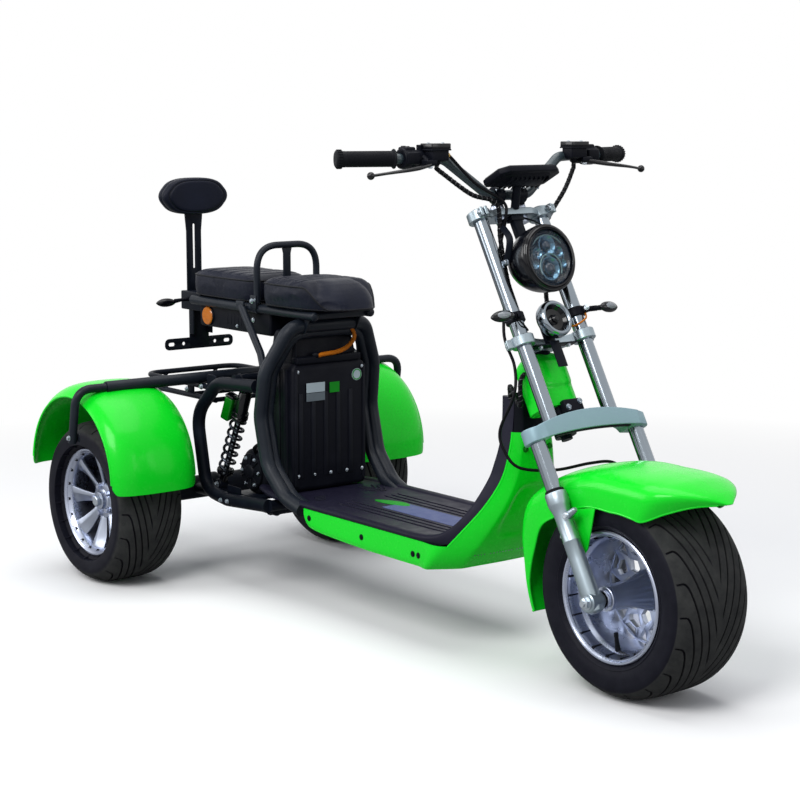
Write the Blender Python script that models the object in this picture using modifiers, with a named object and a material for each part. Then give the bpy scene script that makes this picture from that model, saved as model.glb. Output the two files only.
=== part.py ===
# Electric tricycle: two seats, one wide front wheel in a raked fork, two wide rear wheels.
# Metres, +Z up, +X forward, +Y to the rider's left.
# Places are worked out from the rear axle, and the root empty then centres the whole length.

import math

import bmesh
import bpy
from mathutils import Matrix, Vector

# Driving dimensions: stance
WHEELBASE = 1.532
FRONT_TYRE_R = 0.2157
REAR_TYRE_R = 0.2064
REAR_TRACK_HALF = 0.365
RAKE = math.radians(29.3)
STEM_OFFSET = 0.062
GAP = 0.0003

# Driving dimensions: wheels
FRONT_TYRE_HALF = 0.105
FRONT_RIM_HALF = 0.0985
REAR_TYRE_HALF = 0.0925
REAR_RIM_HALF = 0.0710
RIM_FLANGE_R = 0.138
RIM_SEAT_R = 0.127
FLANGE_T = 0.005
RIM_WALL = 0.005
HUB_R = 0.030
AXLE_R = 0.0085
AXLE_PLAY = 0.0006
WHEEL_STEPS = 28
HUB_STEPS = 12

# Driving dimensions: fork, along the steering axis from the axle
FORK_HALF = 0.142
TUBE_HALF = 0.0875
UPPER_TUBE_R = 0.0165
STANCHION_R = 0.0165
LEG_R = 0.0215
LEG_TOP = 0.258
CROWN_LOW = 0.345
CROWN_H = 0.040
MID_CLAMP_AT = 0.569
TOP_CLAMP_AT = 0.8615
CLAMP_H = 0.022
CLAMP_WALL = 0.0095
STEM_R = 0.0125
STEM_PLAY = 0.0004
HEAD_TUBE_R = 0.026
SOCKET_DEPTH = 0.018

# Driving dimensions: deck and frame
DECK_TOP = 0.262
DECK_HALF = 0.170
DECK_TO_AXLE = 0.472
DECK_FRONT = WHEELBASE - DECK_TO_AXLE
DECK_REAR = 0.316
SKIRT_REAR = 0.565
SKIRT_LOW = 0.192
MAT_T = 0.012
TREAD_T = 0.002
TREAD_HALF = 0.120
TREAD_FROM = 0.640
TREAD_TO = DECK_FRONT - 0.060
EDGE_R = 0.0095
PAN_T = 0.004
RAIL_R = 0.014
RAIL_HALF = 0.100
RAIL_REAR = 0.420
LOOP_R = 0.0165
DOWN_TUBE_R = 0.020
PANEL_T = 0.003

# Driving dimensions: seats
SEAT_RAIL_Z = 0.700
SEAT_RAIL_R = 0.011
SEAT_RAIL_HALF = 0.085
SEAT_TOP = 0.785
DRIVER_REAR = 0.275
DRIVER_FRONT = 0.578
DRIVER_NOSE = 0.46
DRIVER_HALF = 0.110
PASSENGER_REAR = -0.065
PASSENGER_FRONT = 0.250
PASSENGER_HALF = 0.097
HOOP_R = 0.018
HOOP_HALF = 0.170
STRUT_R = 0.009
UNDERSEAT = (0.330, 0.156, 0.063)
GRAB_R = 0.008

# Driving dimensions: rear
FENDER_X = 0.005
FENDER_Z = 0.280
FENDER_R = 0.2353
FENDER_EDGE_DROP = 0.030
FENDER_FROM = -4.8
FENDER_INNER = 0.250
FENDER_OUTER = 0.488
BAR_X = 0.077
BAR_R = 0.0105
SLEEVE_R = 0.0145
BAR_HALF = 0.508

RACK_R = 0.007
RACK_HALF = 0.1455
RACK_STEP = 0.030

# Driving dimensions: front fender
FRONT_FENDER_HALF = 0.1195
FRONT_FENDER_TIP = 0.23407

PARTS = bpy.data.collections.new("electric_tricycle")


# Basic tools

def clear_scene():
    for item in list(bpy.data.objects):
        bpy.data.objects.remove(item, do_unlink=True)
    bpy.context.scene.collection.children.link(PARTS)


def material(name, colour, roughness, metallic=0.0):
    made = bpy.data.materials.new(name)
    made.use_nodes = True
    shader = made.node_tree.nodes["Principled BSDF"]
    shader.inputs["Base Color"].default_value = (*colour, 1.0)
    shader.inputs["Roughness"].default_value = roughness
    shader.inputs["Metallic"].default_value = metallic
    return made


def from_bmesh(shape):
    bmesh.ops.remove_doubles(shape, verts=shape.verts, dist=0.00001)
    bmesh.ops.recalc_face_normals(shape, faces=shape.faces)
    mesh = bpy.data.meshes.new("piece")
    shape.to_mesh(mesh)
    shape.free()
    piece = bpy.data.objects.new("piece", mesh)
    PARTS.objects.link(piece)
    return piece


def applied(piece):
    bpy.context.view_layer.update()
    graph = bpy.context.evaluated_depsgraph_get()
    mesh = bpy.data.meshes.new_from_object(piece.evaluated_get(graph))
    mesh.transform(piece.matrix_world)
    bpy.data.objects.remove(piece, do_unlink=True)
    shape = bmesh.new()
    shape.from_mesh(mesh)
    bpy.data.meshes.remove(mesh)
    return from_bmesh(shape)


def moved(piece, matrix):
    piece.data.transform(matrix)
    return piece


def box(size, centre, bevel=0.0, segments=2):
    shape = bmesh.new()
    bmesh.ops.create_cube(shape, size=1.0)
    bmesh.ops.scale(shape, verts=shape.verts, vec=size)
    if bevel:
        edges = shape.edges[:]
        bmesh.ops.bevel(shape, geom=edges, offset=bevel, segments=segments, affect="EDGES", profile=0.5)
    piece = from_bmesh(shape)
    return moved(piece, Matrix.Translation(centre))


def between(start, end):
    start = Vector(start)
    run = Vector(end) - start
    turn = run.to_track_quat("Z", "Y").to_matrix().to_4x4()
    return Matrix.Translation(start + run * 0.5) @ turn, run.length


def rod(start, end, radius, radius_end=None, sides=10):
    place, length = between(start, end)
    shape = bmesh.new()
    bmesh.ops.create_cone(
        shape, cap_ends=True, segments=sides, depth=length,
        radius1=radius, radius2=radius if radius_end is None else radius_end,
    )
    return moved(from_bmesh(shape), place)


def ball(centre, size, divisions=8):
    shape = bmesh.new()
    bmesh.ops.create_uvsphere(shape, u_segments=divisions, v_segments=divisions // 2 + 2, radius=1.0)
    bmesh.ops.scale(shape, verts=shape.verts, vec=size)
    return moved(from_bmesh(shape), Matrix.Translation(centre))


def rounded(points, radius, steps=2):
    """Straight runs with a bend of the given radius at each inner point."""
    points = [Vector(p) for p in points]
    path = [points[0]]
    for before, corner, after in zip(points, points[1:], points[2:]):
        back = (before - corner).normalized()
        ahead = (after - corner).normalized()
        half = back.angle(ahead) / 2
        reach = min(radius / math.tan(half), (before - corner).length * 0.49, (after - corner).length * 0.49)
        start = corner + back * reach
        end = corner + ahead * reach
        for step in range(steps + 1):
            t = step / steps
            path.append(start.lerp(corner, t).lerp(corner.lerp(end, t), t))
    path.append(points[-1])
    return path


def flowing(points, steps):
    """A smooth curve through the points of a cable's route, straight along its first stretch."""
    points = [Vector(p) for p in points]
    ends = [points[0] * 2 - points[1], *points, points[-1] * 2 - points[-2]]
    path = []
    for a, b, c, d in zip(ends, ends[1:], ends[2:], ends[3:]):
        for i in range(steps if path else 1):
            t = i / steps
            path.append((
                b * 2 + (c - a) * t + (a * 2 - b * 5 + c * 4 - d) * t ** 2 + (b * 3 - a - c * 3 + d) * t ** 3
            ) * 0.5)
    return path + [points[-1]]


def tube(points, radius, detail=2):
    curve = bpy.data.curves.new("path", "CURVE")
    curve.dimensions = "3D"
    curve.bevel_depth = radius
    curve.bevel_resolution = detail
    curve.use_fill_caps = True
    spline = curve.splines.new("POLY")
    spline.points.add(len(points) - 1)
    for target, point in zip(spline.points, points):
        target.co = (*point, 1.0)
    path = bpy.data.objects.new("path", curve)
    PARTS.objects.link(path)
    return applied(path)


def turned(profile, steps, closed=True):
    """Profile of (radius, along) points, turned about the Y axis."""
    mesh = bpy.data.meshes.new("profile")
    edges = [(i, i + 1) for i in range(len(profile) - 1)]
    if closed:
        edges.append((len(profile) - 1, 0))
    mesh.from_pydata([(r, along, 0.0) for r, along in profile], edges, [])
    piece = bpy.data.objects.new("profile", mesh)
    PARTS.objects.link(piece)
    screw = piece.modifiers.new("turn", "SCREW")
    screw.axis = "Y"
    screw.steps = steps
    screw.render_steps = steps
    screw.use_merge_vertices = True
    screw.merge_threshold = 0.0001
    return applied(piece)


def loft(rings, closed_ring=True, capped=True):
    """Skin through rings of points, each with the same count."""
    shape = bmesh.new()
    rows = [[shape.verts.new(p) for p in ring] for ring in rings]
    count = len(rows[0])
    last = count if closed_ring else count - 1
    for low, high in zip(rows, rows[1:]):
        for i in range(last):
            j = (i + 1) % count
            shape.faces.new((low[i], low[j], high[j], high[i]))
    if capped:
        shape.faces.new(rows[0])
        shape.faces.new(rows[-1])
    return from_bmesh(shape)


def shell(rings, thickness):
    """Open skin through rings, given a wall that grows inward from it."""
    piece = loft(rings, closed_ring=False, capped=False)
    wall = piece.modifiers.new("wall", "SOLIDIFY")
    wall.thickness = thickness
    wall.offset = 0.0
    return applied(piece)


def gathered(pieces):
    """Solids that don't meet, kept as one mesh so that one cut takes them all."""
    shape = bmesh.new()
    for piece in pieces:
        shape.from_mesh(piece.data)
        bpy.data.objects.remove(piece, do_unlink=True)
    mesh = bpy.data.meshes.new("gathered")
    shape.to_mesh(mesh)
    shape.free()
    whole = bpy.data.objects.new("gathered", mesh)
    PARTS.objects.link(whole)
    return whole


def boolean(piece, other, operation):
    change = piece.modifiers.new("change", "BOOLEAN")
    change.operation = operation
    change.solver = "EXACT"
    change.object = other
    result = applied(piece)
    bpy.data.objects.remove(other, do_unlink=True)
    return result


def joined(*pieces):
    whole = pieces[0]
    for piece in pieces[1:]:
        whole = boolean(whole, piece, "UNION")
    return whole


def cut(piece, *cutters):
    for cutter in cutters:
        piece = boolean(piece, cutter, "DIFFERENCE")
    return piece


def superellipse(half_a, half_b, count, power=2.5):
    ring = []
    for i in range(count):
        angle = 2 * math.pi * i / count
        c = math.cos(angle)
        s = math.sin(angle)
        ring.append((
            half_a * math.copysign(abs(c) ** (2 / power), c),
            half_b * math.copysign(abs(s) ** (2 / power), s),
        ))
    return ring


def place(piece, name, finish, parent, smooth=True):
    piece.name = name
    piece.data.name = name
    piece.data.materials.clear()
    piece.data.materials.append(finish)
    moved(piece, Matrix.Translation(-parent["pivot"]))
    piece.parent = parent["empty"]
    if smooth:
        piece.data.shade_smooth()
        piece.data.set_sharp_from_angle(angle=math.radians(35))
    return piece


def pivot(name, at, parent=None):
    empty = bpy.data.objects.new(name, None)
    PARTS.objects.link(empty)
    at = Vector(at)
    if parent:
        empty.parent = parent["empty"]
        empty.location = at - parent["pivot"]
    else:
        empty.location = at
    return {"empty": empty, "pivot": at}


# Places that several pieces share

def ahead(back, y, z):
    """A point placed by how far it lies behind the front axle."""
    return Vector((WHEELBASE - back, y, z))


AXLE = Vector((WHEELBASE, 0.0, FRONT_TYRE_R))
TO_FORK = Matrix.Translation(AXLE) @ Matrix.Rotation(-RAKE, 4, "Y")
STEM_AT = -STEM_OFFSET
RAIL_Z = DECK_TOP - MAT_T - PAN_T - GAP * 2 - RAIL_R
DOWN_TUBE_Z = RAIL_Z + RAIL_R - DOWN_TUBE_R
SEAT_SIT = SEAT_RAIL_Z + SEAT_RAIL_R + GAP
HOOP_TOP = SEAT_RAIL_Z - SEAT_RAIL_R * math.cos(math.pi / 10) - GAP - HOOP_R
GRAB_X = (DRIVER_REAR + PASSENGER_FRONT) / 2
BAR_Z = FENDER_Z + math.sqrt(FENDER_R ** 2 - (BAR_X - FENDER_X) ** 2) + GAP * 2 + SLEEVE_R
RACK_Z = BAR_Z - SLEEVE_R - GAP - RACK_R * math.cos(math.pi / 6)
FRONT_END = WHEELBASE + FRONT_FENDER_TIP
REAR_END = FENDER_X - FENDER_R
MIDDLE_X = (FRONT_END + REAR_END) / 2


# Wheels

def tyre(outer_r, half_width, rim_half):
    bead = rim_half - FLANGE_T - GAP
    bore = RIM_SEAT_R + GAP
    side = [
        (bore, bead), (RIM_FLANGE_R + 0.002, bead),
        (outer_r - 0.040, half_width), (outer_r - 0.009, half_width - 0.016), (outer_r, half_width * 0.40),
    ]
    profile = side + [(r, -y) for r, y in reversed(side)]
    return turned(profile, WHEEL_STEPS)


WEB_T = 0.012
LATTICE = 9
SPOKES = 8
SPOKE_TWIST = math.radians(24)


def barrel(rim_half):
    side = [
        (RIM_SEAT_R - RIM_WALL, rim_half), (RIM_FLANGE_R, rim_half), (RIM_FLANGE_R, rim_half - FLANGE_T),
        (RIM_SEAT_R, rim_half - FLANGE_T),
    ]
    return turned(side + [(r, -y) for r, y in reversed(side)], WHEEL_STEPS)


def hub(start, end, middle, radius):
    return turned([
        (0.0, start), (radius * 0.72, start), (radius * 0.80, middle - 0.016), (radius, middle),
        (radius * 0.80, middle + 0.016), (radius * 0.72, end), (0.0, end),
    ], HUB_STEPS, closed=False)


def bored(wheel, start, end):
    bore = AXLE_R + AXLE_PLAY
    return cut(wheel, rod((0, start - 0.01, 0), (0, end + 0.01, 0), bore, sides=HUB_STEPS))


def window(corners, at):
    """A straight-sided opening through the web, from (radius, angle) corners."""
    rings = []
    for y in (at - WEB_T, at + WEB_T):
        rings.append([(r * math.cos(a), y, r * math.sin(a)) for r, a in corners])
    return loft(rings)


DISC_R = 0.078
DISC_AT = 0.100
DISC_T = 0.0036
DISC_ARMS = 5


def brake_disc():
    """Brake ring on five arms, on the left of the front hub."""
    low = DISC_AT - DISC_T / 2
    high = DISC_AT + DISC_T / 2
    ring = turned([(DISC_R, low), (DISC_R, high), (DISC_R - 0.020, high), (DISC_R - 0.020, low)], WHEEL_STEPS // 2 + 2)
    arms = []
    for i in range(DISC_ARMS):
        turn = Matrix.Rotation(2 * math.pi * i / DISC_ARMS, 4, "Y")
        arms.append(moved(box((0.012, DISC_T, DISC_R - 0.028), (0, DISC_AT, DISC_R / 2 + 0.002)), turn))
    return joined(ring, *arms)


def lattice_rim(rim_half, web_at, hub_from, hub_to):
    """Front wheel: a web of Y-shaped bars between the hub and the barrel."""
    web = rod((0, web_at - WEB_T / 2, 0), (0, web_at + WEB_T / 2, 0), RIM_SEAT_R - RIM_WALL / 2, sides=LATTICE * 4)
    step = 2 * math.pi / LATTICE
    openings = []
    for i in range(LATTICE):
        a = i * step
        openings.append(window([(0.115, a - step * 0.30), (0.115, a + step * 0.30), (0.090, a)], web_at))
        b = a + step / 2
        openings.append(window([
            (0.046, b - step * 0.24), (0.086, b - step * 0.36), (0.110, b), (0.086, b + step * 0.36),
            (0.046, b + step * 0.24),
        ], web_at))
    web = cut(web, gathered(openings))
    wheel = joined(barrel(rim_half), web, hub(hub_from, hub_to, web_at, HUB_R), brake_disc())
    return bored(wheel, hub_from, hub_to)


def spoked_rim(rim_half, web_at, hub_from, hub_to):
    """Rear wheel: broad flat spokes, each a little twisted."""
    spokes = []
    for i in range(SPOKES):
        turn = Matrix.Rotation(2 * math.pi * i / SPOKES, 4, "Y")
        rings = []
        for r, half, lean in ((0.018, 0.010, 0.1), (0.070, 0.015, 0.5), (RIM_SEAT_R - RIM_WALL / 2, 0.022, 1.0)):
            dish = web_at + 0.010 * (r / RIM_SEAT_R) ** 2
            tip = SPOKE_TWIST * lean
            ring = []
            for across, thick in ((-half, -0.005), (half, -0.005), (half, 0.005), (-half, 0.005)):
                ring.append(turn @ Vector((
                    across * math.cos(tip) - thick * math.sin(tip), dish + across * math.sin(tip) + thick, r,
                )))
            rings.append(ring)
        spokes.append(loft(rings))
    wheel = joined(hub(hub_from, hub_to, web_at, HUB_R + 0.006), *spokes)
    return bored(joined(barrel(rim_half), wheel), hub_from, hub_to)


def build_wheels(finish, bodies):
    hub_half = FORK_HALF - LEG_R - 0.004
    front = bodies["front_wheel"]
    place(
        moved(tyre(FRONT_TYRE_R, FRONT_TYRE_HALF, FRONT_RIM_HALF), Matrix.Translation(AXLE)),
        "front_tyre", finish["rubber"], front,
    )
    place(
        moved(lattice_rim(FRONT_RIM_HALF, 0.030, -hub_half, hub_half), Matrix.Translation(AXLE)),
        "front_rim", finish["polished"], front,
    )
    for side, name in ((-1, "right"), (1, "left")):
        body = bodies["rear_wheel_" + name]
        spot = Matrix.Translation((0.0, side * REAR_TRACK_HALF, REAR_TYRE_R))
        if side < 0:
            spot = spot @ Matrix.Rotation(math.pi, 4, "X")
        place(
            moved(tyre(REAR_TYRE_R, REAR_TYRE_HALF, REAR_RIM_HALF), spot),
            "rear_tyre_" + name, finish["rubber"], body,
        )
        place(
            moved(spoked_rim(REAR_RIM_HALF, 0.020, -0.055, 0.045), spot),
            "rear_rim_" + name, finish["polished"], body,
        )


# Fork and steering

def caliper():
    """Brake caliper that straddles the disc behind the left leg."""
    outer = FORK_HALF - LEG_R + 0.005
    inner = DISC_AT - DISC_T / 2 - 0.0105
    back = DISC_R + 0.020
    body = box((0.036, outer - inner, 0.050), (0.018 - back, (outer + inner) / 2, 0.030), 0.003, 1)
    slot = box((0.10, DISC_T + 0.009, 0.10), (0.05 - DISC_R - 0.004, DISC_AT, 0.030))
    arm = box((back - 0.010, 0.010, 0.026), (-(back + 0.010) / 2, outer + 0.0015, 0.040))
    return joined(cut(body, slot), arm)


def fork_leg(side):
    y = side * FORK_HALF
    stanchion = rod((0, y, LEG_TOP - 0.03), (0, y, CROWN_LOW + SOCKET_DEPTH - GAP), STANCHION_R)
    upper = rod((0, y, 0.13), (0, y, LEG_TOP), LEG_R * 0.86, LEG_R * 0.95)
    collar = rod((0, y, LEG_TOP - 0.022), (0, y, LEG_TOP), LEG_R)
    lower = rod((0, y, -0.012), (0, y, 0.132), LEG_R * 0.72, LEG_R * 0.86)
    lug = rod((0, y - LEG_R * 0.8, 0), (0, y + LEG_R * 0.8, 0), LEG_R * 0.95)
    leg = joined(upper, stanchion, collar, lower, lug)
    if side > 0:
        leg = joined(leg, caliper())
    leg = cut(leg, rod((0, y - 0.04, 0), (0, y + 0.04, 0), AXLE_R + GAP))
    return moved(leg, TO_FORK)


def upper_tube(side):
    y = side * TUBE_HALF
    low = CROWN_LOW + CROWN_H - SOCKET_DEPTH + GAP
    return moved(rod((0, y, low), (0, y, TOP_CLAMP_AT + CLAMP_H / 2), UPPER_TUBE_R), TO_FORK)


def lower_crown():
    outer = FORK_HALF + 0.010
    rows = []
    for i in range(9):
        y = -outer + 2 * outer * i / 8
        rise = 0.022 * (1 - (y / outer) ** 2)
        front = 0.030 - 0.010 * (y / outer) ** 4
        back = -0.024 - 0.060 * max(0.0, 1 - (y / 0.085) ** 2) ** 0.5
        low = CROWN_LOW + rise * 0.45
        high = CROWN_LOW + CROWN_H + rise - 0.022 * 0.45
        rows.append([(back, y, low), (front, y, low), (front, y, high), (back, y, high)])
    body = loft(rows)
    seat = rod((STEM_AT, 0, CROWN_LOW + 0.02), (STEM_AT, 0, CROWN_LOW + CROWN_H + 0.016), 0.024)
    stem = rod((STEM_AT, 0, CROWN_LOW + 0.02), (STEM_AT, 0, MID_CLAMP_AT + CLAMP_H / 2), STEM_R)
    ends = []
    for side in (-1, 1):
        y = side * FORK_HALF
        ends.append(rod((0, y, CROWN_LOW), (0, y, CROWN_LOW + CROWN_H - 0.006), STANCHION_R + 0.011, sides=16))
    body = joined(body, seat, stem, *ends)
    holes = []
    for side in (-1, 1):
        y = side * FORK_HALF
        holes.append(rod((0, y, CROWN_LOW - 0.05), (0, y, CROWN_LOW + SOCKET_DEPTH), STANCHION_R + GAP))
        y = side * TUBE_HALF
        low = CROWN_LOW + CROWN_H - SOCKET_DEPTH
        holes.append(rod((0, y, low), (0, y, low + 0.06), UPPER_TUBE_R + GAP))
    return moved(cut(body, *holes), TO_FORK)


def clamp(at, front, back, stem_hole):
    low = at - CLAMP_H / 2
    high = at + CLAMP_H / 2
    plate = box((front - back, TUBE_HALF * 2, CLAMP_H * 0.7), ((front + back) / 2, 0, at))
    pieces = [plate]
    for side in (-1, 1):
        y = side * TUBE_HALF
        pieces.append(rod((0, y, low), (0, y, high), UPPER_TUBE_R + CLAMP_WALL))
    if stem_hole:
        pieces.append(rod((STEM_AT, 0, low), (STEM_AT, 0, high), STEM_R + CLAMP_WALL))
    body = joined(*pieces)
    holes = []
    for side in (-1, 1):
        y = side * TUBE_HALF
        holes.append(rod((0, y, low - 0.02), (0, y, high + 0.02), UPPER_TUBE_R + GAP))
    if stem_hole:
        holes.append(rod((STEM_AT, 0, low - 0.02), (STEM_AT, 0, high + 0.02), STEM_R + GAP))
    return moved(cut(body, *holes), TO_FORK)


RISER_HALF = 0.0315
HANDLEBAR_R = 0.011
HANDLEBAR_LOW = ahead(0.429, 0.0, 1.012)
GRIP_IN = ahead(0.454, 0.285, 1.094)
GRIP_OUT = ahead(0.504, 0.408, 1.094)
GRIP_R = 0.0168


def bar_shape(radius):
    half = [
        HANDLEBAR_LOW, HANDLEBAR_LOW + Vector((0, 0.055, 0)), ahead(0.449, 0.165, 1.092),
        ahead(0.454, 0.215, 1.094), GRIP_IN, GRIP_OUT - (GRIP_OUT - GRIP_IN).normalized() * 0.004,
    ]
    right = [Vector((p.x, -p.y, p.z)) for p in half]
    points = list(reversed(right[1:])) + half[1:]
    return tube(rounded(points, 0.045), radius)


def risers_with_clamp():
    body = clamp(TOP_CLAMP_AT, 0.024, -0.024, False)
    low = TOP_CLAMP_AT + CLAMP_H * 0.3
    holder = TO_FORK.inverted() @ HANDLEBAR_LOW
    posts = []
    for side in (-1, 1):
        y = side * RISER_HALF
        posts.append(moved(rod((0, y, low), (holder.x, y, holder.z), 0.012), TO_FORK))
        posts.append(rod(
            HANDLEBAR_LOW + Vector((0, y - 0.011, 0)), HANDLEBAR_LOW + Vector((0, y + 0.011, 0)),
            HANDLEBAR_R + 0.008,
        ))
    return cut(joined(body, *posts, display()), bar_shape(HANDLEBAR_R + GAP))


def grip(side):
    start = Vector((GRIP_IN.x, side * GRIP_IN.y, GRIP_IN.z))
    end = Vector((GRIP_OUT.x, side * GRIP_OUT.y, GRIP_OUT.z))
    along = (end - start).normalized()
    start = start + along * 0.006
    body = rod(start, end, GRIP_R)
    body = joined(body, rod(end - along * 0.012, end + along * 0.001, GRIP_R + 0.002))
    return cut(body, bar_shape(HANDLEBAR_R + GAP))


CONTROL_BACK = 0.4535
LOOM_R = 0.0055
HOSE_R = 0.0035


def control(side):
    """Switch pod, lever perch, fluid box and brake lever on one side."""
    pod = rod(ahead(CONTROL_BACK, side * 0.242, 1.094), ahead(CONTROL_BACK, side * 0.280, 1.094), 0.0205, sides=12)
    perch = rod(ahead(CONTROL_BACK, side * 0.216, 1.094), ahead(CONTROL_BACK, side * 0.246, 1.094), 0.0175)
    tank = box((0.034, 0.046, 0.024), ahead(0.4315, side * 0.200, 1.101))
    lid = box((0.040, 0.052, 0.016), ahead(0.432, side * 0.2005, 1.118), 0.003, 1)
    knuckle = box((0.030, 0.031, 0.013), ahead(0.427, side * 0.2245, 1.0855))
    lever = tube(rounded([
        ahead(0.424, side * 0.222, 1.083), ahead(0.404, side * 0.262, 1.076), ahead(0.398, side * 0.325, 1.069),
        ahead(0.4095, side * 0.385, 1.062),
    ], 0.03, 2), 0.0055, 1)
    end = ball(ahead(0.4098, side * 0.3886, 1.0619), (0.0085, 0.0085, 0.0085))
    whole = joined(pod, perch, tank, lid, knuckle, lever, end)
    return cut(whole, bar_shape(HANDLEBAR_R + GAP))


TANK_LOW = 1.089
CORD_GAP = 0.0009


def loom(side):
    """Wrapped wires from a control down to the middle clamp, held beside the fork tube."""
    if side < 0:
        route = [
            ahead(0.434, -0.196, TANK_LOW - CORD_GAP), ahead(0.434, -0.196, 1.072), ahead(0.412, -0.120, 1.018),
            TO_FORK @ Vector((0.040, -0.0640, 0.872)), TO_FORK @ Vector((0.012, -0.0620, 0.800)),
            TO_FORK @ Vector((-0.012, -0.0605, 0.700)), TO_FORK @ Vector((-0.026, -0.0500, 0.602)),
        ]
    else:
        route = [
            ahead(0.434, 0.200, TANK_LOW - CORD_GAP), ahead(0.434, 0.200, 1.068), ahead(0.438, 0.178, 1.020),
            TO_FORK @ Vector((-0.034, 0.128, 0.850)),
            TO_FORK @ Vector((-0.038, 0.090, 0.760)), TO_FORK @ Vector((-0.040, 0.058, 0.670)),
            TO_FORK @ Vector((-0.038, 0.046, 0.602)),
        ]
    return tube(flowing(route, 3), LOOM_R, 1)


def brake_hose():
    """Hose from the right fluid box, down the fork, in a loop across the front and down the left leg."""
    route = [
        ahead(0.432, -0.177 + CORD_GAP, 1.100), ahead(0.432, -0.164, 1.100), ahead(0.405, -0.112, 1.040),
        TO_FORK @ Vector((0.050, -0.0530, 0.872)), TO_FORK @ Vector((0.037, -0.0520, 0.836)),
        TO_FORK @ Vector((-0.020, -0.0520, 0.775)), TO_FORK @ Vector((-0.034, -0.0620, 0.690)),
        TO_FORK @ Vector((-0.038, -0.0970, 0.600)), TO_FORK @ Vector((-0.038, -0.0975, 0.530)),
        TO_FORK @ Vector((-0.050, -0.1150, 0.470)),
        ahead(0.300, -0.130, 0.525), ahead(0.284, -0.130, 0.480), ahead(0.258, -0.110, 0.4475),
        ahead(0.236, -0.030, 0.437), ahead(0.212, 0.050, 0.446), ahead(0.196, 0.100, 0.445),
        ahead(0.176, 0.131, 0.420), TO_FORK @ Vector((-0.0265, 0.136, 0.235)),
        TO_FORK @ Vector((-0.0270, 0.134, 0.080)),
    ]
    return tube(flowing(route, 2), HOSE_R, 1)


DISPLAY_TILT = math.radians(-27)


def display():
    slab = box((0.080, 0.172, 0.018), (0, 0, 0), 0.004)
    slab = moved(slab, Matrix.Translation(ahead(0.382, 0, 1.056)) @ Matrix.Rotation(DISPLAY_TILT, 4, "Y"))
    neck = rod(ahead(0.396, 0, 1.046), ahead(0.4055, 0, 0.984), 0.009)
    return joined(slab, neck)


HEADLIGHT_R = 0.0735
HEADLIGHT_FACE = (0.076, 0.7257)
HORN_R = 0.0415
HORN_AT = 0.6047


def headlight():
    profile = [
        (0.0008, 0.0), (HEADLIGHT_R - 0.010, 0.0), (HEADLIGHT_R, 0.004), (HEADLIGHT_R, 0.016),
        (HEADLIGHT_R - 0.004, 0.030), (HEADLIGHT_R - 0.010, 0.052), (HEADLIGHT_R - 0.022, 0.076),
        (HEADLIGHT_R - 0.042, 0.098), (0.012, 0.110), (0.0008, 0.111),
    ]
    body = turned(profile, 18)
    face = TO_FORK @ Vector((HEADLIGHT_FACE[0], 0, HEADLIGHT_FACE[1]))
    turn = Matrix.Rotation(math.radians(-15), 4, "Y") @ Matrix.Rotation(math.radians(90), 4, "Z")
    body = moved(body, Matrix.Translation(face) @ turn)
    top = TOP_CLAMP_AT - CLAMP_H * 0.35 - GAP
    strap = moved(box((0.022, 0.030, 0.090), (0.012, 0, top - 0.045), 0.002), TO_FORK)
    return joined(body, strap)


def horn():
    profile = [
        (0.0008, 0.0), (HORN_R * 0.35, 0.0), (HORN_R * 0.70, 0.010), (HORN_R * 0.82, 0.0),
        (HORN_R * 0.97, 0.0), (HORN_R, 0.018), (HORN_R * 0.8, 0.030), (0.013, 0.0455), (0.0008, 0.0455),
    ]
    body = turned(profile, 12)
    face = (-0.012 + GAP + 0.0455, 0, HORN_AT)
    turn = Matrix.Translation(face) @ Matrix.Rotation(math.radians(90), 4, "Z")
    tab = box((0.004, 0.024, 0.045), (-0.012 + GAP + 0.002, 0, HORN_AT - 0.0225 + 0.004))
    return moved(joined(moved(body, turn), tab), TO_FORK)


def front_signal(side):
    y = side * TUBE_HALF
    at = 0.622
    ring = rod((0, y, at - 0.010), (0, y, at + 0.010), UPPER_TUBE_R + 0.005)
    stalk = rod((0.018, y, at), (0.032, side * 0.135, at - 0.004), 0.005, 0.006)
    leaf = ball((0, 0, 0), (0.010, 0.030, 0.0125))
    leaf = moved(leaf, Matrix.Translation((0.038, side * 0.154, at - 0.006)) @ Matrix.Rotation(0.15 * side, 4, "Z"))
    body = joined(ring, stalk, leaf)
    body = cut(body, rod((0, y, at - 0.03), (0, y, at + 0.03), UPPER_TUBE_R + GAP))
    return moved(body, TO_FORK)


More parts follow.
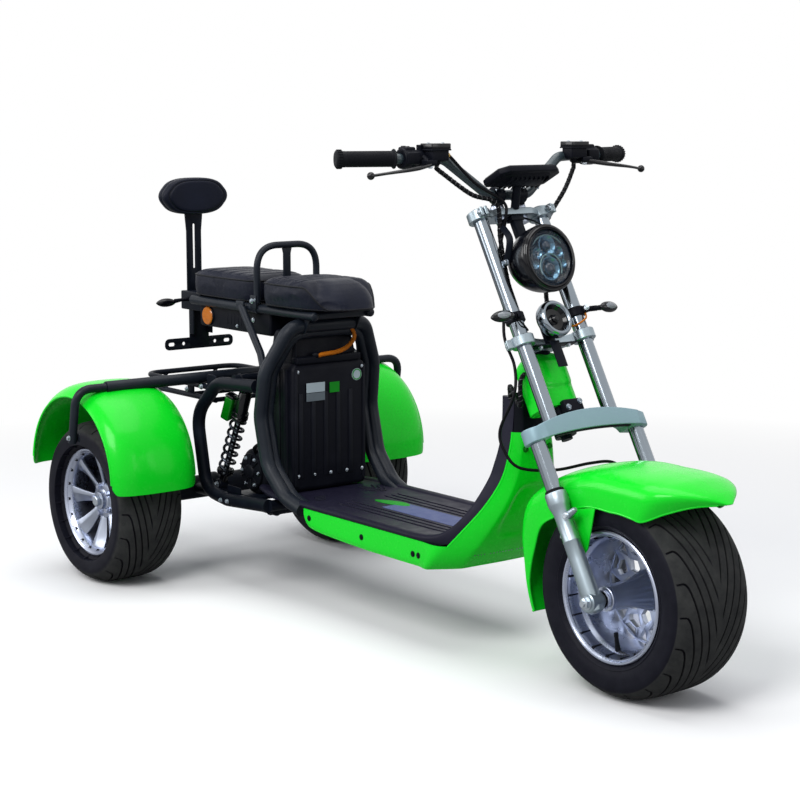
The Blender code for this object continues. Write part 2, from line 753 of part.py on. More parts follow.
def front_fender():
    """Wide curved guard over the front tyre, with a raised nose and side skirts."""
    stations = [
        # angle round the axle, radius at the crown, skirt depth, half width
        (20, 0.3020, 0.010, 0.092), (33, 0.3080, 0.016, 0.108), (43, 0.3190, 0.026, 0.118),
        (56, 0.3060, 0.048, 0.1195), (72, 0.2820, 0.060, 0.1195), (92, 0.2690, 0.060, 0.1195),
        (112, 0.2700, 0.072, 0.1195), (130, 0.2830, 0.095, 0.1195), (146, 0.2950, 0.085, 0.1195),
        (160, 0.2820, 0.070, 0.1150), (172, 0.2560, 0.040, 0.1120), (186, 0.2420, 0.014, 0.1080),
        (198, 0.2380, 0.010, 0.1040),
    ]
    rings = []
    for angle, radius, skirt, half in stations[2:]:
        a = math.radians(angle)
        out = Vector((math.cos(a), 0, math.sin(a)))
        ring = []
        for across, drop in (
            (-1.0, 1.0), (-0.99, 0.30), (-0.88, 0.07), (-0.50, 0.005),
            (0.50, 0.005), (0.88, 0.07), (0.99, 0.30), (1.0, 1.0),
        ):
            spot = AXLE + out * (radius - skirt * drop)
            ring.append((spot.x, across * (half - PANEL_T / 2), spot.z))
        rings.append(ring)
    body = shell(rings, PANEL_T)
    for side in (-1, 1):
        y = side * FORK_HALF
        boss = rod((0, side * 0.1165, 0.222), (0, y, 0.222), 0.009)
        leg = rod((0, y, 0.13), (0, y, LEG_TOP), LEG_R * 0.86 + GAP, LEG_R * 0.95 + GAP)
        body = joined(body, moved(cut(boss, leg), TO_FORK))
    return body


# Frame and body

def axis_point(along, forward=0.0):
    return TO_FORK @ Vector((STEM_AT + forward, 0, along))


HEAD_LOW = CROWN_LOW + CROWN_H + 0.016 + GAP
HEAD_HIGH = MID_CLAMP_AT - CLAMP_H / 2 - GAP


def down_tube(radius):
    return tube(rounded([
        axis_point(HEAD_LOW + 0.100), ahead(0.366, 0, 0.592), ahead(0.382, 0, 0.400), ahead(0.444, 0, DOWN_TUBE_Z),
        ahead(0.512, 0, DOWN_TUBE_Z),
    ], 0.06), radius)


def frame_loom(side, radius):
    """Wires that leave the head tube through the cowl's side and drop behind the apron."""
    route = [
        axis_point(0.520) + Vector((0, side * (HEAD_TUBE_R + CORD_GAP), 0)), axis_point(0.520) + Vector((0, side * 0.050, 0)),
        axis_point(0.505, -0.005) + Vector((0, side * 0.066, 0)), axis_point(0.450, -0.016) + Vector((0, side * 0.068, 0)),
        ahead(0.369, side * 0.060, 0.620), ahead(0.371, side * 0.036, 0.600),
    ]
    return tube(flowing(route, 2), radius, 1)


def main_frame():
    head = rod(axis_point(HEAD_LOW), axis_point(HEAD_HIGH), HEAD_TUBE_R, sides=16)
    pieces = [head, down_tube(DOWN_TUBE_R)]
    rear_x = RAIL_REAR
    for side in (-1, 1):
        y = side * RAIL_HALF
        pieces.append(rod((DECK_FRONT - 0.02, y, RAIL_Z), (rear_x, y, RAIL_Z), RAIL_R))
        y = side * HOOP_HALF
        pieces.append(tube(rounded([
            (0.372, y, 0.522), (0.196, y, 0.512), (0.096, y, 0.420), (0.136, y, 0.228),
            (0.236, y, 0.217), (rear_x, y, RAIL_Z),
        ], 0.085), LOOP_R))
        rack_y = side * (RACK_HALF + RACK_R + GAP)
        pieces.append(rod((0.146, y, RACK_Z - RACK_STEP), (0.146, rack_y, RACK_Z - RACK_STEP), 0.005, sides=8))
    front_x = DECK_FRONT - 0.030
    pieces.append(rod((front_x, -RAIL_HALF, RAIL_Z), (front_x, RAIL_HALF, RAIL_Z), RAIL_R))
    pieces.append(rod((rear_x, -HOOP_HALF, RAIL_Z), (rear_x, HOOP_HALF, RAIL_Z), RAIL_R))
    pieces.append(rod((SHOCK_TOP.x, -HOOP_HALF, SHOCK_CROSS_Z), (SHOCK_TOP.x, HOOP_HALF, SHOCK_CROSS_Z), 0.011))
    body = joined(*pieces)
    return cut(body, rod(axis_point(HEAD_LOW - 0.05), axis_point(HEAD_HIGH + 0.05), STEM_R + STEM_PLAY, sides=24))


def deck_pan():
    """Green skirt round the deck: straight sides with a rounded rear corner."""
    top = DECK_TOP - MAT_T - GAP
    outline = [
        (SKIRT_REAR, top), (SKIRT_REAR, 0.232), (SKIRT_REAR + 0.009, 0.215), (SKIRT_REAR + 0.032, 0.204),
        (0.720, 0.196), (0.820, SKIRT_LOW), (DECK_FRONT - 0.040, SKIRT_LOW), (DECK_FRONT + 0.003, 0.200),
        (DECK_FRONT + 0.045, top),
    ]
    body = loft([[(x, y, z) for x, z in outline] for y in (-DECK_HALF, DECK_HALF)])
    middle = (DECK_FRONT + SKIRT_REAR) / 2
    deep = DECK_HALF
    hollow = box(
        ((DECK_FRONT - SKIRT_REAR) * 2, DECK_HALF * 2 - PAN_T * 2, deep), (middle, 0, top - PAN_T - deep / 2),
    )
    return cut(body, hollow, down_tube(DOWN_TUBE_R + GAP))


APRON_ROWS = [
    # height, front face behind the front axle, half width
    (0.592, 0.335, 0.046), (0.520, 0.326, 0.052), (0.460, 0.322, 0.062), (0.400, 0.327, 0.076),
    (0.340, 0.342, 0.104), (0.280, 0.367, 0.140), (0.230, 0.397, 0.166), (0.200, 0.427, DECK_HALF),
]
SHIELD_DEPTH = 0.042


def apron():
    rings = []
    for z, behind, half in APRON_ROWS:
        x = WHEELBASE - behind
        ring = []
        for i in range(7):
            across = -1 + 2 * i / 6
            ring.append((x - half * 0.22 * across ** 2 - PANEL_T / 2, across * half, z))
        rings.append(ring)
    return cut(shell(rings, PANEL_T), down_tube(DOWN_TUBE_R + GAP))


def foot_mat():
    """Floor mat with the moulded inner leg shield that rises in front of the feet."""
    length = DECK_FRONT - DECK_REAR
    floor = box((length, DECK_HALF * 2, MAT_T), ((DECK_FRONT + DECK_REAR) / 2, 0, DECK_TOP - MAT_T / 2), 0.003, 1)
    rings = []
    for z, behind, half in APRON_ROWS[:-1]:
        back = WHEELBASE - behind - PANEL_T - GAP * 2
        ring = []
        for i in range(7):
            across = -1 + 2 * i / 6
            ring.append((back - half * 0.22 * across ** 2, across * half, z))
        for i in range(6, -1, -1):
            across = -1 + 2 * i / 6
            ring.append((back - SHIELD_DEPTH - half * 0.25 * across ** 2, across * half, z))
        rings.append(ring)
    rings[-1] = [(x - 0.03, y, z + 0.022) for x, y, z in rings[-1]]
    shield = loft(rings)
    tread = box(
        (TREAD_TO - TREAD_FROM, TREAD_HALF * 2, TREAD_T * 2), ((TREAD_TO + TREAD_FROM) / 2, 0, DECK_TOP),
    )
    body = joined(floor, shield, tread)
    for side in (-1, 1):
        edge = DECK_HALF - EDGE_R
        body = joined(body, tube(rounded([
            (0.565, side * edge, DECK_TOP - 0.004), (DECK_FRONT - 0.030, side * edge, DECK_TOP - 0.004),
            ahead(0.432, side * 0.146, 0.290), ahead(0.402, side * 0.106, 0.350), ahead(0.386, side * 0.070, 0.420),
            ahead(0.380, side * 0.054, 0.480), ahead(0.388, side * 0.042, 0.574),
        ], 0.03, 1), EDGE_R, 1))
    return cut(body, down_tube(DOWN_TUBE_R + GAP))


def head_cowl():
    low = HEAD_LOW + 0.030
    high = HEAD_HIGH - 0.004
    rings = []
    for t, swell in ((0.0, 1.0), (0.55, 1.0), (0.82, 0.96), (0.94, 0.86), (1.0, 0.66)):
        ring = superellipse(0.041 * swell, 0.057 * swell, 16, 3.0)
        rings.append([(STEM_AT - 0.006 + x, y, low + (high - low) * t) for x, y in ring])
    body = moved(loft(rings), TO_FORK)
    head = rod(axis_point(low - 0.05), axis_point(high + 0.05), HEAD_TUBE_R + GAP, sides=16)
    looms = [frame_loom(side, LOOM_R + GAP) for side in (-1, 1)]
    return cut(body, head, down_tube(DOWN_TUBE_R + GAP), *looms)


# Seats

def seat_hoop():
    half = [
        (0.552, 0.164, DECK_TOP + HOOP_R + GAP), (0.505, HOOP_HALF, DECK_TOP + HOOP_R + GAP),
        (0.418, HOOP_HALF, 0.340), (0.386, HOOP_HALF, 0.450), (0.406, HOOP_HALF, 0.560),
        (0.437, 0.138, HOOP_TOP), (0.437, 0.060, HOOP_TOP),
    ]
    right = [(x, -y, z) for x, y, z in half]
    band = tube(rounded(right + list(reversed(half)), 0.06), HOOP_R)
    struts = []
    for side in (-1, 1):
        start = (0.210, side * (SEAT_RAIL_HALF + SEAT_RAIL_R + STRUT_R + GAP), SEAT_RAIL_Z + 0.004)
        struts.append(tube([start, (0.335, side * 0.132, 0.598), (0.396, side * 0.160, 0.545)], STRUT_R))
    return joined(band, *struts)


def seat_base():
    pieces = []
    for side in (-1, 1):
        y = side * SEAT_RAIL_HALF
        pieces.append(rod((PASSENGER_REAR + 0.015, y, SEAT_RAIL_Z), (0.500, y, SEAT_RAIL_Z), SEAT_RAIL_R))
    for x in (PASSENGER_REAR + 0.032, GRAB_X, 0.480):
        pieces.append(rod((x, -SEAT_RAIL_HALF, SEAT_RAIL_Z), (x, SEAT_RAIL_HALF, SEAT_RAIL_Z), SEAT_RAIL_R))
    pieces.append(box(UNDERSEAT, (0.135, 0, SEAT_RAIL_Z - 0.005 - UNDERSEAT[2] / 2)))
    for side in (-1, 1):
        y = side * 0.078
        pieces.append(rod((0.015, y - side * 0.004, 0.6615), (0.015, y + side * 0.008, 0.6615), 0.026, 0.022, sides=14))
    return joined(*pieces)


def battery_box():
    front = 0.445
    rear = 0.3165
    low = DECK_TOP + GAP
    main = box((front - rear, 0.226, 0.578 - low), ((front + rear) / 2, 0, (0.578 + low) / 2), 0.010, 1)
    top = box((0.100, 0.196, 0.110), (rear + 0.0585, 0, 0.600), 0.008, 1)
    ribs = []
    for y in (-0.090, -0.052, -0.014, 0.024, 0.062):
        ribs.append(box((0.003, 0.012, 0.210), (front + 0.0010, y, 0.400)))
    rail = box((0.024, 0.196, 0.020), (front - 0.014, 0, 0.585))
    return joined(main, top, gathered(ribs), rail)


def pad(rear, front, half, top, nose):
    """Seat pad: a crowned top over straight sides, rounded in plan."""
    low = SEAT_SIT
    middle = (rear + front) / 2
    length = (front - rear) / 2
    rings = []
    for z, shrink in ((low, 0.96), (low + 0.012, 1.0), (top - 0.022, 1.0), (top - 0.008, 0.95), (top, 0.80)):
        ring = []
        for x, y in superellipse(length * shrink, half * shrink, 20, 4.5):
            taper = 1.0 - nose * max(0.0, x / length) ** 2
            ring.append((middle + x, y * taper, z))
        rings.append(ring)
    return loft(rings)


def grab_hoop():
    foot = SEAT_RAIL_Z + SEAT_RAIL_R + GAP
    y = 0.0915
    top = 0.858
    hoop = tube(rounded([
        (GRAB_X, -y, foot), (GRAB_X, -y, top), (GRAB_X, y, top), (GRAB_X, y, foot),
    ], 0.055, 3), GRAB_R)
    post = box((0.006, 0.022, top - foot), (GRAB_X, 0, (top + foot) / 2))
    return joined(hoop, post)


PAD_X = -0.178
PAD_LOW = 0.916


PAD_HALF = 0.110
PAD_H = 0.098
PAD_T = 0.045


def backrest_pad():
    """Rounded pad, its front and rear faces a little smaller than its waist."""
    rows = []
    for x, shrink in ((-0.5, 0.86), (-0.34, 1.0), (0.34, 1.0), (0.5, 0.86)):
        ring = superellipse(PAD_HALF * shrink, PAD_H / 2 * shrink, 20, 2.7)
        rows.append([(PAD_X + x * PAD_T, y, PAD_LOW + PAD_H / 2 + z) for y, z in ring])
    panel = superellipse(PAD_HALF * 0.66, PAD_H / 2 * 0.62, 12, 3.0)
    raised = loft([
        [(PAD_X + PAD_T / 2 - 0.004, y, PAD_LOW + PAD_H / 2 + z) for y, z in panel],
        [(PAD_X + PAD_T / 2 + 0.004, y * 0.9, PAD_LOW + PAD_H / 2 + z * 0.9) for y, z in panel],
    ])
    return joined(loft(rows), raised)


TAIL_TOP = SEAT_SIT - GAP


def tail_bracket():
    front = PASSENGER_REAR + 0.015 - GAP
    rear = PAD_X - 0.014
    body = box((front - rear, 0.070, 0.055), ((front + rear) / 2, 0, TAIL_TOP - 0.0275))
    neck = box((0.008, 0.060, 0.130), (-0.158, 0, 0.625))
    bar = box((0.004, 0.216, 0.031), (-0.158, 0, 0.5685))
    low = TAIL_TOP - 0.010
    high = PAD_LOW - GAP
    post = box((0.006, 0.045, high - low), (PAD_X, 0, (high + low) / 2))
    pieces = [body, neck, bar, post]
    for side in (-1, 1):
        pieces.append(rod((-0.150, side * 0.020, 0.690), (-0.150, side * 0.085, 0.686), 0.005))
        pieces.append(ball((-0.150, side * 0.108, 0.684), (0.010, 0.031, 0.0115)))
    body = joined(*pieces)
    holes = [box((0.02, 0.009, 0.127), (PAD_X, 0, 0.828))]
    for y in (-0.092, -0.050, -0.025, 0.025, 0.050, 0.092):
        holes.append(rod((-0.175, y, 0.5685), (-0.140, y, 0.5685), 0.006, sides=6))
    return cut(body, *holes)


# Rear end

def rear_fender(side):
    span = 12
    half = (FENDER_OUTER - FENDER_INNER) / 2
    middle = (FENDER_OUTER + FENDER_INNER) / 2
    section = []
    for i in range(7):
        across = math.sin(math.pi / 2 * (-1 + 2 * i / 6))
        drop = FENDER_EDGE_DROP * (0.30 * across ** 2 + 0.70 * across ** 6)
        section.append((FENDER_R - PANEL_T / 2 - drop, side * (middle + across * half)))
    rings = []
    for step in range(span + 1):
        a = math.radians(FENDER_FROM + (180 - FENDER_FROM) * step / span)
        rings.append([
            (FENDER_X + r * math.cos(a), y, FENDER_Z + r * math.sin(a)) for r, y in section
        ])
    return shell(rings, PANEL_T)


def fender_bar():
    points = [
        (0.052, -BAR_HALF, 0.375), (BAR_X, -BAR_HALF, BAR_Z), (BAR_X, BAR_HALF, BAR_Z),
        (0.052, BAR_HALF, 0.375),
    ]
    bar = tube(rounded(points, 0.045, 3), BAR_R)
    sleeve = rod((BAR_X, -0.425, BAR_Z), (BAR_X, 0.425, BAR_Z), SLEEVE_R)
    return joined(bar, sleeve)


def cargo_rack():
    rear = -0.205
    front = 0.150
    half = RACK_HALF
    pieces = []
    for z in (RACK_Z, RACK_Z - RACK_STEP):
        corners = [(front, -half, z), (rear, -half, z), (rear, half, z), (front, half, z)]
        pieces.append(tube(rounded(corners, 0.05), RACK_R, 1))
    for x in (front - 0.007, 0.02):
        for z in (RACK_Z, RACK_Z - RACK_STEP):
            pieces.append(rod((x, -half, z), (x, half, z), RACK_R * 0.9, sides=6))
    for x, y in ((rear, -0.08), (rear, 0.08), (-0.10, -half), (-0.10, half)):
        pieces.append(rod((x, y, RACK_Z - RACK_STEP), (x, y, RACK_Z), RACK_R * 0.8, sides=6))
    return joined(*pieces)


ARM_Z = 0.2110
ARM_R = 0.014
ARM_HALF = 0.130
SHOCK_EYE_R = 0.014
SHOCK_TOP = Vector((0.2692, 0.0, 0.5035))
SHOCK_LOW = Vector((0.1474, 0.0, ARM_Z + ARM_R + SHOCK_EYE_R + GAP))
SHOCK_CROSS_Z = SHOCK_TOP.z + SHOCK_EYE_R + 0.011 + GAP
SPRING_R = 0.0180
SPRING_WIRE_R = 0.0036
SPRING_TURNS = 6
SPRING_STEPS = 6
MOTOR_R = 0.0580
MOTOR_AT = (0.254, 0.2855)


def rear_axle():
    z = REAR_TYRE_R
    reach = REAR_TRACK_HALF - 0.055 - 0.001
    pieces = [
        rod((0, -0.250, z), (0, 0.250, z), 0.030, sides=16),
        rod((0, -reach, z), (0, reach, z), 0.022, sides=12),
        rod((0, -REAR_TRACK_HALF - 0.050, z), (0, REAR_TRACK_HALF + 0.050, z), AXLE_R),
    ]
    for side in (-1, 1):
        y = side * ARM_HALF
        pieces.append(rod((0, y, ARM_Z), (0.398, y, ARM_Z), ARM_R))
    plate_top = MOTOR_AT[1] - MOTOR_R - GAP
    pieces.append(box((0.110, ARM_HALF * 2, 0.006), (MOTOR_AT[0], 0, plate_top - 0.003)))
    pieces.append(rod((0.385, -ARM_HALF, ARM_Z), (0.385, ARM_HALF, ARM_Z), ARM_R))
    return joined(*pieces)


def drive_motor():
    x, z = MOTOR_AT
    drum = rod((x, -0.105, z), (x, 0.085, z), MOTOR_R, sides=20)
    cover = rod((x, -0.120, z), (x, -0.100, z), MOTOR_R - 0.012, sides=20)
    return joined(drum, cover)


def shock(side):
    y = side * ARM_HALF
    top = Vector((SHOCK_TOP.x, y, SHOCK_TOP.z))
    low = Vector((SHOCK_LOW.x, y, SHOCK_LOW.z))
    run = (top - low).normalized()
    length = (top - low).length
    coil_from = 0.040
    coil_to = length - 0.085
    turn = run.to_track_quat("Z", "Y").to_matrix().to_4x4()
    steps = SPRING_TURNS * SPRING_STEPS
    wire = []
    for i in range(steps + 1):
        a = 2 * math.pi * i / SPRING_STEPS
        along = coil_from + (coil_to - coil_from) * i / steps
        wire.append(Matrix.Translation(low) @ turn @ Vector((
            SPRING_R * math.cos(a), SPRING_R * math.sin(a), along,
        )))
    spring = tube(wire, SPRING_WIRE_R, 0)
    cups = [
        rod(low + run * (coil_from - 0.004), low + run * (coil_from + 0.004), SPRING_R + SPRING_WIRE_R),
        rod(low + run * (coil_to - 0.004), top - run * 0.055, SPRING_R + SPRING_WIRE_R),
    ]
    can = rod(top - run * 0.060, top - run * 0.008, 0.0165)
    stem = rod(low + run * 0.003, low + run * (coil_to + 0.004), 0.009)
    eyes = [
        rod(top - Vector((0, 0.013, 0)), top + Vector((0, 0.013, 0)), SHOCK_EYE_R),
        rod(low - Vector((0, 0.013, 0)), low + Vector((0, 0.013, 0)), SHOCK_EYE_R),
    ]
    return joined(stem, *cups, can, *eyes, spring)


def front_axle():
    reach = FORK_HALF + LEG_R
    axle = rod((0, -reach, 0), (0, reach, 0), AXLE_R)
    return moved(axle, Matrix.Translation(AXLE))


def build():
    clear_scene()
    finish = {
        "rubber": material("tyre_rubber", (0.035, 0.036, 0.042), 0.75),
        "polished": material("polished_alloy", (0.72, 0.74, 0.78), 0.15, 1.0),
        "chrome": material("chrome_tube", (0.78, 0.80, 0.83), 0.08, 1.0),
        "silver": material("silver_alloy", (0.42, 0.52, 0.58), 0.35, 0.6),
        "green": material("green_gloss", (0.01, 0.80, 0.03), 0.18),
        "black": material("black_steel", (0.018, 0.022, 0.030), 0.40, 0.3),
        "plastic": material("black_plastic", (0.016, 0.017, 0.022), 0.55),
        "leather": material("black_leather", (0.022, 0.026, 0.036), 0.48),
        "lens": material("clear_lens", (0.55, 0.60, 0.62), 0.10),
    }
    chassis = pivot("vehicle", (0, 0, 0))
    chassis["empty"].location = (-MIDDLE_X, 0, 0)
    steering = pivot("steering", axis_point(0.0), chassis)
    bodies = {"front_wheel": pivot("front_wheel", AXLE, steering)}
    for side, name in ((-1, "right"), (1, "left")):
        at = (0, side * REAR_TRACK_HALF, REAR_TYRE_R)
        bodies["rear_wheel_" + name] = pivot("rear_wheel_" + name, at, chassis)

    build_wheels(finish, bodies)

    place(front_axle(), "front_axle", finish["chrome"], steering)
    place(lower_crown(), "lower_crown", finish["silver"], steering)
    place(clamp(MID_CLAMP_AT, -0.012, -0.080, True), "mid_clamp", finish["silver"], steering)
    place(risers_with_clamp(), "top_clamp", finish["silver"], steering)
    for side, name in ((-1, "right"), (1, "left")):
        place(upper_tube(side), "upper_tube_" + name, finish["chrome"], steering)
        place(fork_leg(side), "fork_leg_" + name, finish["silver"], steering)
        place(grip(side), "grip_" + name, finish["rubber"], steering)
        place(control(side), "control_" + name, finish["plastic"], steering)
        place(front_signal(side), "front_signal_" + name, finish["lens"], steering)
        place(loom(side), "loom_" + name, finish["rubber"], steering)
        place(frame_loom(side, LOOM_R), "frame_loom_" + name, finish["rubber"], chassis)
    place(brake_hose(), "brake_hose", finish["rubber"], steering)
    place(bar_shape(HANDLEBAR_R), "handlebar", finish["black"], steering)
    place(headlight(), "headlight", finish["plastic"], steering)
    place(horn(), "horn", finish["chrome"], steering)
    place(front_fender(), "front_fender", finish["green"], steering)

    place(main_frame(), "main_frame", finish["black"], chassis)
    place(deck_pan(), "deck_pan", finish["green"], chassis)
    place(apron(), "apron", finish["green"], chassis)
    place(foot_mat(), "foot_mat", finish["plastic"], chassis)
    place(head_cowl(), "head_cowl", finish["green"], chassis)
    place(seat_hoop(), "seat_hoop", finish["black"], chassis)
    place(seat_base(), "seat_base", finish["black"], chassis)
    place(battery_box(), "battery_box", finish["plastic"], chassis)
    place(
        pad(DRIVER_REAR, DRIVER_FRONT, DRIVER_HALF, SEAT_TOP, DRIVER_NOSE),
        "driver_seat", finish["leather"], chassis,
    )
    place(
        pad(PASSENGER_REAR, PASSENGER_FRONT, PASSENGER_HALF, SEAT_TOP - 0.002, 0.0),
        "passenger_seat", finish["leather"], chassis,
    )
    place(grab_hoop(), "grab_hoop", finish["black"], chassis)
    place(tail_bracket(), "tail_bracket", finish["black"], chassis)
    place(backrest_pad(), "backrest_pad", finish["leather"], chassis)
    place(fender_bar(), "fender_bar", finish["black"], chassis)
    place(cargo_rack(), "cargo_rack", finish["black"], chassis)
    place(rear_axle(), "rear_axle", finish["black"], chassis)
    place(drive_motor(), "drive_motor", finish["black"], chassis)
    for side, name in ((-1, "right"), (1, "left")):
        place(rear_fender(side), "rear_fender_" + name, finish["green"], chassis)
        place(shock(side), "rear_shock_" + name, finish["black"], chassis)


build()
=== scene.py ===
"""Electric tricycle: the looks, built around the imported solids. Metres, +Z up, +X forward."""

import math

import bmesh
import bpy
from bpy.props import FloatVectorProperty, PointerProperty
from mathutils import Matrix, Vector
from mathutils.bvhtree import BVHTree


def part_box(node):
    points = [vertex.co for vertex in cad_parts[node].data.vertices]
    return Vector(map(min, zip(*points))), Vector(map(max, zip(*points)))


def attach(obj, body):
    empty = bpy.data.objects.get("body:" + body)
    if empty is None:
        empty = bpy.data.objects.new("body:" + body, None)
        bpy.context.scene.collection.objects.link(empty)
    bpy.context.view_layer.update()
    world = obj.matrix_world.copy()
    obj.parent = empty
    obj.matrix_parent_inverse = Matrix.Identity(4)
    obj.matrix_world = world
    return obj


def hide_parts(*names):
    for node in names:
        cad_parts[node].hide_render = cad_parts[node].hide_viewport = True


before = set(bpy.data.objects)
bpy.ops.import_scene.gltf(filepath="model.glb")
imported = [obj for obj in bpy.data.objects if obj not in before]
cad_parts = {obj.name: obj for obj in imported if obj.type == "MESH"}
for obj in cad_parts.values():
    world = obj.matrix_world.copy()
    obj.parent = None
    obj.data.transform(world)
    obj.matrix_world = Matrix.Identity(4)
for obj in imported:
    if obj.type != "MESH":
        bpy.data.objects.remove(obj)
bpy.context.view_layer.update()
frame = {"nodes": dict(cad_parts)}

bl_info = {
    "name": "Electric tricycle",
    "version": (1, 0, 0),
    "blender": (4, 5, 0),
    "location": "3D View > Sidebar > Tricycle",
    "description": "Builds the visible pieces of an electric tricycle around its solids",
    "category": "Object",
}

# Sizes that the pieces share, measured from the rear axle
WHEELBASE = 1.532
FRONT_R = 0.2157
REAR_R = 0.2064
TRACK_HALF = 0.365
RAKE = math.radians(29.3)
STEM_X = -0.062
GAP = 0.0003
FRONT_TYRE_HALF = 0.105
FRONT_RIM_HALF = 0.0985
REAR_TYRE_HALF = 0.0925
REAR_RIM_HALF = 0.071
RIM_FLANGE_R = 0.138
RIM_SEAT_R = 0.1273
AXLE = Vector((WHEELBASE, 0.0, FRONT_R))
TYRE_LOW, TYRE_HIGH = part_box("front_tyre")
MIDDLE_X = WHEELBASE - (TYRE_LOW.x + TYRE_HIGH.x) / 2
TO_FORK = Matrix.Translation(AXLE) @ Matrix.Rotation(-RAKE, 4, "Y")
SIDES = ((-1, "right"), (1, "left"))


# Shader trees

class Socket:
    """A node's output, with arithmetic that adds Math nodes."""

    def __init__(self, tree, out):
        self.tree = tree
        self.out = out

    def math(self, operation, first, second):
        return self.tree.node("ShaderNodeMath", {"operation": operation}, {0: first, 1: second})

    def __add__(self, other):
        return self.math("ADD", self, other)

    def __radd__(self, other):
        return self.math("ADD", other, self)

    def __sub__(self, other):
        return self.math("SUBTRACT", self, other)

    def __rsub__(self, other):
        return self.math("SUBTRACT", other, self)

    def __mul__(self, other):
        return self.math("MULTIPLY", self, other)


class Tree:
    """A shader tree whose nodes are added one expression at a time."""

    def __init__(self, tree):
        self.nodes = tree.nodes
        self.links = tree.links

    def node(self, kind, settings=None, inputs=None, output=0):
        made = self.nodes.new(kind)
        for key, value in (settings or {}).items():
            setattr(made, key, value)
        for key, value in (inputs or {}).items():
            self.feed(made.inputs[key], value)
        return Socket(self, made.outputs[output])

    def feed(self, socket, value):
        if isinstance(value, Socket):
            self.links.new(value.out, socket)
        else:
            socket.default_value = value


class Finish(Tree):
    """A material on Object coordinates."""

    def __init__(self, name, colour, roughness, metallic=0.0, **constants):
        self.made = bpy.data.materials.new(name)
        self.made.use_nodes = True
        super().__init__(self.made.node_tree)
        self.shader = self.nodes["Principled BSDF"]
        self.set("Base Color", (*colour, 1.0))
        self.set("Roughness", roughness)
        self.set("Metallic", metallic)
        for key, value in constants.items():
            self.set(key.replace("_", " ").title().replace("Ior", "IOR"), value)
        self.made.diffuse_color = (*colour, 1.0)

    def set(self, name, value):
        self.feed(self.shader.inputs[name], value)

    def place(self):
        return self.node("ShaderNodeTexCoord", output="Object")

    def noise(self, scale, detail=3.0, roughness=0.5):
        inputs = {"Vector": self.place(), "Scale": scale, "Detail": detail, "Roughness": roughness}
        return self.node("ShaderNodeTexNoise", None, inputs)

    def ramp(self, value, low, high):
        inputs = {"Value": value, "From Min": low, "From Max": high}
        return self.node("ShaderNodeMapRange", {"clamp": True}, inputs)

    def mix(self, share, first, second):
        first = first if isinstance(first, Socket) else (*first, 1.0)
        second = second if isinstance(second, Socket) else (*second, 1.0)
        inputs = {"Factor": share, 6: first, 7: second}
        return self.node("ShaderNodeMix", {"data_type": "RGBA"}, inputs, 2)

    def bump(self, height, distance, strength=1.0, normal=None):
        inputs = {"Height": height, "Distance": distance, "Strength": strength}
        if normal:
            inputs["Normal"] = normal
        return self.node("ShaderNodeBump", None, inputs)

    def attribute(self, name):
        return self.node("ShaderNodeAttribute", {"attribute_name": name}, None, "Fac")


LOOKS = {}


def painted(name, colour, shade, roughness=0.26):
    """Gloss paint under a clear coat, with a slow drift of its colour."""
    look = Finish(name, colour, roughness, coat_weight=0.14, coat_roughness=0.08, specular_ior_level=0.16)
    drift = look.ramp(look.noise(3.0, 2.0), 0.35, 0.65)
    look.set("Base Color", look.mix(drift * 0.45, colour, shade))
    speck = look.ramp(look.noise(90.0, 2.0), 0.55, 0.75)
    look.set("Roughness", roughness + speck * 0.06)
    look.set("Normal", look.bump(look.noise(30.0, 1.0), 0.00006, 0.3))
    return look


def coated(name, colour, worn, roughness, grain=900.0, depth=0.00012, metallic=0.0, gloss=0.09):
    """Satin powder coat or moulded plastic: fine grain, and slightly paler where it is rubbed."""
    look = Finish(name, colour, roughness, metallic, specular_ior_level=gloss)
    rub = look.ramp(look.noise(14.0, 4.0), 0.52, 0.72)
    look.set("Base Color", look.mix(rub * 0.6, colour, worn))
    look.set("Roughness", roughness + look.ramp(look.noise(38.0, 3.0), 0.3, 0.7) * 0.14 - 0.05)
    look.set("Normal", look.bump(look.noise(grain, 2.0), depth, 0.6))
    return look


def metal(name, colour, roughness, streak=0.0):
    """Bare metal, smeared a little duller in places, with a fine streak where it is polished."""
    look = Finish(name, colour, roughness, 1.0)
    lines = look.noise(160.0, 3.0, 0.6)
    smear = look.ramp(look.noise(22.0, 4.0), 0.4, 0.75)
    look.set("Roughness", roughness + smear * 0.1 + lines * streak)
    look.set("Base Color", look.mix(smear * 0.35, colour, tuple(c * 0.82 for c in colour)))
    if streak:
        look.set("Normal", look.bump(lines, 0.00006, 0.4))
    return look


def rubber(name):
    """Near-black sidewall, and a dusty grey where the tread is worn."""
    look = Finish(name, (0.006, 0.006, 0.01), 0.62, specular_ior_level=0.1)
    worn = look.attribute("worn")
    dust = look.ramp(look.noise(30.0, 5.0, 0.65), 0.3, 0.7)
    tread = look.mix(dust, (0.022, 0.023, 0.024), (0.042, 0.043, 0.042))
    wall_colour = look.mix(dust, (0.004, 0.0042, 0.0085), (0.008, 0.0082, 0.014))
    look.set("Base Color", look.mix(worn, wall_colour, tread))
    look.set("Roughness", 0.55 + worn * 0.25 - dust * 0.08)
    look.set("Normal", look.bump(look.noise(420.0, 3.0) + look.noise(90.0, 2.0) * 0.8, 0.0003, 0.5))
    return look


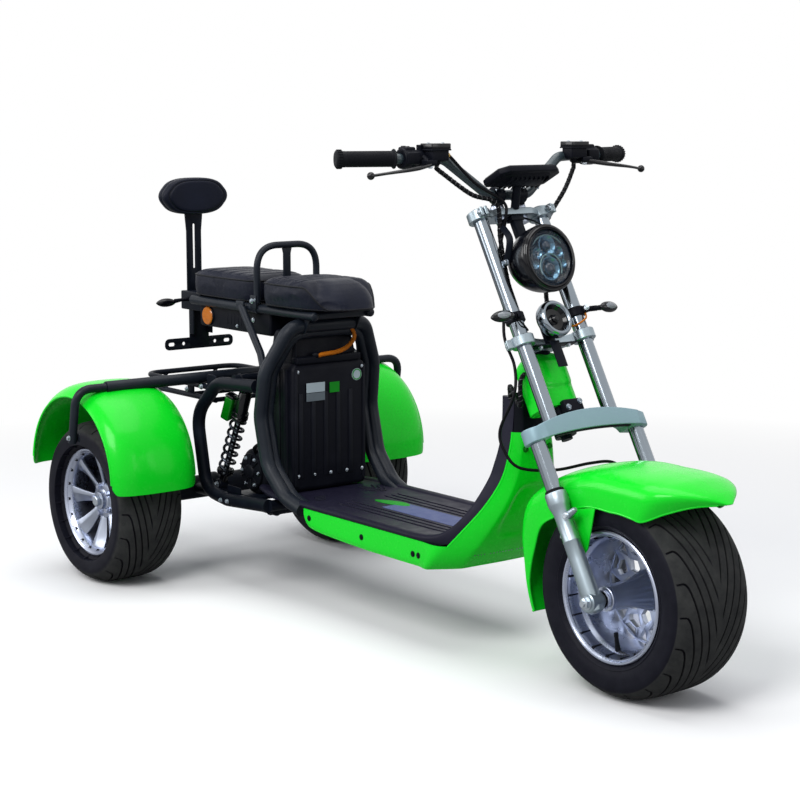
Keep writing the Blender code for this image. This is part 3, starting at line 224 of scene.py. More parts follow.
def leather(name, colour):
    """Soft black leather: pebbled grain, fine creases, and paler patches scattered by noise, a painted sheen for where
    it is sat on.
    """
    look = Finish(name, colour, 0.42, sheen_weight=0.02, specular_ior_level=0.14)
    cells = look.node("ShaderNodeTexVoronoi", {"feature": "DISTANCE_TO_EDGE"},
                      {"Vector": look.place(), "Scale": 420.0}, "Distance")
    grain = look.ramp(cells, 0.0, 0.25)
    crease = look.ramp(look.noise(34.0, 6.0, 0.7), 0.42, 0.58)
    # paler: patches of painted sheen, mixed into the base colour by slow noise
    paler = tuple(c * 1.7 for c in colour)
    look.set("Base Color", look.mix(look.ramp(look.noise(9.0, 3.0), 0.45, 0.75) * 0.6, colour, paler))
    look.set("Roughness", 0.52 - grain * 0.1 - crease * 0.05)
    fine = look.bump(grain, 0.00025, 0.55)
    look.set("Normal", look.bump(crease, 0.0006, 0.25, fine))
    return look


def clear_pane(name, tint, roughness, share):
    """Thin clear plastic: mostly see-through, with its own gloss."""
    look = Finish(name, tint, roughness, specular_ior_level=0.6)
    look.set("Alpha", share)
    return look


def make_looks():
    colours = bpy.context.scene.trike_colours
    body, frame_coat = tuple(colours.body), tuple(colours.frame)
    LOOKS.update({
        "green": painted("green_paint", body, tuple(c * 0.8 for c in body)),
        "frame": coated("frame_coat", frame_coat, tuple(c * 2.4 for c in frame_coat), 0.4),
        "bar_coat": coated("bar_coat", (0.03, 0.046, 0.056), (0.055, 0.07, 0.08), 0.34, gloss=0.5),
        "plastic": coated("moulded_black", (0.003, 0.0036, 0.007), (0.0075, 0.0085, 0.014), 0.46, 420.0),
        "gloss": coated("gloss_black", (0.002, 0.0022, 0.004), (0.0036, 0.004, 0.007), 0.15, 200.0, 0.00002,
                        gloss=0.35),
        "mat": coated("floor_rubber", (0.0075, 0.007, 0.0175), (0.014, 0.013, 0.027), 0.46, 300.0, 0.00003, gloss=0.12),
        "grip": coated("grip_rubber", (0.0045, 0.005, 0.007), (0.01, 0.011, 0.014), 0.55, 900.0, 0.0002),
        "cable": coated("cable_black", (0.003, 0.003, 0.0045), (0.008, 0.008, 0.01), 0.42, 600.0),
        "wrap": coated("wire_wrap", (0.01, 0.011, 0.014), (0.03, 0.032, 0.038), 0.25, 600.0, gloss=0.7),
        "orange": coated("orange_sleeve", (0.56, 0.17, 0.01), (0.3, 0.09, 0.012), 0.4, 300.0),
        "amber": coated("amber_reflector", (0.52, 0.14, 0.004), (0.3, 0.07, 0.002), 0.18, 160.0, 0.0006, gloss=0.6),
        "signal_red": coated("red_button", (0.3, 0.01, 0.008), (0.2, 0.008, 0.006), 0.35),
        "silver": metal("silver_satin", (0.31, 0.37, 0.41), 0.38),
        "silver_flat": coated("silver_paint", (0.235, 0.355, 0.405), (0.26, 0.385, 0.435), 0.4,
                              500.0, 0.00008, 0.25, 0.4),
        "chrome": metal("chrome_tube", (0.27, 0.31, 0.35), 0.12),
        "alloy": metal("polished_alloy", (0.46, 0.5, 0.62), 0.24, 0.03),
        "cast": metal("cast_alloy", (0.4, 0.44, 0.53), 0.28, 0.03),
        "tyre": rubber("tyre_rubber_worn"),
        "mat_grey": coated("floor_stripe", (0.08, 0.1, 0.215), (0.095, 0.115, 0.23), 0.5, 700.0, 0.0001),
        # a copy of the body paint darkened to about a fifth: painted shade, used on the apron bolt heads and the shock
        # reservoir
        "green_painted_shade": painted("painted_shade_green", tuple(c * 0.22 for c in body), tuple(c * 0.16 for c in body)),
        "leaf_green": coated("leaf_green", (0.01, 0.26, 0.016), (0.012, 0.2, 0.02), 0.45),
        "label_pale": coated("label_pale", (0.42, 0.5, 0.54), (0.34, 0.4, 0.44), 0.5, 200.0, 0.00003),
        "label_grey": coated("label_grey", (0.14, 0.17, 0.19), (0.1, 0.12, 0.14), 0.5, 200.0, 0.00003),
        "mat_rib": coated("floor_rib", (0.01, 0.011, 0.019), (0.018, 0.018, 0.028), 0.45, 700.0, 0.0001),
        "gloss_soft": coated("battery_rib", (0.0075, 0.0085, 0.013), (0.014, 0.015, 0.021), 0.4, 300.0, 0.00005),
        "tube_grey": coated("tube_satin", (0.006, 0.009, 0.015), (0.013, 0.018, 0.026), 0.4, 700.0, 0.00008, gloss=0.2),
        "motor_black": coated("motor_cast", (0.005, 0.0058, 0.009), (0.014, 0.015, 0.02), 0.5, 240.0, 0.0004),
        "thread": coated("seat_thread", (0.012, 0.014, 0.026), (0.02, 0.022, 0.035), 0.6),
        "leather": leather("seat_leather", (0.0022, 0.0036, 0.011)),
        "leather_dark": leather("seat_piping", (0.002, 0.0025, 0.005)),
        "steel": metal("zinc_bolt", (0.5, 0.55, 0.6), 0.28),
        "brass": metal("brass_fitting", (0.42, 0.28, 0.09), 0.3),
        "dark_steel": metal("dark_spring", (0.035, 0.04, 0.05), 0.22),
        "glass_black": coated("display_glass", (0.004, 0.006, 0.012), (0.006, 0.009, 0.016), 0.06, 60.0, 0.00001,
                              gloss=0.6),
        "lamp_dark": coated("lamp_inside", (0.006, 0.012, 0.022), (0.01, 0.018, 0.03), 0.2, gloss=0.5),
        "lamp_mirror": metal("lamp_mirror", (0.16, 0.3, 0.42), 0.14),
        "lamp_glass": coated("lamp_bulb", (0.01, 0.03, 0.06), (0.02, 0.045, 0.08), 0.05, 60.0, 0.00001, gloss=0.9),
        "lamp_guide": coated("lamp_guide", (0.2, 0.34, 0.36), (0.26, 0.42, 0.4), 0.22, gloss=0.6),
        "lens": clear_pane("lamp_lens", (0.03, 0.05, 0.08), 0.03, 0.16),
        "pane": clear_pane("signal_pane", (0.3, 0.33, 0.36), 0.08, 0.72),
    })


# Meshes, in the same places as the solids but measured from the rear axle

MERGE = 0.000005


def around(count):
    """Evenly spaced angles of a full turn."""
    return [2 * math.pi * k / count for k in range(count)]


def turning(degrees, axis):
    return Matrix.Rotation(math.radians(degrees), 4, axis)


def skin(rings, round_ring=True, capped=True, looped=False):
    """Faces through rows of points. Each row has the same count."""
    shape = bmesh.new()
    rows = [[shape.verts.new(p) for p in ring] for ring in rings]
    count = len(rows[0])
    pairs = list(zip(rows, rows[1:]))
    if looped:
        pairs.append((rows[-1], rows[0]))
    for low, high in pairs:
        for i in range(count if round_ring else count - 1):
            j = (i + 1) % count
            shape.faces.new((low[i], low[j], high[j], high[i]))
    if capped and round_ring and not looped:
        shape.faces.new(rows[0])
        shape.faces.new(rows[-1])
    bmesh.ops.remove_doubles(shape, verts=shape.verts, dist=MERGE)
    bmesh.ops.recalc_face_normals(shape, faces=shape.faces)
    return shape


def bent(points, radius, steps=8):
    """Straight runs with a round bend at each inner point."""
    points = [Vector(p) for p in points]
    path = [points[0]]
    for before, corner, after in zip(points, points[1:], points[2:]):
        back = (before - corner).normalized()
        ahead = (after - corner).normalized()
        half = back.angle(ahead) / 2
        reach = min(radius / math.tan(half), (before - corner).length * 0.49, (after - corner).length * 0.49)
        start = corner + back * reach
        end = corner + ahead * reach
        for step in range(steps + 1):
            t = step / steps
            path.append(start.lerp(corner, t).lerp(corner.lerp(end, t), t))
    path.append(points[-1])
    return path


def flowing(points, steps=8):
    """A smooth curve through every point."""
    points = [Vector(p) for p in points]
    ends = [points[0] * 2 - points[1]] + points + [points[-1] * 2 - points[-2]]
    path = []
    for a, b, c, d in zip(ends, ends[1:], ends[2:], ends[3:]):
        for step in range(steps):
            t = step / steps
            path.append(0.5 * (
                2 * b + (c - a) * t + (2 * a - 5 * b + 4 * c - d) * t * t + (3 * b - a - 3 * c + d) * t ** 3
            ))
    path.append(points[-1])
    return path


def swept(path, radius, sides=20, flat=1.0, looped=False):
    """A tube along a path. radius is one number or one for each point; flat squeezes the section."""
    path = [Vector(p) for p in path]
    radii = radius if isinstance(radius, (list, tuple)) else [radius] * len(path)
    runs = [(b - a).normalized() for a, b in zip(path, path[1:])]
    runs.append((path[0] - path[-1]).normalized() if looped else runs[-1])
    up = Vector((0, 0, 1)) if abs(runs[0].z) < 0.9 else Vector((1, 0, 0))
    side = runs[0].cross(up).normalized()
    rings = []
    for i, point in enumerate(path):
        if i == 0:
            tangent = (runs[0] + runs[-1]).normalized() if looped else runs[0]
        else:
            tangent = (runs[i - 1] + runs[i]).normalized()
        side = (side - tangent * side.dot(tangent)).normalized()
        other = tangent.cross(side)
        rings.append([
            point + (side * math.cos(a) + other * math.sin(a) * flat) * radii[i] for a in around(sides)
        ])
    return skin(rings, looped=looped)


def rod(start, end, radius, end_radius=None, sides=24):
    return swept([start, end], [radius, radius if end_radius is None else end_radius], sides)


def turned(profile, steps=48, at=(0, 0, 0), axis="Y", closed=False):
    """Profile of (radius, along) turned about an axis through a point."""
    rings = [[(r * math.cos(a), along, r * math.sin(a)) for r, along in profile] for a in around(steps)]
    shape = skin(rings, round_ring=closed, looped=True)
    bmesh.ops.dissolve_degenerate(shape, dist=MERGE / 5, edges=shape.edges)
    bmesh.ops.recalc_face_normals(shape, faces=shape.faces)
    turn = {"X": turning(-90, "Z"), "Y": Matrix.Identity(4), "Z": turning(90, "X")}[axis]
    return moved(shape, Matrix.Translation(at) @ turn)


def moved(shape, matrix):
    bmesh.ops.transform(shape, matrix=matrix, verts=shape.verts)
    if matrix.determinant() < 0:
        bmesh.ops.reverse_faces(shape, faces=shape.faces)
    return shape


def block(size, centre, bevel=0.002, segments=3, turn=None):
    shape = bmesh.new()
    bmesh.ops.create_cube(shape, size=1.0)
    bmesh.ops.scale(shape, verts=shape.verts, vec=size)
    if bevel:
        edges = shape.edges[:]
        bmesh.ops.bevel(shape, geom=edges, offset=bevel, segments=segments, affect="EDGES", profile=0.5)
    if turn:
        bmesh.ops.transform(shape, matrix=turn, verts=shape.verts)
    return moved(shape, Matrix.Translation(centre))


def ball(centre, size, divisions=20):
    shape = bmesh.new()
    bmesh.ops.create_uvsphere(shape, u_segments=divisions, v_segments=divisions // 2 + 2, radius=1.0)
    bmesh.ops.scale(shape, verts=shape.verts, vec=size)
    return moved(shape, Matrix.Translation(centre))


def plate(outline, low, high, bevel=0.0015, segments=2):
    """A flat outline of (x, y) pairs with thickness from low to high along Z, its rims rounded."""
    shape = skin([[(x, y, low) for x, y in outline], [(x, y, high) for x, y in outline]])
    if bevel:
        rims = [e for e in shape.edges if abs(e.verts[0].co.z - e.verts[1].co.z) < 1e-7]
        bmesh.ops.bevel(shape, geom=rims, offset=bevel, segments=segments, affect="EDGES", profile=0.5)
    return shape


def mirrored(shape):
    copy = shape.copy()
    bmesh.ops.transform(copy, matrix=Matrix.Scale(-1, 4, (0, 1, 0)), verts=copy.verts)
    bmesh.ops.reverse_faces(copy, faces=copy.faces)
    return copy


def as_object(shape):
    mesh = bpy.data.meshes.new("draft")
    shape.to_mesh(mesh)
    shape.free()
    piece = bpy.data.objects.new("draft", mesh)
    bpy.context.scene.collection.objects.link(piece)
    return piece


def changed(shape, kind, **settings):
    """The shape after one modifier."""
    piece = as_object(shape)
    change = piece.modifiers.new("change", kind)
    for key, value in settings.items():
        setattr(change, key, value)
    return as_shape(piece)


def wall(shape, thickness):
    """Gives an open skin a wall that grows to its inner side."""
    return changed(shape, "SOLIDIFY", thickness=thickness, offset=-1.0, use_even_offset=False)


def as_shape(piece):
    """The evaluated mesh of an object, which is then removed."""
    bpy.context.view_layer.update()
    graph = bpy.context.evaluated_depsgraph_get()
    mesh = bpy.data.meshes.new_from_object(piece.evaluated_get(graph))
    shape = bmesh.new()
    shape.from_mesh(mesh)
    bpy.data.objects.remove(piece, do_unlink=True)
    bpy.data.meshes.remove(mesh)
    return shape


def carved(shape, cutter):
    """The shape less the cutter."""
    tool = as_object(cutter)
    result = changed(shape, "BOOLEAN", operation="DIFFERENCE", solver="EXACT", object=tool)
    bpy.data.objects.remove(tool, do_unlink=True)
    return result


def gathered(shapes):
    whole = bmesh.new()
    for shape in shapes:
        mesh = bpy.data.meshes.new("part")
        shape.to_mesh(mesh)
        shape.free()
        whole.from_mesh(mesh)
        bpy.data.meshes.remove(mesh)
    return whole


# Geometry trees for what repeats

class Growth:
    """A geometry tree with named inputs, which turns a shape into a plain shape."""

    def __init__(self, name):
        self.tree = bpy.data.node_groups.new(name, "GeometryNodeTree")
        self.tree.interface.new_socket("Shape", in_out="OUTPUT", socket_type="NodeSocketGeometry")
        self.entry = self.tree.nodes.new("NodeGroupInput")
        self.exit = self.tree.nodes.new("NodeGroupOutput")
        self.identifiers = {}
        self.base = self.input("Shape", "Geometry")

    def input(self, name, kind):
        made = self.tree.interface.new_socket(name, in_out="INPUT", socket_type="NodeSocket" + kind)
        self.identifiers[name] = made.identifier
        return self.entry.outputs[name]

    def node(self, kind, settings=None, inputs=None, output=0):
        made = self.tree.nodes.new(kind)
        for key, value in (settings or {}).items():
            setattr(made, key, value)
        for key, value in (inputs or {}).items():
            if isinstance(value, bpy.types.NodeSocket):
                self.tree.links.new(value, made.inputs[key])
            else:
                made.inputs[key].default_value = value
        return made.outputs[output]

    def copies(self, points, rotation):
        item = self.node("GeometryNodeObjectInfo", None, {"Object": self.input("Item", "Object")}, "Geometry")
        inputs = {"Points": points, "Instance": item, "Rotation": rotation}
        self.close(self.node("GeometryNodeInstanceOnPoints", None, inputs))

    def close(self, result):
        real = self.node("GeometryNodeRealizeInstances", None, {0: result})
        look = self.input("Look", "Material")
        done = self.node("GeometryNodeSetMaterial", None, {"Geometry": real, "Material": look})
        self.tree.links.new(done, self.exit.inputs[0])

    def run(self, base=None, **values):
        holder = as_object(base or bmesh.new())
        change = holder.modifiers.new("grow", "NODES")
        change.node_group = self.tree
        items = []
        for name, value in values.items():
            if isinstance(value, bmesh.types.BMesh):
                value = as_object(value)
                items.append(value)
            change[self.identifiers[name]] = value
        shape = as_shape(holder)
        for item in items:
            bpy.data.objects.remove(item, do_unlink=True)
        return shape


GROWTHS = {}


def make_growths():
    ring = Growth("ring_of_copies")
    points = ring.node("GeometryNodeMeshLine", None, {
        "Count": ring.input("Count", "Int"), "Offset": (0.0, 0.0, 0.0),
    })
    index = ring.node("GeometryNodeInputIndex")
    angle = ring.node("ShaderNodeMath", {"operation": "MULTIPLY"}, {0: index, 1: ring.input("Step", "Float")})
    ring.copies(points, ring.node("ShaderNodeCombineXYZ", None, {"Y": angle}))
    GROWTHS["ring"] = ring

    row = Growth("row_of_copies")
    points = row.node("GeometryNodeMeshLine", None, {
        "Count": row.input("Count", "Int"), "Start Location": row.input("Start", "Vector"),
        "Offset": row.input("Step", "Vector"),
    })
    row.copies(points, (0.0, 0.0, 0.0))
    GROWTHS["row"] = row

    spots = Growth("copies_at_spots")
    spots.copies(spots.base, spots.input("Turn", "Vector"))
    GROWTHS["spots"] = spots

    path = Growth("copies_along_path")
    curve = path.node("GeometryNodeMeshToCurve", None, {"Mesh": path.base})
    even = path.node("GeometryNodeResampleCurve", {"mode": "LENGTH"}, {
        "Curve": curve, "Length": path.input("Spacing", "Float"),
    })
    along = path.node("GeometryNodeInputTangent")
    aligned = path.node("FunctionNodeAlignRotationToVector", {"axis": "Z"}, {"Vector": along})
    path.copies(even, aligned)
    GROWTHS["path"] = path

    coil = Growth("wound_coil")
    helix = coil.node("GeometryNodeCurveSpiral", None, {
        "Resolution": 20, "Rotations": coil.input("Turns", "Float"), "Height": coil.input("Height", "Float"),
    })
    spread = coil.input("Radius", "Float")
    for name in ("Start Radius", "End Radius"):
        coil.tree.links.new(spread, helix.node.inputs[name])
    wire = coil.node("GeometryNodeCurvePrimitiveCircle", None, {
        "Resolution": 8, "Radius": coil.input("Wire", "Float"),
    })
    coil.close(coil.node("GeometryNodeCurveToMesh", None, {
        "Curve": helix, "Profile Curve": wire, "Fill Caps": True,
    }))
    GROWTHS["coil"] = coil


def ringed(item, count, at=(0, 0, 0)):
    """Copies about the Y axis."""
    shape = GROWTHS["ring"].run(Item=item, Count=count, Step=2 * math.pi / count)
    return moved(shape, Matrix.Translation(at))


def rowed(item, count, start, step):
    return GROWTHS["row"].run(Item=item, Count=count, Start=tuple(map(float, start)), Step=tuple(map(float, step)))


def spotted(item, spots, turn=(0.0, 0.0, 0.0)):
    base = bmesh.new()
    for spot in spots:
        base.verts.new(spot)
    return GROWTHS["spots"].run(base, Item=item, Turn=tuple(map(float, turn)))


def along_path(item, points, spacing):
    base = bmesh.new()
    row = [base.verts.new(p) for p in points]
    for a, b in zip(row, row[1:]):
        base.edges.new((a, b))
    return GROWTHS["path"].run(base, Item=item, Spacing=float(spacing))


def coiled(turns, radius, height, wire):
    """A helix up the Z axis from the origin."""
    return GROWTHS["coil"].run(Turns=float(turns), Radius=float(radius), Height=float(height), Wire=float(wire))


def bolt(radius, height, hexed=True, socket=True):
    """Bolt head that stands up along Z on a thin washer."""
    sides = 6 if hexed else 20
    washer = turned([(0, 0), (radius * 1.35, 0), (radius * 1.35, radius * 0.18), (0, radius * 0.18)], 20, axis="Z")
    low = radius * 0.18
    head = swept([(0, 0, low), (0, 0, low + height * 0.85), (0, 0, low + height)],
                 [radius, radius, radius * 0.86], sides)
    shapes = [washer, head]
    if socket:
        top = low + height
        dish = [(radius * 0.62, top), (radius * 0.62, top + radius * 0.12), (radius * 0.42, top + radius * 0.12),
                (radius * 0.36, top - height * 0.2), (0, top - height * 0.2)]
        shapes.append(turned(dish + [(0, top - height * 0.3), (radius * 0.6, top - height * 0.3)], 18, axis="Z"))
    return gathered(shapes)


def facing(direction):
    """Euler turn that takes +Z to a direction."""
    return Vector(direction).to_track_quat("Z", "Y").to_euler()


def finished(name, parts, body, replaces, sharp=38):
    """Joins parts, each (shape, look), into one piece that rides on a body."""
    looks = list(dict.fromkeys(look for shape, look in parts))
    for shape, look in parts:
        for face in shape.faces:
            face.material_index = looks.index(look)
    whole = gathered([shape for shape, look in parts])
    bmesh.ops.transform(whole, matrix=Matrix.Translation((-MIDDLE_X, 0, 0)), verts=whole.verts)
    mesh = bpy.data.meshes.new(name)
    whole.to_mesh(mesh)
    whole.free()
    for look in looks:
        mesh.materials.append(LOOKS[look].made)
    mesh.shade_smooth()
    mesh.set_sharp_from_angle(angle=math.radians(sharp))
    piece = bpy.data.objects.new(name, mesh)
    bpy.context.scene.collection.objects.link(piece)
    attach(piece, body)
    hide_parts(*replaces)
    return piece


def dressed(name, parts, body, sharp=38, word=""):
    """A piece that stands for the solid of its own name."""
    end = "_" + word if word else ""
    return finished(name + "_dressed" + end, parts, body, [name + end], sharp)


# Wheels

TREAD_REPEATS = 19
TREAD_RUN = 1.3
GROOVE_WIDTH = 0.0046
GROOVE_DEPTH = 0.0062
TREAD_EDGE = 0.0045
CROWN_DROP = 0.026
CROWN_POWER = 4.5


def tyre_shape(outer_r, half, rim_half):
    """Columns of faces lean with the tread, so that each hooked groove is a sunk strip of them."""
    bead = rim_half - 0.0053
    hook = half - 0.024
    soft = 0.007

    def crown(y):
        return outer_r - CROWN_DROP * (abs(y) / half) ** CROWN_POWER

    def lean(y):
        inward = hook - abs(y)
        if inward < -soft:
            eased, slope = 0.0, 0.0
        elif inward < soft:
            eased, slope = (inward + soft) ** 2 / (4 * soft), (inward + soft) / (2 * soft)
        else:
            eased, slope = inward, 1.0
        return TREAD_RUN / hook * eased, TREAD_RUN / hook * slope

    ys = [0.0, 0.0025, 0.005, 0.0075, 0.01]
    while ys[-1] < hook - 0.012:
        ys.append(ys[-1] + 0.0034)
    while ys[-1] < half - TREAD_EDGE:
        ys.append(ys[-1] + 0.0016)
    tread = [(crown(y), y) for y in ys]
    side = [
        (outer_r - 0.0285, half - 0.0006), (outer_r - 0.036, half), (outer_r - 0.05, half),
        (outer_r - 0.058, half - 0.0015), (0.1495, bead + 0.0075), (0.148, bead + 0.0085),
        (0.1455, bead + 0.0068), (0.1415, bead + 0.003), (0.139, bead), (RIM_SEAT_R, bead),
    ]
    rows = [(r, -y) for r, y in reversed(tread + side)] + tread[1:] + side
    pitch = 2 * math.pi / TREAD_REPEATS
    shape = bmesh.new()
    worn = shape.verts.layers.float.new("worn")
    rings = []
    for r, y in rows:
        shift, slope = lean(y) if abs(y) <= half - TREAD_EDGE else (0.0, 0.0)
        reach = GROOVE_WIDTH / 2 * math.sqrt(1 + (r * slope) ** 2) / r
        tilt = math.atan2(CROWN_DROP * CROWN_POWER * (abs(y) / half) ** (CROWN_POWER - 1) / half, 1.0)
        inward = Vector((-math.cos(tilt), -math.sin(tilt) * math.copysign(1.0, y)))
        mask = min(1.0, max(0.0, (half - 0.007 - abs(y)) / 0.004)) * min(1.0, max(0.0, (abs(y) - 0.006) / 0.004))
        on_tread = abs(y) < half - 0.004 and r > outer_r - 0.027
        ring = []
        for k in range(TREAD_REPEATS * 2):
            centre = k * pitch / 2
            own_side = (k % 2 == 0) == (y < 0)
            for offset, sunk in ((-1.0, 0.0), (-0.62, 1.0), (0.0, 1.0), (0.62, 1.0), (1.0, 0.0)):
                angle = centre + offset * reach - shift
                depth = GROOVE_DEPTH * sunk * mask if own_side else 0.0
                ring.append((angle, r + inward.x * depth, y + inward.y * depth, 0.0 if depth > 0.001 else 1.0))
            gap = pitch / 2 - 2 * reach
            for share in (0.33, 0.67):
                ring.append((centre + reach + gap * share - shift, r, y, 1.0))
        row = []
        for angle, radius, across, top in ring:
            vert = shape.verts.new((radius * math.cos(angle), across, radius * math.sin(angle)))
            vert[worn] = top if on_tread else 0.0
            row.append(vert)
        rings.append(row)
    count = len(rings[0])
    for low, high in zip(rings, rings[1:] + rings[:1]):
        for i in range(count):
            j = (i + 1) % count
            shape.faces.new((low[i], low[j], high[j], high[i]))
    bmesh.ops.recalc_face_normals(shape, faces=shape.faces)
    return shape


def barrel(profile):
    return turned(profile, 96, closed=True)


def sector_cutter(points, low, high):
    """A window through a web, from (radius, degrees) corners."""
    outline = [(r * math.cos(math.radians(a)), r * math.sin(math.radians(a))) for r, a in points]
    return skin([[(x, low, z) for x, z in outline], [(x, high, z) for x, z in outline]])


def arc(radius, start, end, steps=5):
    return [(radius, start + (end - start) * i / steps) for i in range(steps + 1)]


LATTICE = 9
WEB_Y = 0.03


def front_rim():
    lip = FRONT_RIM_HALF
    inner = [
        (0.1358, -lip), (0.1322, -lip), (0.1296, -lip + 0.003), (0.1262, -lip + 0.0095),
        (0.1246, -lip + 0.015), (0.124, -0.068), (0.1222, -0.065), (0.1178, -0.06), (0.116, -0.056),
        (0.115, 0.012), (0.117, 0.02), (0.119, 0.029), (0.1215, 0.045),
        (0.124, 0.07), (0.1262, lip - 0.0095), (0.1322, lip), (0.1358, lip),
    ]
    outer = [
        (0.138, lip - 0.0022), (RIM_FLANGE_R, lip - 0.005), (0.1268, lip - 0.0052),
        (0.1268, -lip + 0.0052), (RIM_FLANGE_R, -lip + 0.005), (0.138, -lip + 0.0022),
    ]
    web = [(0.04, WEB_Y - 0.006), (0.119, WEB_Y - 0.006), (0.119, WEB_Y + 0.006), (0.04, WEB_Y + 0.006)]
    step = 360 / LATTICE
    half = step / 2
    low, high = WEB_Y - 0.03, WEB_Y + 0.03
    windows = [
        sector_cutter([(0.048, half - 9), (0.048, half + 9), (0.065, half + 13), (0.081, half), (0.065, half - 13)],
                      low, high),
        sector_cutter([(0.07, 0.0), (0.09, -12.5), (0.099, -7), (0.099, 7), (0.09, 12.5)], low, high),
        sector_cutter([(0.087, half), *arc(0.115, half - 6, half + 6, 3)], low, high),
        sector_cutter([(0.1035, -5.5), *arc(0.115, -9.5, 9.5, 4), (0.1035, 5.5)], low, high),
    ]
    web = carved(turned(web, 72, closed=True), ringed(gathered(windows), LATTICE))
    web = smoothed_rims(web, 0.0012)
    cone = []
    for r, y in (
        (0.0455, 0.024), (0.044, 0.015), (0.039, 0.0), (0.033, -0.018), (0.0285, -0.034),
        (0.0252, -0.048), (0.0236, -0.06), (0.023, -0.076), (0.0228, -0.1),
    ):
        share = min(1.0, max(0.0, (y + 0.06) / 0.07))
        ring = []
        for a in around(160):
            flute = 1 - 0.085 * share * (0.5 + 0.5 * math.cos(16 * a)) ** 0.7
            ring.append((r * flute * math.cos(a), y, r * flute * math.sin(a)))
        cone.append(ring)
    hub = skin(cone)
    ends = turned([
        (0.0091, -0.1165), (0.019, -0.1165), (0.02, -0.115), (0.02, -0.111), (0.025, -0.11),
        (0.0262, -0.1085), (0.0262, -0.102), (0.025, -0.1005), (0.0228, -0.099), (0.0091, -0.099),
    ], 48, closed=True)
    back = turned([
        (0.0091, 0.03), (0.0455, 0.03), (0.044, 0.042), (0.038, 0.05), (0.03, 0.056),
        (0.024, 0.07), (0.0235, 0.108), (0.02, 0.111), (0.019, 0.1165), (0.0091, 0.1165),
    ], 64, closed=True)
    seal = turned([(0.0088, -0.115), (0.0165, -0.115), (0.0165, -0.1172), (0.0088, -0.1172)], 36, closed=True)
    valve = gathered([
        rod((0.118, -0.058, 0), (0.088, -0.066, 0), 0.0058, 0.0042, 16),
        rod((0.088, -0.066, 0), (0.08, -0.068, 0), 0.0048, None, 16),
    ])
    valve = moved(valve, turning(95, "Y"))
    bolts = ringed(moved(bolt(0.0042, 0.004), Matrix.Translation((0.0405, WEB_Y - 0.0062, 0)) @
                   turning(90, "X")), 5)
    return [
        (barrel(inner + outer), "alloy"), (web, "cast"), (gathered([hub, back]), "cast"), (ends, "alloy"),
        (seal, "grip"), (valve, "grip"), (bolts, "steel"),
    ]


def smoothed_rims(shape, width):
    """Rounds every edge that is sharper than 30 degrees."""
    edges = [e for e in shape.edges if e.is_manifold and e.calc_face_angle(0.0) > math.radians(30)]
    bmesh.ops.bevel(shape, geom=edges, offset=width, segments=2, affect="EDGES", profile=0.5, clamp_overlap=True)
    return shape


REAR_SPOKES = 8


def rear_rim():
    """Outward is +Y. Wide twisted spokes behind a polished lip, over a black drum and a black ring out to the rim that
    is painted shadow in the spoke windows.
    """
    lip = REAR_RIM_HALF
    inner = [
        (0.1358, lip), (0.1326, lip), (0.13, lip - 0.0022), (0.1236, lip - 0.0095), (0.1205, lip - 0.0135),
        (0.119, lip - 0.02), (0.117, 0.02), (0.116, -0.05), (0.1262, -lip + 0.0095),
        (0.1322, -lip), (0.1358, -lip),
    ]
    outer = [
        (0.138, -lip + 0.0022), (RIM_FLANGE_R, -lip + 0.005), (0.1268, -lip + 0.0052),
        (0.1268, lip - 0.0052), (RIM_FLANGE_R, lip - 0.005), (0.138, lip - 0.0022),
    ]
    rings = []
    for r, half, y, twist, thick in (
        (0.036, 0.0105, 0.03, 0.001, 0.008), (0.05, 0.011, 0.0315, 0.0025, 0.008),
        (0.07, 0.013, 0.035, 0.005, 0.008), (0.092, 0.0165, 0.04, 0.0065, 0.008),
        (0.108, 0.02, 0.046, 0.006, 0.009), (0.1195, 0.0235, 0.052, 0.004, 0.01),
    ):
        rings.append([
            (r, y - twist - thick, -half), (r, y - twist, -half), (r, y - twist * 0.2, -half * 0.35),
            (r, y + twist, half * 0.25), (r, y + twist, half), (r, y + twist - thick, half),
        ])
    spoke = smoothed_rims(skin(rings), 0.0009)
    hub = turned([
        (0.0092, 0.012), (0.046, 0.012), (0.048, 0.015), (0.048, 0.027), (0.045, 0.031),
        (0.036, 0.033), (0.03, 0.033), (0.028, 0.035), (0.023, 0.036), (0.022, 0.044),
        (0.019, 0.045), (0.0092, 0.045),
    ], 56, closed=True)
    nuts = ringed(moved(bolt(0.007, 0.0085, socket=False), Matrix.Translation((0.036, 0.0325, 0.0)) @
                  turning(-90, "X")), 5)
    drum = turned([
        (0.025, -0.05), (0.085, -0.05), (0.09, -0.046), (0.09, 0.0), (0.086, 0.006),
        (0.04, 0.01), (0.025, 0.012),
    ], 56, closed=True)
    # black ring from the drum out to the rim barrel, behind the spokes: painted shadow that darkens the spoke windows
    shade = turned([
        (0.084, -0.012), (0.1164, -0.012), (0.1164, -0.006), (0.084, -0.006),
    ], 56, closed=True)
    return [
        (barrel(inner + outer), "alloy"), (ringed(spoke, REAR_SPOKES), "cast"), (hub, "cast"), (nuts, "alloy"),
        (gathered([drum, shade]), "plastic"),
    ]


def build_wheels():
    at = Matrix.Translation(AXLE)
    tyre = moved(tyre_shape(FRONT_R, FRONT_TYRE_HALF, FRONT_RIM_HALF), at)
    dressed("front_tyre", [(tyre, "tyre")], "front_wheel", 50)
    dressed("front_rim", [(moved(shape, at), look) for shape, look in front_rim()], "front_wheel")
    for side, word in SIDES:
        body = "rear_wheel_" + word
        at = Matrix.Translation((0.0, side * TRACK_HALF, REAR_R))
        out = at @ turning(180, "Z") if side < 0 else at
        tyre = moved(tyre_shape(REAR_R, REAR_TYRE_HALF, REAR_RIM_HALF), at)
        dressed("rear_tyre", [(tyre, "tyre")], body, 50, word)
        dressed("rear_rim", [(moved(shape, out), look) for shape, look in rear_rim()], body, 38, word)


# Painted panels

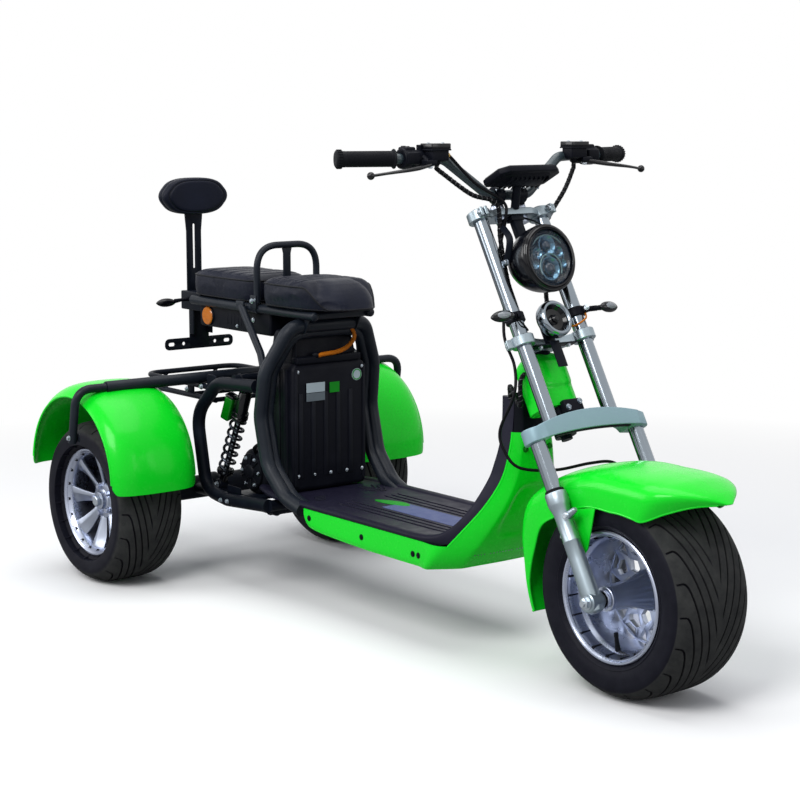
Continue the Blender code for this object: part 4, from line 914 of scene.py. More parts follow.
PANEL_T = 0.003
FENDER_AT = Vector((0.005, 0.0, 0.28))
FENDER_R = 0.2353
FENDER_DROP = 0.03
FENDER_FROM = math.radians(-4.8)
FENDER_INNER = 0.25
FENDER_OUTER = 0.488


def rear_fender(side):
    """A broad crowned guard whose skirt corners are rounded and whose rims are rolled."""
    half = (FENDER_OUTER - FENDER_INNER) / 2
    middle = (FENDER_OUTER + FENDER_INNER) / 2
    across_steps, around_steps = 40, 72
    rows = []
    for i in range(across_steps + 1):
        u = math.sin(math.pi / 2 * (-1 + 2 * i / across_steps))
        r = FENDER_R - FENDER_DROP * (0.3 * u ** 2 + 0.7 * u ** 6)
        trim = 0.016 * max(0.0, (abs(u) - 0.9) / 0.1) ** 2 / r
        row = []
        for k in range(around_steps + 1):
            a = FENDER_FROM + trim + (math.pi - FENDER_FROM - trim * 2) * k / around_steps
            row.append(FENDER_AT + Vector((r * math.cos(a), side * (middle + u * half), r * math.sin(a))))
        rows.append(row)
    panel = skin(rows, round_ring=False)
    outward(panel, FENDER_AT + Vector((0, side * middle, 0)))
    shell = wall(panel, PANEL_T)
    rims = []
    for row in (rows[0], rows[-1]):
        inset = [p + (FENDER_AT + Vector((0, p.y, 0)) - p).normalized() * 0.0022 for p in row[1:-1]]
        rims.append(swept(inset, 0.0028, 10))
    return shell, gathered(rims)


def outward(shape, centre):
    """Turns the faces of an open skin away from a centre."""
    face = max(shape.faces, key=lambda f: f.calc_area())
    if face.normal.dot(face.calc_center_median() - centre) < 0:
        bmesh.ops.reverse_faces(shape, faces=shape.faces)
    return shape


FENDER_STATIONS = (
    # angle round the axle in degrees, radius at the crown, depth of the skirt, half width
    (43.5, 0.3213, 0.004, 0.008), (45.5, 0.319, 0.014, 0.026), (49.0, 0.315, 0.032, 0.056),
    (54.0, 0.3065, 0.062, 0.09), (59.5, 0.2975, 0.09, 0.113), (66.0, 0.285, 0.086, 0.1195),
    (76.0, 0.271, 0.08, 0.1195), (87.0, 0.2637, 0.078, 0.1195), (106.5, 0.269, 0.078, 0.1195),
    (120.0, 0.279, 0.085, 0.1195), (133.0, 0.292, 0.088, 0.1195), (146.0, 0.304, 0.085, 0.1195),
    (160.0, 0.288, 0.07, 0.115), (172.0, 0.26, 0.038, 0.112), (184.0, 0.245, 0.016, 0.108),
    (198.0, 0.238, 0.01, 0.104),
)


def front_fender_rows():
    path = flowing([Vector(s[:3]) for s in FENDER_STATIONS], 5)
    widths = flowing([Vector((s[0], s[3], 0)) for s in FENDER_STATIONS], 5)
    section = flowing([Vector((u, d, 0)) for u, d in (
        (-1.0, 1.0), (-1.0, 0.66), (-0.975, 0.4), (-0.88, 0.215), (-0.68, 0.095), (-0.36, 0.024), (0, 0.0),
    )], 5)
    section += [Vector((-p.x, p.y, 0)) for p in reversed(section[:-1])]
    rows = []
    for spot, width in zip(path, widths):
        a = math.radians(spot.x)
        out = Vector((math.cos(a), 0, math.sin(a)))
        row = []
        for p in section:
            at = AXLE + out * (spot.y - spot.z * p.y)
            row.append(Vector((at.x, p.x * width.y, at.z)))
        rows.append(row)
    return rows


def front_fender():
    rows = front_fender_rows()
    shell = wall(outward(skin(rows, round_ring=False), AXLE), PANEL_T)
    edges = []
    for end in (0, -1):
        inset = [row[end] + Vector((0, 0.0014 if row[end].y < 0 else -0.0014, 0)) for row in rows[4:]]
        edges.append(swept(inset, 0.0024, 8))
    edges.append(swept([p + (AXLE - Vector((p.x, 0, p.z))).normalized() * 0.0015 for p in rows[-1]], 0.0022, 8))
    tabs = []
    for side in (-1, 1):
        outline = [(1.428, 0.385), (1.51, 0.402), (1.499, 0.35), (1.4905, 0.312), (1.4835, 0.302), (1.476, 0.306),
                   (1.456, 0.35)]
        y = side * 0.118
        tab = skin([[(x, y - 0.0015, z) for x, z in outline], [(x, y + 0.0015, z) for x, z in outline]])
        tabs.append(smoothed_rims(tab, 0.0007))
        boss = moved(rod((0, side * 0.1165, 0.222), (0, side * 0.1225, 0.222), 0.0085), TO_FORK)
        tabs.append(boss)
    return [(gathered([shell, *edges, *tabs]), "green")]


# Fork, clamps and what they carry

FORK_HALF = 0.142
TUBE_HALF = 0.0875
TUBE_R = 0.0165
CROWN_LOW = 0.345
CROWN_END_R = 0.0275
CROWN_HEIGHT = 0.0301
MID_AT = 0.569
TOP_AT = 0.8615
CLAMP_HALF_H = 0.011
BAR_TUBE_R = 0.011


def fork(shape):
    return moved(shape, TO_FORK)


def ahead(back, y, z):
    """A point measured back from the front axle."""
    return Vector((WHEELBASE - back, y, z))


def on_axis(along, forward=0.0):
    """A point on the steering axis."""
    return TO_FORK @ Vector((STEM_X + forward, 0, along))


def upright(x, z=0.0):
    """Takes a flat outline of (y, z) pairs to a plane across the vehicle."""
    return Matrix(((0, 0, 1, x), (1, 0, 0, 0), (0, 1, 0, z), (0, 0, 0, 1)))


def placed(shape, at, direction):
    """Stands a shape that points up along a direction at a point."""
    turn = Vector(direction).to_track_quat("Z", "Y").to_matrix().to_4x4()
    return moved(shape, Matrix.Translation(at) @ turn)


def screw(radius, height, at, direction, hexed=True):
    return placed(bolt(radius, height, hexed), at, direction)


def rounded_ring(low_x, high_x, low_z, high_z, radius, steps=4):
    """Corners of a rounded rectangle as (x, z) pairs."""
    ring = []
    for cx, cz, start in (
        (high_x - radius, high_z - radius, 0), (low_x + radius, high_z - radius, 90),
        (low_x + radius, low_z + radius, 180), (high_x - radius, low_z + radius, 270),
    ):
        for i in range(steps + 1):
            a = math.radians(start + 90 * i / steps)
            ring.append((cx + radius * math.cos(a), cz + radius * math.sin(a)))
    return ring


def fork_leg(side):
    y = side * FORK_HALF
    casting = turned([
        (0.0, -0.023), (0.012, -0.023), (0.0165, -0.0195), (0.018, -0.012), (0.0195, 0.02), (0.0186, 0.062),
        (0.018, 0.09), (0.018, 0.129), (0.0186, 0.13), (0.0186, 0.1312), (0.0178, 0.1324), (0.0178, 0.176),
        (0.0182, 0.19), (0.0205, 0.201), (0.0228, 0.208), (0.0232, 0.211), (0.0232, 0.233), (0.0222, 0.235),
        (0.019, 0.236), (0.0, 0.236),
    ], 56, (0, y, 0), "Z")
    seal = turned([(0.0, 0.234), (0.02, 0.234), (0.0206, 0.237), (0.0196, 0.241), (0.017, 0.2425), (0.0, 0.2425)],
                  40, (0, y, 0), "Z")
    stanchion = rod((0, y, 0.237), (0, y, CROWN_LOW + 0.0177), TUBE_R, None, 48)
    lug = turned([(0.009, 0.0), (0.0185, 0.0), (0.0205, 0.002), (0.0205, 0.0325), (0.0185, 0.0345), (0.009, 0.0345)],
                 40, (0, y - 0.01725, 0), "Y", closed=True)
    boss = gathered([
        swept([(0.008, y, 0.179), (0.024, y, 0.182), (0.04, y, 0.1845), (0.0425, y, 0.185)],
              [0.0095, 0.008, 0.0058, 0.004], 24),
        rod((-0.008, y, 0.15), (-0.023, y, 0.148), 0.006, 0.0048, 20),
    ])
    bolts = [
        screw(0.0055, 0.005, (0.0185, y + side * 0.0105, 0.18), (0.45, side, 0), hexed=False),
        screw(0.0036, 0.003, (-0.0225, y, 0.148), (-1, 0, -0.13)),
    ]
    pinch = block((0.018, 0.019, 0.014), (-0.019, y, -0.002), 0.003, 3)
    bolts.append(screw(0.0042, 0.004, (-0.0285, y, -0.002), (-1, 0, 0), hexed=False))
    scar = block((0.0022, 0.006, 0.0011), (0.0, 0.0, 0.0), 0.0004, 1, turning(-24, "X"))
    marks = rowed(scar, 5, (-0.0125, y + side * 0.0138, 0.052), (0.0016, side * 0.0008, 0.0062))
    castings = [casting, lug, boss, pinch, marks]
    parts = [(gathered(castings), "silver"), (seal, "grip"), (stanchion, "chrome"), (gathered(bolts), "steel")]
    if side > 0:
        outer, inner = 0.1255, 0.0877
        middle = (outer + inner) / 2
        body = block((0.036, outer - inner, 0.05), (-0.08, middle, 0.03), 0.0055, 4)
        body = carved(body, block((0.1, 0.0126, 0.1), (-0.032, 0.1, 0.03), 0.0, 1))
        arm = block((0.088, 0.009, 0.026), (-0.054, 0.127, 0.04), 0.0025, 3)
        pins = [screw(0.0046, 0.005, (-0.088, outer + 0.001, 0.03 + dz), (0, 1, 0)) for dz in (-0.016, 0.018)]
        fitting = gathered([
            rod((-0.07, middle, 0.0545), (-0.07, middle, 0.064), 0.0062, None, 20),
            screw(0.0058, 0.005, (-0.07, middle, 0.064), (0, 0, 1)),
        ])
        parts += [(gathered([body, arm]), "frame"), (gathered(pins), "steel"), (fitting, "brass")]
    return [(fork(shape), look) for shape, look in parts]


def crown_rise(y):
    return 0.022 * max(0.0, 1 - (y / 0.152) ** 2)


def lower_crown():
    """Arched casting over both stanchions, with its ends rounded in plan."""
    stations = [(FORK_HALF + CROWN_END_R) * math.sin(math.pi / 2 * (-1 + 2 * i / 60)) for i in range(61)]
    rows = []
    under = []
    for y in stations:
        over = max(0.0, abs(y) - FORK_HALF)
        reach = math.sqrt(max(0.0000004, CROWN_END_R ** 2 - over ** 2))
        front = reach if over else min(0.03, reach + 0.0025)
        back = -reach - 0.052 * max(0.0, 1 - (y / 0.085) ** 2) ** 0.5
        low = CROWN_LOW + crown_rise(y) * 0.45
        high = CROWN_LOW + CROWN_HEIGHT + crown_rise(y)
        hollow = (high - low) * 0.62 * max(0.0, 1 - (y / 0.118) ** 2) ** 0.35
        lip = front - 0.012
        row = []
        for x, z in rounded_ring(back, front, low, high, min(0.0022, reach * 0.5)):
            raised = hollow * min(1.0, (lip - x) / 0.03) if x < lip and z < (low + high) / 2 else 0.0
            row.append((x, y, z + raised))
        rows.append(row)
        if abs(y) < 0.112:
            strip = rounded_ring(lip, front - 0.0035, low - 0.0028, low + 0.004, 0.001, 1)
            under.append([(x, y, z) for x, z in strip])
    body = skin(rows)
    cup = turned([
        (0.0, 0.368), (0.0235, 0.368), (0.024, 0.372), (0.024, 0.398), (0.0225, 0.401), (0.0, 0.401),
    ], 40, (STEM_X, 0, 0), "Z")
    stem = rod((STEM_X, 0, 0.36), (STEM_X, 0, MID_AT + CLAMP_HALF_H), 0.0125, None, 32)
    bolts = [
        screw(0.0055, 0.006, (-0.026, side * FORK_HALF, CROWN_LOW + 0.016), (-1, 0, 0), hexed=False)
        for side in (-1, 1)
    ]
    parts = [(body, "silver_flat"), (skin(under), "plastic"), (gathered([cup, stem]), "frame"),
             (gathered(bolts), "steel")]
    return [(fork(shape), look) for shape, look in parts]


def collar(y, at, outer, height):
    """A ring about an upper tube."""
    half = height / 2
    return turned([
        (TUBE_R + GAP, -half), (outer - 0.0015, -half), (outer, -half + 0.0015), (outer, half - 0.0015),
        (outer - 0.0015, half), (TUBE_R + GAP, half),
    ], 48, (0, y, at), "Z", closed=True)


def split_lug(y, at, direction, height):
    """The cut ears of a clamp with their pinch bolt, pointing along a direction in the clamp's plane."""
    turn = Matrix.Translation((0, y, at)) @ Vector(direction).to_track_quat("X", "Z").to_matrix().to_4x4()
    ears = [block((0.015, 0.0075, height), (0.03, dy, 0), 0.0018, 3) for dy in (-0.0052, 0.0052)]
    head = screw(0.0045, 0.0045, (0.0315, -0.009, 0), (0, -1, 0), hexed=False)
    return moved(gathered(ears), turn), moved(head, turn)


def mid_clamp():
    height = CLAMP_HALF_H * 2
    pieces, bolts = [], []
    for side in (-1, 1):
        y = side * TUBE_HALF
        pieces.append(collar(y, MID_AT, TUBE_R + 0.0095, height))
        ears, head = split_lug(y, MID_AT, (-0.5, side, 0), height * 0.9)
        pieces.append(ears)
        bolts.append(head)
        rows = []
        for i in range(13):
            t = i / 12
            across = 0.012 + (TUBE_HALF - 0.018 - 0.012) * t
            front = -0.012 + 0.014 * t ** 2
            back = -0.078 + 0.056 * t ** 1.6
            thin = height * (0.3 + 0.16 * t)
            rows.append([(x, side * across, MID_AT + z) for x, z in rounded_ring(back, front, -thin, thin, 0.0018)])
        pieces.append(skin(rows))
    pieces.append(block((0.066, 0.032, 0.0154), (-0.045, 0, MID_AT), 0.0016, 3))
    pieces.append(turned([(0.013, -0.011), (0.0205, -0.011), (0.022, -0.0095), (0.022, 0.0095), (0.0205, 0.011),
                          (0.013, 0.011)], 40, (STEM_X, 0, MID_AT), "Z", closed=True))
    nut = screw(0.015, 0.009, (STEM_X, 0, MID_AT + 0.0112), (0, 0, 1))
    strap = [
        block((0.02, 0.12, 0.003), (-0.004, 0, MID_AT - 0.0128), 0.0008, 2),
        block((0.0035, 0.03, 0.07), (-0.012, 0.0, MID_AT + 0.02), 0.0008, 2),
        block((0.003, 0.026, 0.06), (0.005, -0.004, MID_AT - 0.036), 0.0008, 2),
    ]
    for y in (0.04, -0.04):
        bolts.append(screw(0.0048, 0.004, (-0.004, y, MID_AT - 0.0143), (0, 0, -1)))
    parts = [(gathered(pieces), "silver"), (gathered(strap), "frame"), (gathered([*bolts, nut]), "steel")]
    return [(fork(shape), look) for shape, look in parts]


RISER_HALF = 0.0315
BAR_LOW = ahead(0.429, 0.0, 1.012)
BAR_Z = 1.094
GRIP_IN = ahead(0.454, 0.285, BAR_Z)
GRIP_OUT = ahead(0.504, 0.408, BAR_Z)


def sided(point, side):
    return Vector((point.x, side * point.y, point.z))


def bar_path():
    half = [
        BAR_LOW, BAR_LOW + Vector((0, 0.055, 0)), ahead(0.449, 0.165, 1.092), ahead(0.454, 0.215, BAR_Z),
        GRIP_IN, GRIP_OUT - (GRIP_OUT - GRIP_IN).normalized() * 0.004,
    ]
    return bent([sided(p, -1) for p in reversed(half[1:])] + half[1:], 0.045, 10)


def top_clamp():
    """Clamp over the tube tops, four rubber-mounted posts, the bar holders and the display."""
    height = CLAMP_HALF_H * 2
    pieces, bolts, caps = [], [], []
    for side in (-1, 1):
        y = side * TUBE_HALF
        pieces.append(collar(y, TOP_AT, TUBE_R + 0.0095, height))
        ears, head = split_lug(y, TOP_AT, (1.0, side * 0.35, 0), height * 0.9)
        pieces.append(ears)
        bolts.append(head)
        caps.append(turned([
            (0.0, 0.009), (0.016, 0.009), (0.0168, 0.0112), (0.016, 0.015), (0.011, 0.0162), (0.0085, 0.0162),
            (0.0075, 0.012), (0.0, 0.012),
        ], 36, (0, y, TOP_AT), "Z"))
    rows = []
    for i in range(41):
        y = -TUBE_HALF + 0.014 + (TUBE_HALF - 0.014) * 2 * i / 40
        inward = 1 - abs(y) / (TUBE_HALF - 0.014)
        front = 0.016 + 0.01 * min(1.0, inward * 2.5)
        rows.append([(x, y, TOP_AT + z) for x, z in rounded_ring(-0.024, front, -0.0078, 0.0078, 0.0018)])
    pieces.append(skin(rows))
    low = TOP_AT + 0.0078
    holder = TO_FORK.inverted() @ BAR_LOW
    spacers, posts = [], []
    for side in (-1, 1):
        y = side * RISER_HALF
        spacers.append(turned([
            (0.0, 0.0), (0.015, 0.0), (0.0158, 0.0015), (0.0158, 0.012), (0.0145, 0.0145), (0.0128, 0.015),
            (0.0, 0.015),
        ], 36, (0.002, y, low), "Z"))
        spacers.append(turned([(0.0, -0.012), (0.011, -0.012), (0.012, -0.01), (0.012, 0.0), (0.0, 0.0)],
                              30, (0.002, y, TOP_AT - 0.0076), "Z"))
        line = [(0.002, y, low + 0.013), (holder.x * 0.6, y, (low + holder.z) / 2), (holder.x, y, holder.z)]
        posts.append(fork(swept(line, [0.0125, 0.0118, 0.0135], 28)))
        posts.append(turned([
            (BAR_TUBE_R + GAP, -0.0115), (0.0178, -0.0115), (0.0192, -0.01), (0.0192, 0.01), (0.0178, 0.0115),
            (BAR_TUBE_R + GAP, 0.0115),
        ], 40, BAR_LOW + Vector((0, y, 0)), "Y", closed=True))
        for dx in (-0.0125, 0.0125):
            at = BAR_LOW + Vector((dx, y, 0.0125))
            top = at + Vector((0, 0, 0.002))
            posts.append(rod(at - Vector((0, 0, 0.02)), top, 0.0062, None, 16))
            bolts.append(moved(screw(0.0042, 0.004, top, (0, 0, 1), hexed=False), TO_FORK.inverted()))
    parts = [(fork(gathered(pieces)), "silver"), (fork(gathered(spacers)), "cast"),
             (fork(gathered(caps)), "silver"), (gathered(posts), "frame"), (fork(gathered(bolts)), "steel")]
    return parts + display()


def display():
    """Thick slab with a bevelled glass, over a ribbed tray on a neck."""
    at = Matrix.Translation(ahead(0.382, 0, 1.056)) @ turning(-27, "Y")

    def outline(grow):
        x, y = 0.04 + grow, 0.086 + grow
        return [(-x, -y + 0.01), (-x + 0.008, -y), (x - 0.016, -y), (x, -y + 0.02), (x, y - 0.02), (x - 0.016, y),
                (-x + 0.008, y), (-x, y - 0.01)]

    def stacked(levels):
        return [[(x, y, z) for x, y in outline(grow)] for z, grow in levels]

    case = smoothed_rims(skin(stacked((
        (-0.009, -0.003), (-0.0078, -0.0008), (-0.006, 0.0), (0.003, 0.0), (0.0048, -0.0008), (0.0058, -0.0028),
    ))), 0.0009)
    glass = plate(outline(-0.0055), 0.0052, 0.0072, 0.0006, 2)
    ridge = stacked(((0.005, -0.0034), (0.0074, -0.004), (0.0074, -0.0052), (0.005, -0.0058)))
    ridge = skin(ridge, capped=False, looped=True)
    tray = []
    for z, grow in ((-0.0088, -0.006), (-0.0125, -0.01), (-0.019, -0.024), (-0.0205, -0.0275)):
        tray.append([(x * 0.94 - 0.002, y * 0.86, z) for x, y in outline(grow)])
    tray = smoothed_rims(skin(tray), 0.0008)
    fin = block((0.05, 0.0022, 0.0085), (0, 0, 0), 0.0006, 1)
    fins = rowed(fin, 9, (-0.002, -0.052, -0.015), (0, 0.013, 0))
    dial = gathered([
        turned([(0.0165, 0.0071), (0.0185, 0.0071), (0.0185, 0.0078), (0.0165, 0.0078)], 48, (0.002, 0, 0), "Z",
               closed=True),
        *[rowed(block((0.005, 0.003, 0.0006), (0, 0, 0), 0.0, 1), 5, (0.018, y, 0.0074), (0, 0.0052, 0))
          for y in (-0.052, 0.031)],
        block((0.013, 0.002, 0.0006), (0.006, 0.006, 0.0074), 0.0, 1, turning(40, "Z")),
    ])
    neck = [
        swept(flowing([ahead(0.396, 0, 1.046), ahead(0.4, 0, 1.022), ahead(0.4055, 0, 0.984)], 5), 0.0105, 24, 0.75),
        block((0.03, 0.052, 0.012), ahead(0.397, 0, 1.0415), 0.002, 2),
    ]
    screws = spotted(bolt(0.0026, 0.0012, hexed=False), [(-0.028, y, -0.019) for y in (-0.06, 0.06)], (math.pi, 0, 0))
    return [
        (moved(gathered([case, ridge]), at), "plastic"), (moved(glass, at), "glass_black"),
        (moved(gathered([tray, fins]), at), "plastic"), (moved(dial, at), "mat_grey"), (gathered(neck), "frame"),
        (moved(screws, at), "steel"),
    ]


def grip(side):
    """Rubber sleeve with fine rings, a flared inner flange and a stepped end cap."""
    start, end = sided(GRIP_IN, side), sided(GRIP_OUT, side)
    along = (end - start).normalized()
    length = (end - start).length
    profile = [(0.0114, 0.0062), (0.02, 0.0062), (0.0208, 0.0075), (0.0208, 0.009), (0.0196, 0.0105), (0.0168, 0.012)]
    at = 0.015
    while at < length - 0.024:
        profile += [(0.0168, at), (0.0168, at + 0.0018), (0.0163, at + 0.0022), (0.0163, at + 0.0028)]
        at += 0.0032
    profile += [
        (0.0168, length - 0.0205), (0.017, length - 0.013), (0.0186, length - 0.012), (0.019, length - 0.0105),
        (0.019, length - 0.003), (0.018, length - 0.0004), (0.016, length + 0.001), (0.01, length + 0.0012),
        (0.0, length + 0.0008),
    ]
    sleeve = turned([(0.0, 0.0062)] + profile, 40, axis="Z")
    ribs = ringed(block((0.003, 0.01, 0.0016), (0.0188, 0, 0), 0.0004, 1), 22)
    ribs = moved(ribs, Matrix.Translation((0, 0, length - 0.0068)) @ turning(90, "X"))
    return [(placed(gathered([sleeve, ribs]), start, along), "grip")]


def control(side):
    """Switch pod, lever perch, fluid box with its lid, banjo bolt, mirror boss and brake lever."""
    back = 0.4535

    def at(y, x=back, z=BAR_Z):
        return ahead(x, side * y, z)

    def on_bar(profile, steps):
        shape = turned(profile, steps, closed=True)
        return moved(mirrored(shape) if side < 0 else shape, Matrix.Translation(at(0.0)))

    pod = on_bar([
        (0.0112, 0.278), (0.019, 0.278), (0.0212, 0.2762), (0.0218, 0.272), (0.0218, 0.26), (0.0214, 0.259),
        (0.0214, 0.2578), (0.0218, 0.257), (0.0218, 0.25), (0.0206, 0.244), (0.018, 0.241), (0.0112, 0.241),
    ], 48)
    hump = block((0.03, 0.026, 0.014), at(0.259, back + 0.002, 1.1115), 0.004, 3)
    front = block((0.016, 0.034, 0.026), at(0.259, back - 0.017, 1.095), 0.004, 3)
    buttons = [
        block((0.007, 0.009, 0.0035), at(0.262, back + 0.01, 1.119), 0.001, 2),
        block((0.006, 0.006, 0.004), at(0.25, back + 0.01, 1.118), 0.001, 2),
        block((0.004, 0.01, 0.007), at(0.264, back + 0.0225, 1.095), 0.001, 2),
    ]
    knob = block((0.007, 0.0075, 0.005), at(0.256, back + 0.0215, 1.106), 0.0015, 2)
    perch = on_bar([
        (0.0112, 0.217), (0.017, 0.217), (0.0182, 0.2185), (0.0182, 0.2395), (0.017, 0.241), (0.0112, 0.241),
    ], 40)
    boss = swept([at(0.227, 0.453, 1.108), at(0.227, 0.453, 1.1215), at(0.227, 0.453, 1.1225)],
                 [0.0068, 0.0068, 0.0058], 24)
    arm = swept([at(0.229, 0.45, 1.098), at(0.224, 0.438, 1.094), at(0.223, 0.426, 1.087)],
                [0.011, 0.01, 0.0085], 20, 0.8)
    tank = block((0.034, 0.046, 0.024), at(0.2, 0.4315, 1.101), 0.003, 3)
    lid = block((0.04, 0.052, 0.014), at(0.2005, 0.432, 1.1185), 0.002, 3)
    rim = block((0.0415, 0.0535, 0.003), at(0.2005, 0.432, 1.112), 0.001, 2)
    bore = swept([at(0.178, 0.431, 1.0945), at(0.212, 0.431, 1.0945)], 0.0085, 24)
    screws = spotted(bolt(0.003, 0.0012, hexed=False), [at(y, 0.432, 1.1255) for y in (0.181, 0.22)])
    knuckle = block((0.03, 0.028, 0.0125), at(0.2245, 0.427, 1.0855), 0.003, 3)
    pivot = screw(0.0055, 0.004, at(0.2225, 0.4225, 1.079), (0, 0, -1))
    path = flowing([
        at(0.22, 0.424, 1.0835), at(0.242, 0.412, 1.08), at(0.27, 0.402, 1.0755), at(0.3, 0.398, 1.072),
        at(0.33, 0.3985, 1.069), at(0.36, 0.403, 1.0655), at(0.385, 0.4092, 1.0622),
    ], 8)
    lever = swept(path, [0.008 - 0.0038 * min(1.0, i / (len(path) - 1) * 1.25) for i in range(len(path))], 20, 0.72)
    knob_end = ball(at(0.3886, 0.4098, 1.0619), (0.0082, 0.0082, 0.0082), 24)
    drop = 0.196 if side < 0 else 0.2
    sleeve = swept([at(drop, 0.434, 1.089), at(drop, 0.434, 1.08)], [0.0085, 0.0068], 20)
    parts = [
        (gathered([pod, hump, front, perch, boss, arm, tank, rim, bore, knuckle, sleeve]), "plastic"),
        (lid, "gloss"), (gathered(buttons), "gloss"), (knob, "signal_red" if side < 0 else "mat_grey"),
        (gathered([screws, pivot]), "steel"), (gathered([lever, knob_end]), "gloss"),
    ]
    if side < 0:
        neck = swept([at(0.177, 0.432, 1.1), at(0.164, 0.432, 1.1)], 0.005, 16)
        banjo = screw(0.0056, 0.0052, at(0.17, 0.432, 1.1), (0, -side, 0))
        parts.append((gathered([neck, banjo]), "brass"))
    return parts


def headlight():
    """Bucket with a ridged bezel, and behind the glass two lamp clusters and a guide arc."""
    face = TO_FORK @ Vector((0.076, 0, 0.7257))
    turn = Matrix.Translation(face) @ turning(-15, "Y") @ turning(90, "Z")
    bucket = turned([
        (0.0735, 0.01), (0.0728, 0.016), (0.0722, 0.025), (0.071, 0.034), (0.0685, 0.045), (0.065, 0.056),
        (0.06, 0.067),
        (0.0535, 0.078), (0.045, 0.089), (0.035, 0.098), (0.023, 0.1055), (0.01, 0.11), (0.0, 0.111), (0.0, 0.01),
    ], 72)
    bezel = turned([
        (0.06, 0.002), (0.0612, -0.0012), (0.064, -0.002), (0.0652, 0.0004), (0.0664, -0.0006), (0.0684, 0.0006),
        (0.0692, 0.0024), (0.0712, 0.0022), (0.0728, 0.0042), (0.0735, 0.007), (0.0735, 0.012), (0.06, 0.012),
    ], 96, closed=True)
    inner = turned([
        (0.0, 0.018), (0.048, 0.018), (0.056, 0.013), (0.061, 0.005), (0.0618, 0.007), (0.056, 0.022), (0.0, 0.022),
    ], 64)
    lens = turned([
        (0.0, -0.0052), (0.016, -0.0046), (0.032, -0.003), (0.046, -0.0006), (0.057, 0.0022), (0.0608, 0.0036),
        (0.0604, 0.0052), (0.045, 0.0024), (0.0, -0.0022),
    ], 64)

    def bowl(x, z, radius, depth):
        shape = turned([
            (0.0, depth), (radius * 0.45, depth * 0.92), (radius * 0.8, depth * 0.5), (radius, 0.0),
            (radius * 1.08, 0.0), (radius * 1.08, depth + 0.002), (0.0, depth + 0.002),
        ], 36)
        return moved(shape, Matrix.Translation((x, 0.0065, z)))

    def bulb(x, z, radius):
        return moved(ball((0, 0, 0), (radius, radius * 0.62, radius), 24), Matrix.Translation((x, 0.009, z)))

    clusters = [
        bowl(0.0, 0.027, 0.0215, 0.01), bowl(0.0, -0.023, 0.024, 0.011), bowl(-0.03, 0.011, 0.0115, 0.007),
        bowl(0.03, 0.011, 0.0115, 0.007), bowl(-0.039, -0.014, 0.0085, 0.006), bowl(0.039, -0.014, 0.0085, 0.006),
    ]
    bulbs = [bulb(0.0, 0.027, 0.011), bulb(0.0, -0.023, 0.014), bulb(-0.03, 0.011, 0.005), bulb(0.03, 0.011, 0.005)]
    arch = []
    for i in range(29):
        a = math.radians(-28 + 236 * i / 28)
        arch.append((0.03 * math.cos(a), 0.0045, -0.0215 + 0.03 * math.sin(a)))
    brow = []
    for i in range(17):
        a = math.radians(35 + 110 * i / 16)
        brow.append((0.048 * math.cos(a), 0.006, 0.005 + 0.044 * math.sin(a)))
    guides = gathered([swept(arch, 0.0016, 10), swept(brow, 0.0012, 8)])
    slats = rowed(block((0.001, 0.004, 0.012), (0, 0, 0), 0.0003, 1, turning(24, "Y")),
                  4, (0.044, 0.0085, 0.006), (-0.0018, 0.0, -0.0052))
    parts = [(bucket, "gloss"), (bezel, "gloss"), (inner, "lamp_dark"), (gathered(clusters), "lamp_mirror"),
             (gathered(bulbs), "lamp_glass"), (guides, "lamp_guide"), (slats, "lamp_mirror"), (lens, "lens")]
    parts = [(moved(shape, turn), look) for shape, look in parts]
    top = TOP_AT - 0.0078 - GAP
    brackets, bolts = [], []
    for side in (-1, 1):
        hinge = face + Vector((-0.062, side * 0.07, -0.012))
        line = flowing([TO_FORK @ Vector((0.01, side * 0.02, top)), TO_FORK @ Vector((0.02, side * 0.052, top - 0.02)),
                        hinge + Vector((0.006, -side * 0.002, 0.05)), hinge], 8)
        brackets.append(swept(line, 0.0075, 16, 0.28))
        bolts.append(screw(0.006, 0.0055, hinge + Vector((0, side * 0.001, 0)), (0, side, 0)))
    hanger = fork(block((0.02, 0.036, 0.012), (0.012, 0, top - 0.006), 0.002, 2))
    post = fork(block((0.016, 0.026, 0.05), (0.012, 0, top - 0.035), 0.003, 2))
    parts += [(gathered([*brackets, hanger, post]), "frame"), (gathered(bolts), "steel")]
    return parts


def horn():
    turn = TO_FORK @ Matrix.Translation((-0.012 + GAP + 0.0455, 0, 0.6047)) @ turning(90, "Z")
    ring = turned([
        (0.029, 0.006), (0.03, 0.001), (0.0325, -0.0012), (0.037, -0.0012), (0.0402, 0.002), (0.0415, 0.008),
        (0.0415, 0.018), (0.0395, 0.024), (0.033, 0.03), (0.029, 0.03),
    ], 72, closed=True)
    cone = turned([(0.0, 0.008), (0.006, 0.008), (0.012, 0.014), (0.024, 0.012), (0.03, 0.004), (0.0305, 0.012),
                   (0.0, 0.018)], 56)
    boss = turned([(0.0, 0.002), (0.005, 0.0024), (0.0085, 0.006), (0.009, 0.012), (0.0, 0.012)], 36)
    back = turned([
        (0.0, 0.02), (0.033, 0.02), (0.033, 0.03), (0.024, 0.036), (0.014, 0.04), (0.013, 0.0455), (0.0, 0.0455),
    ], 48)
    tab = fork(block((0.004, 0.024, 0.045), (-0.012 + GAP + 0.002, 0, 0.6047 - 0.0185), 0.001, 2))
    parts = [(ring, "chrome"), (cone, "gloss"), (boss, "gloss"), (back, "frame")]
    return [(moved(shape, turn), look) for shape, look in parts] + [(tab, "frame")]


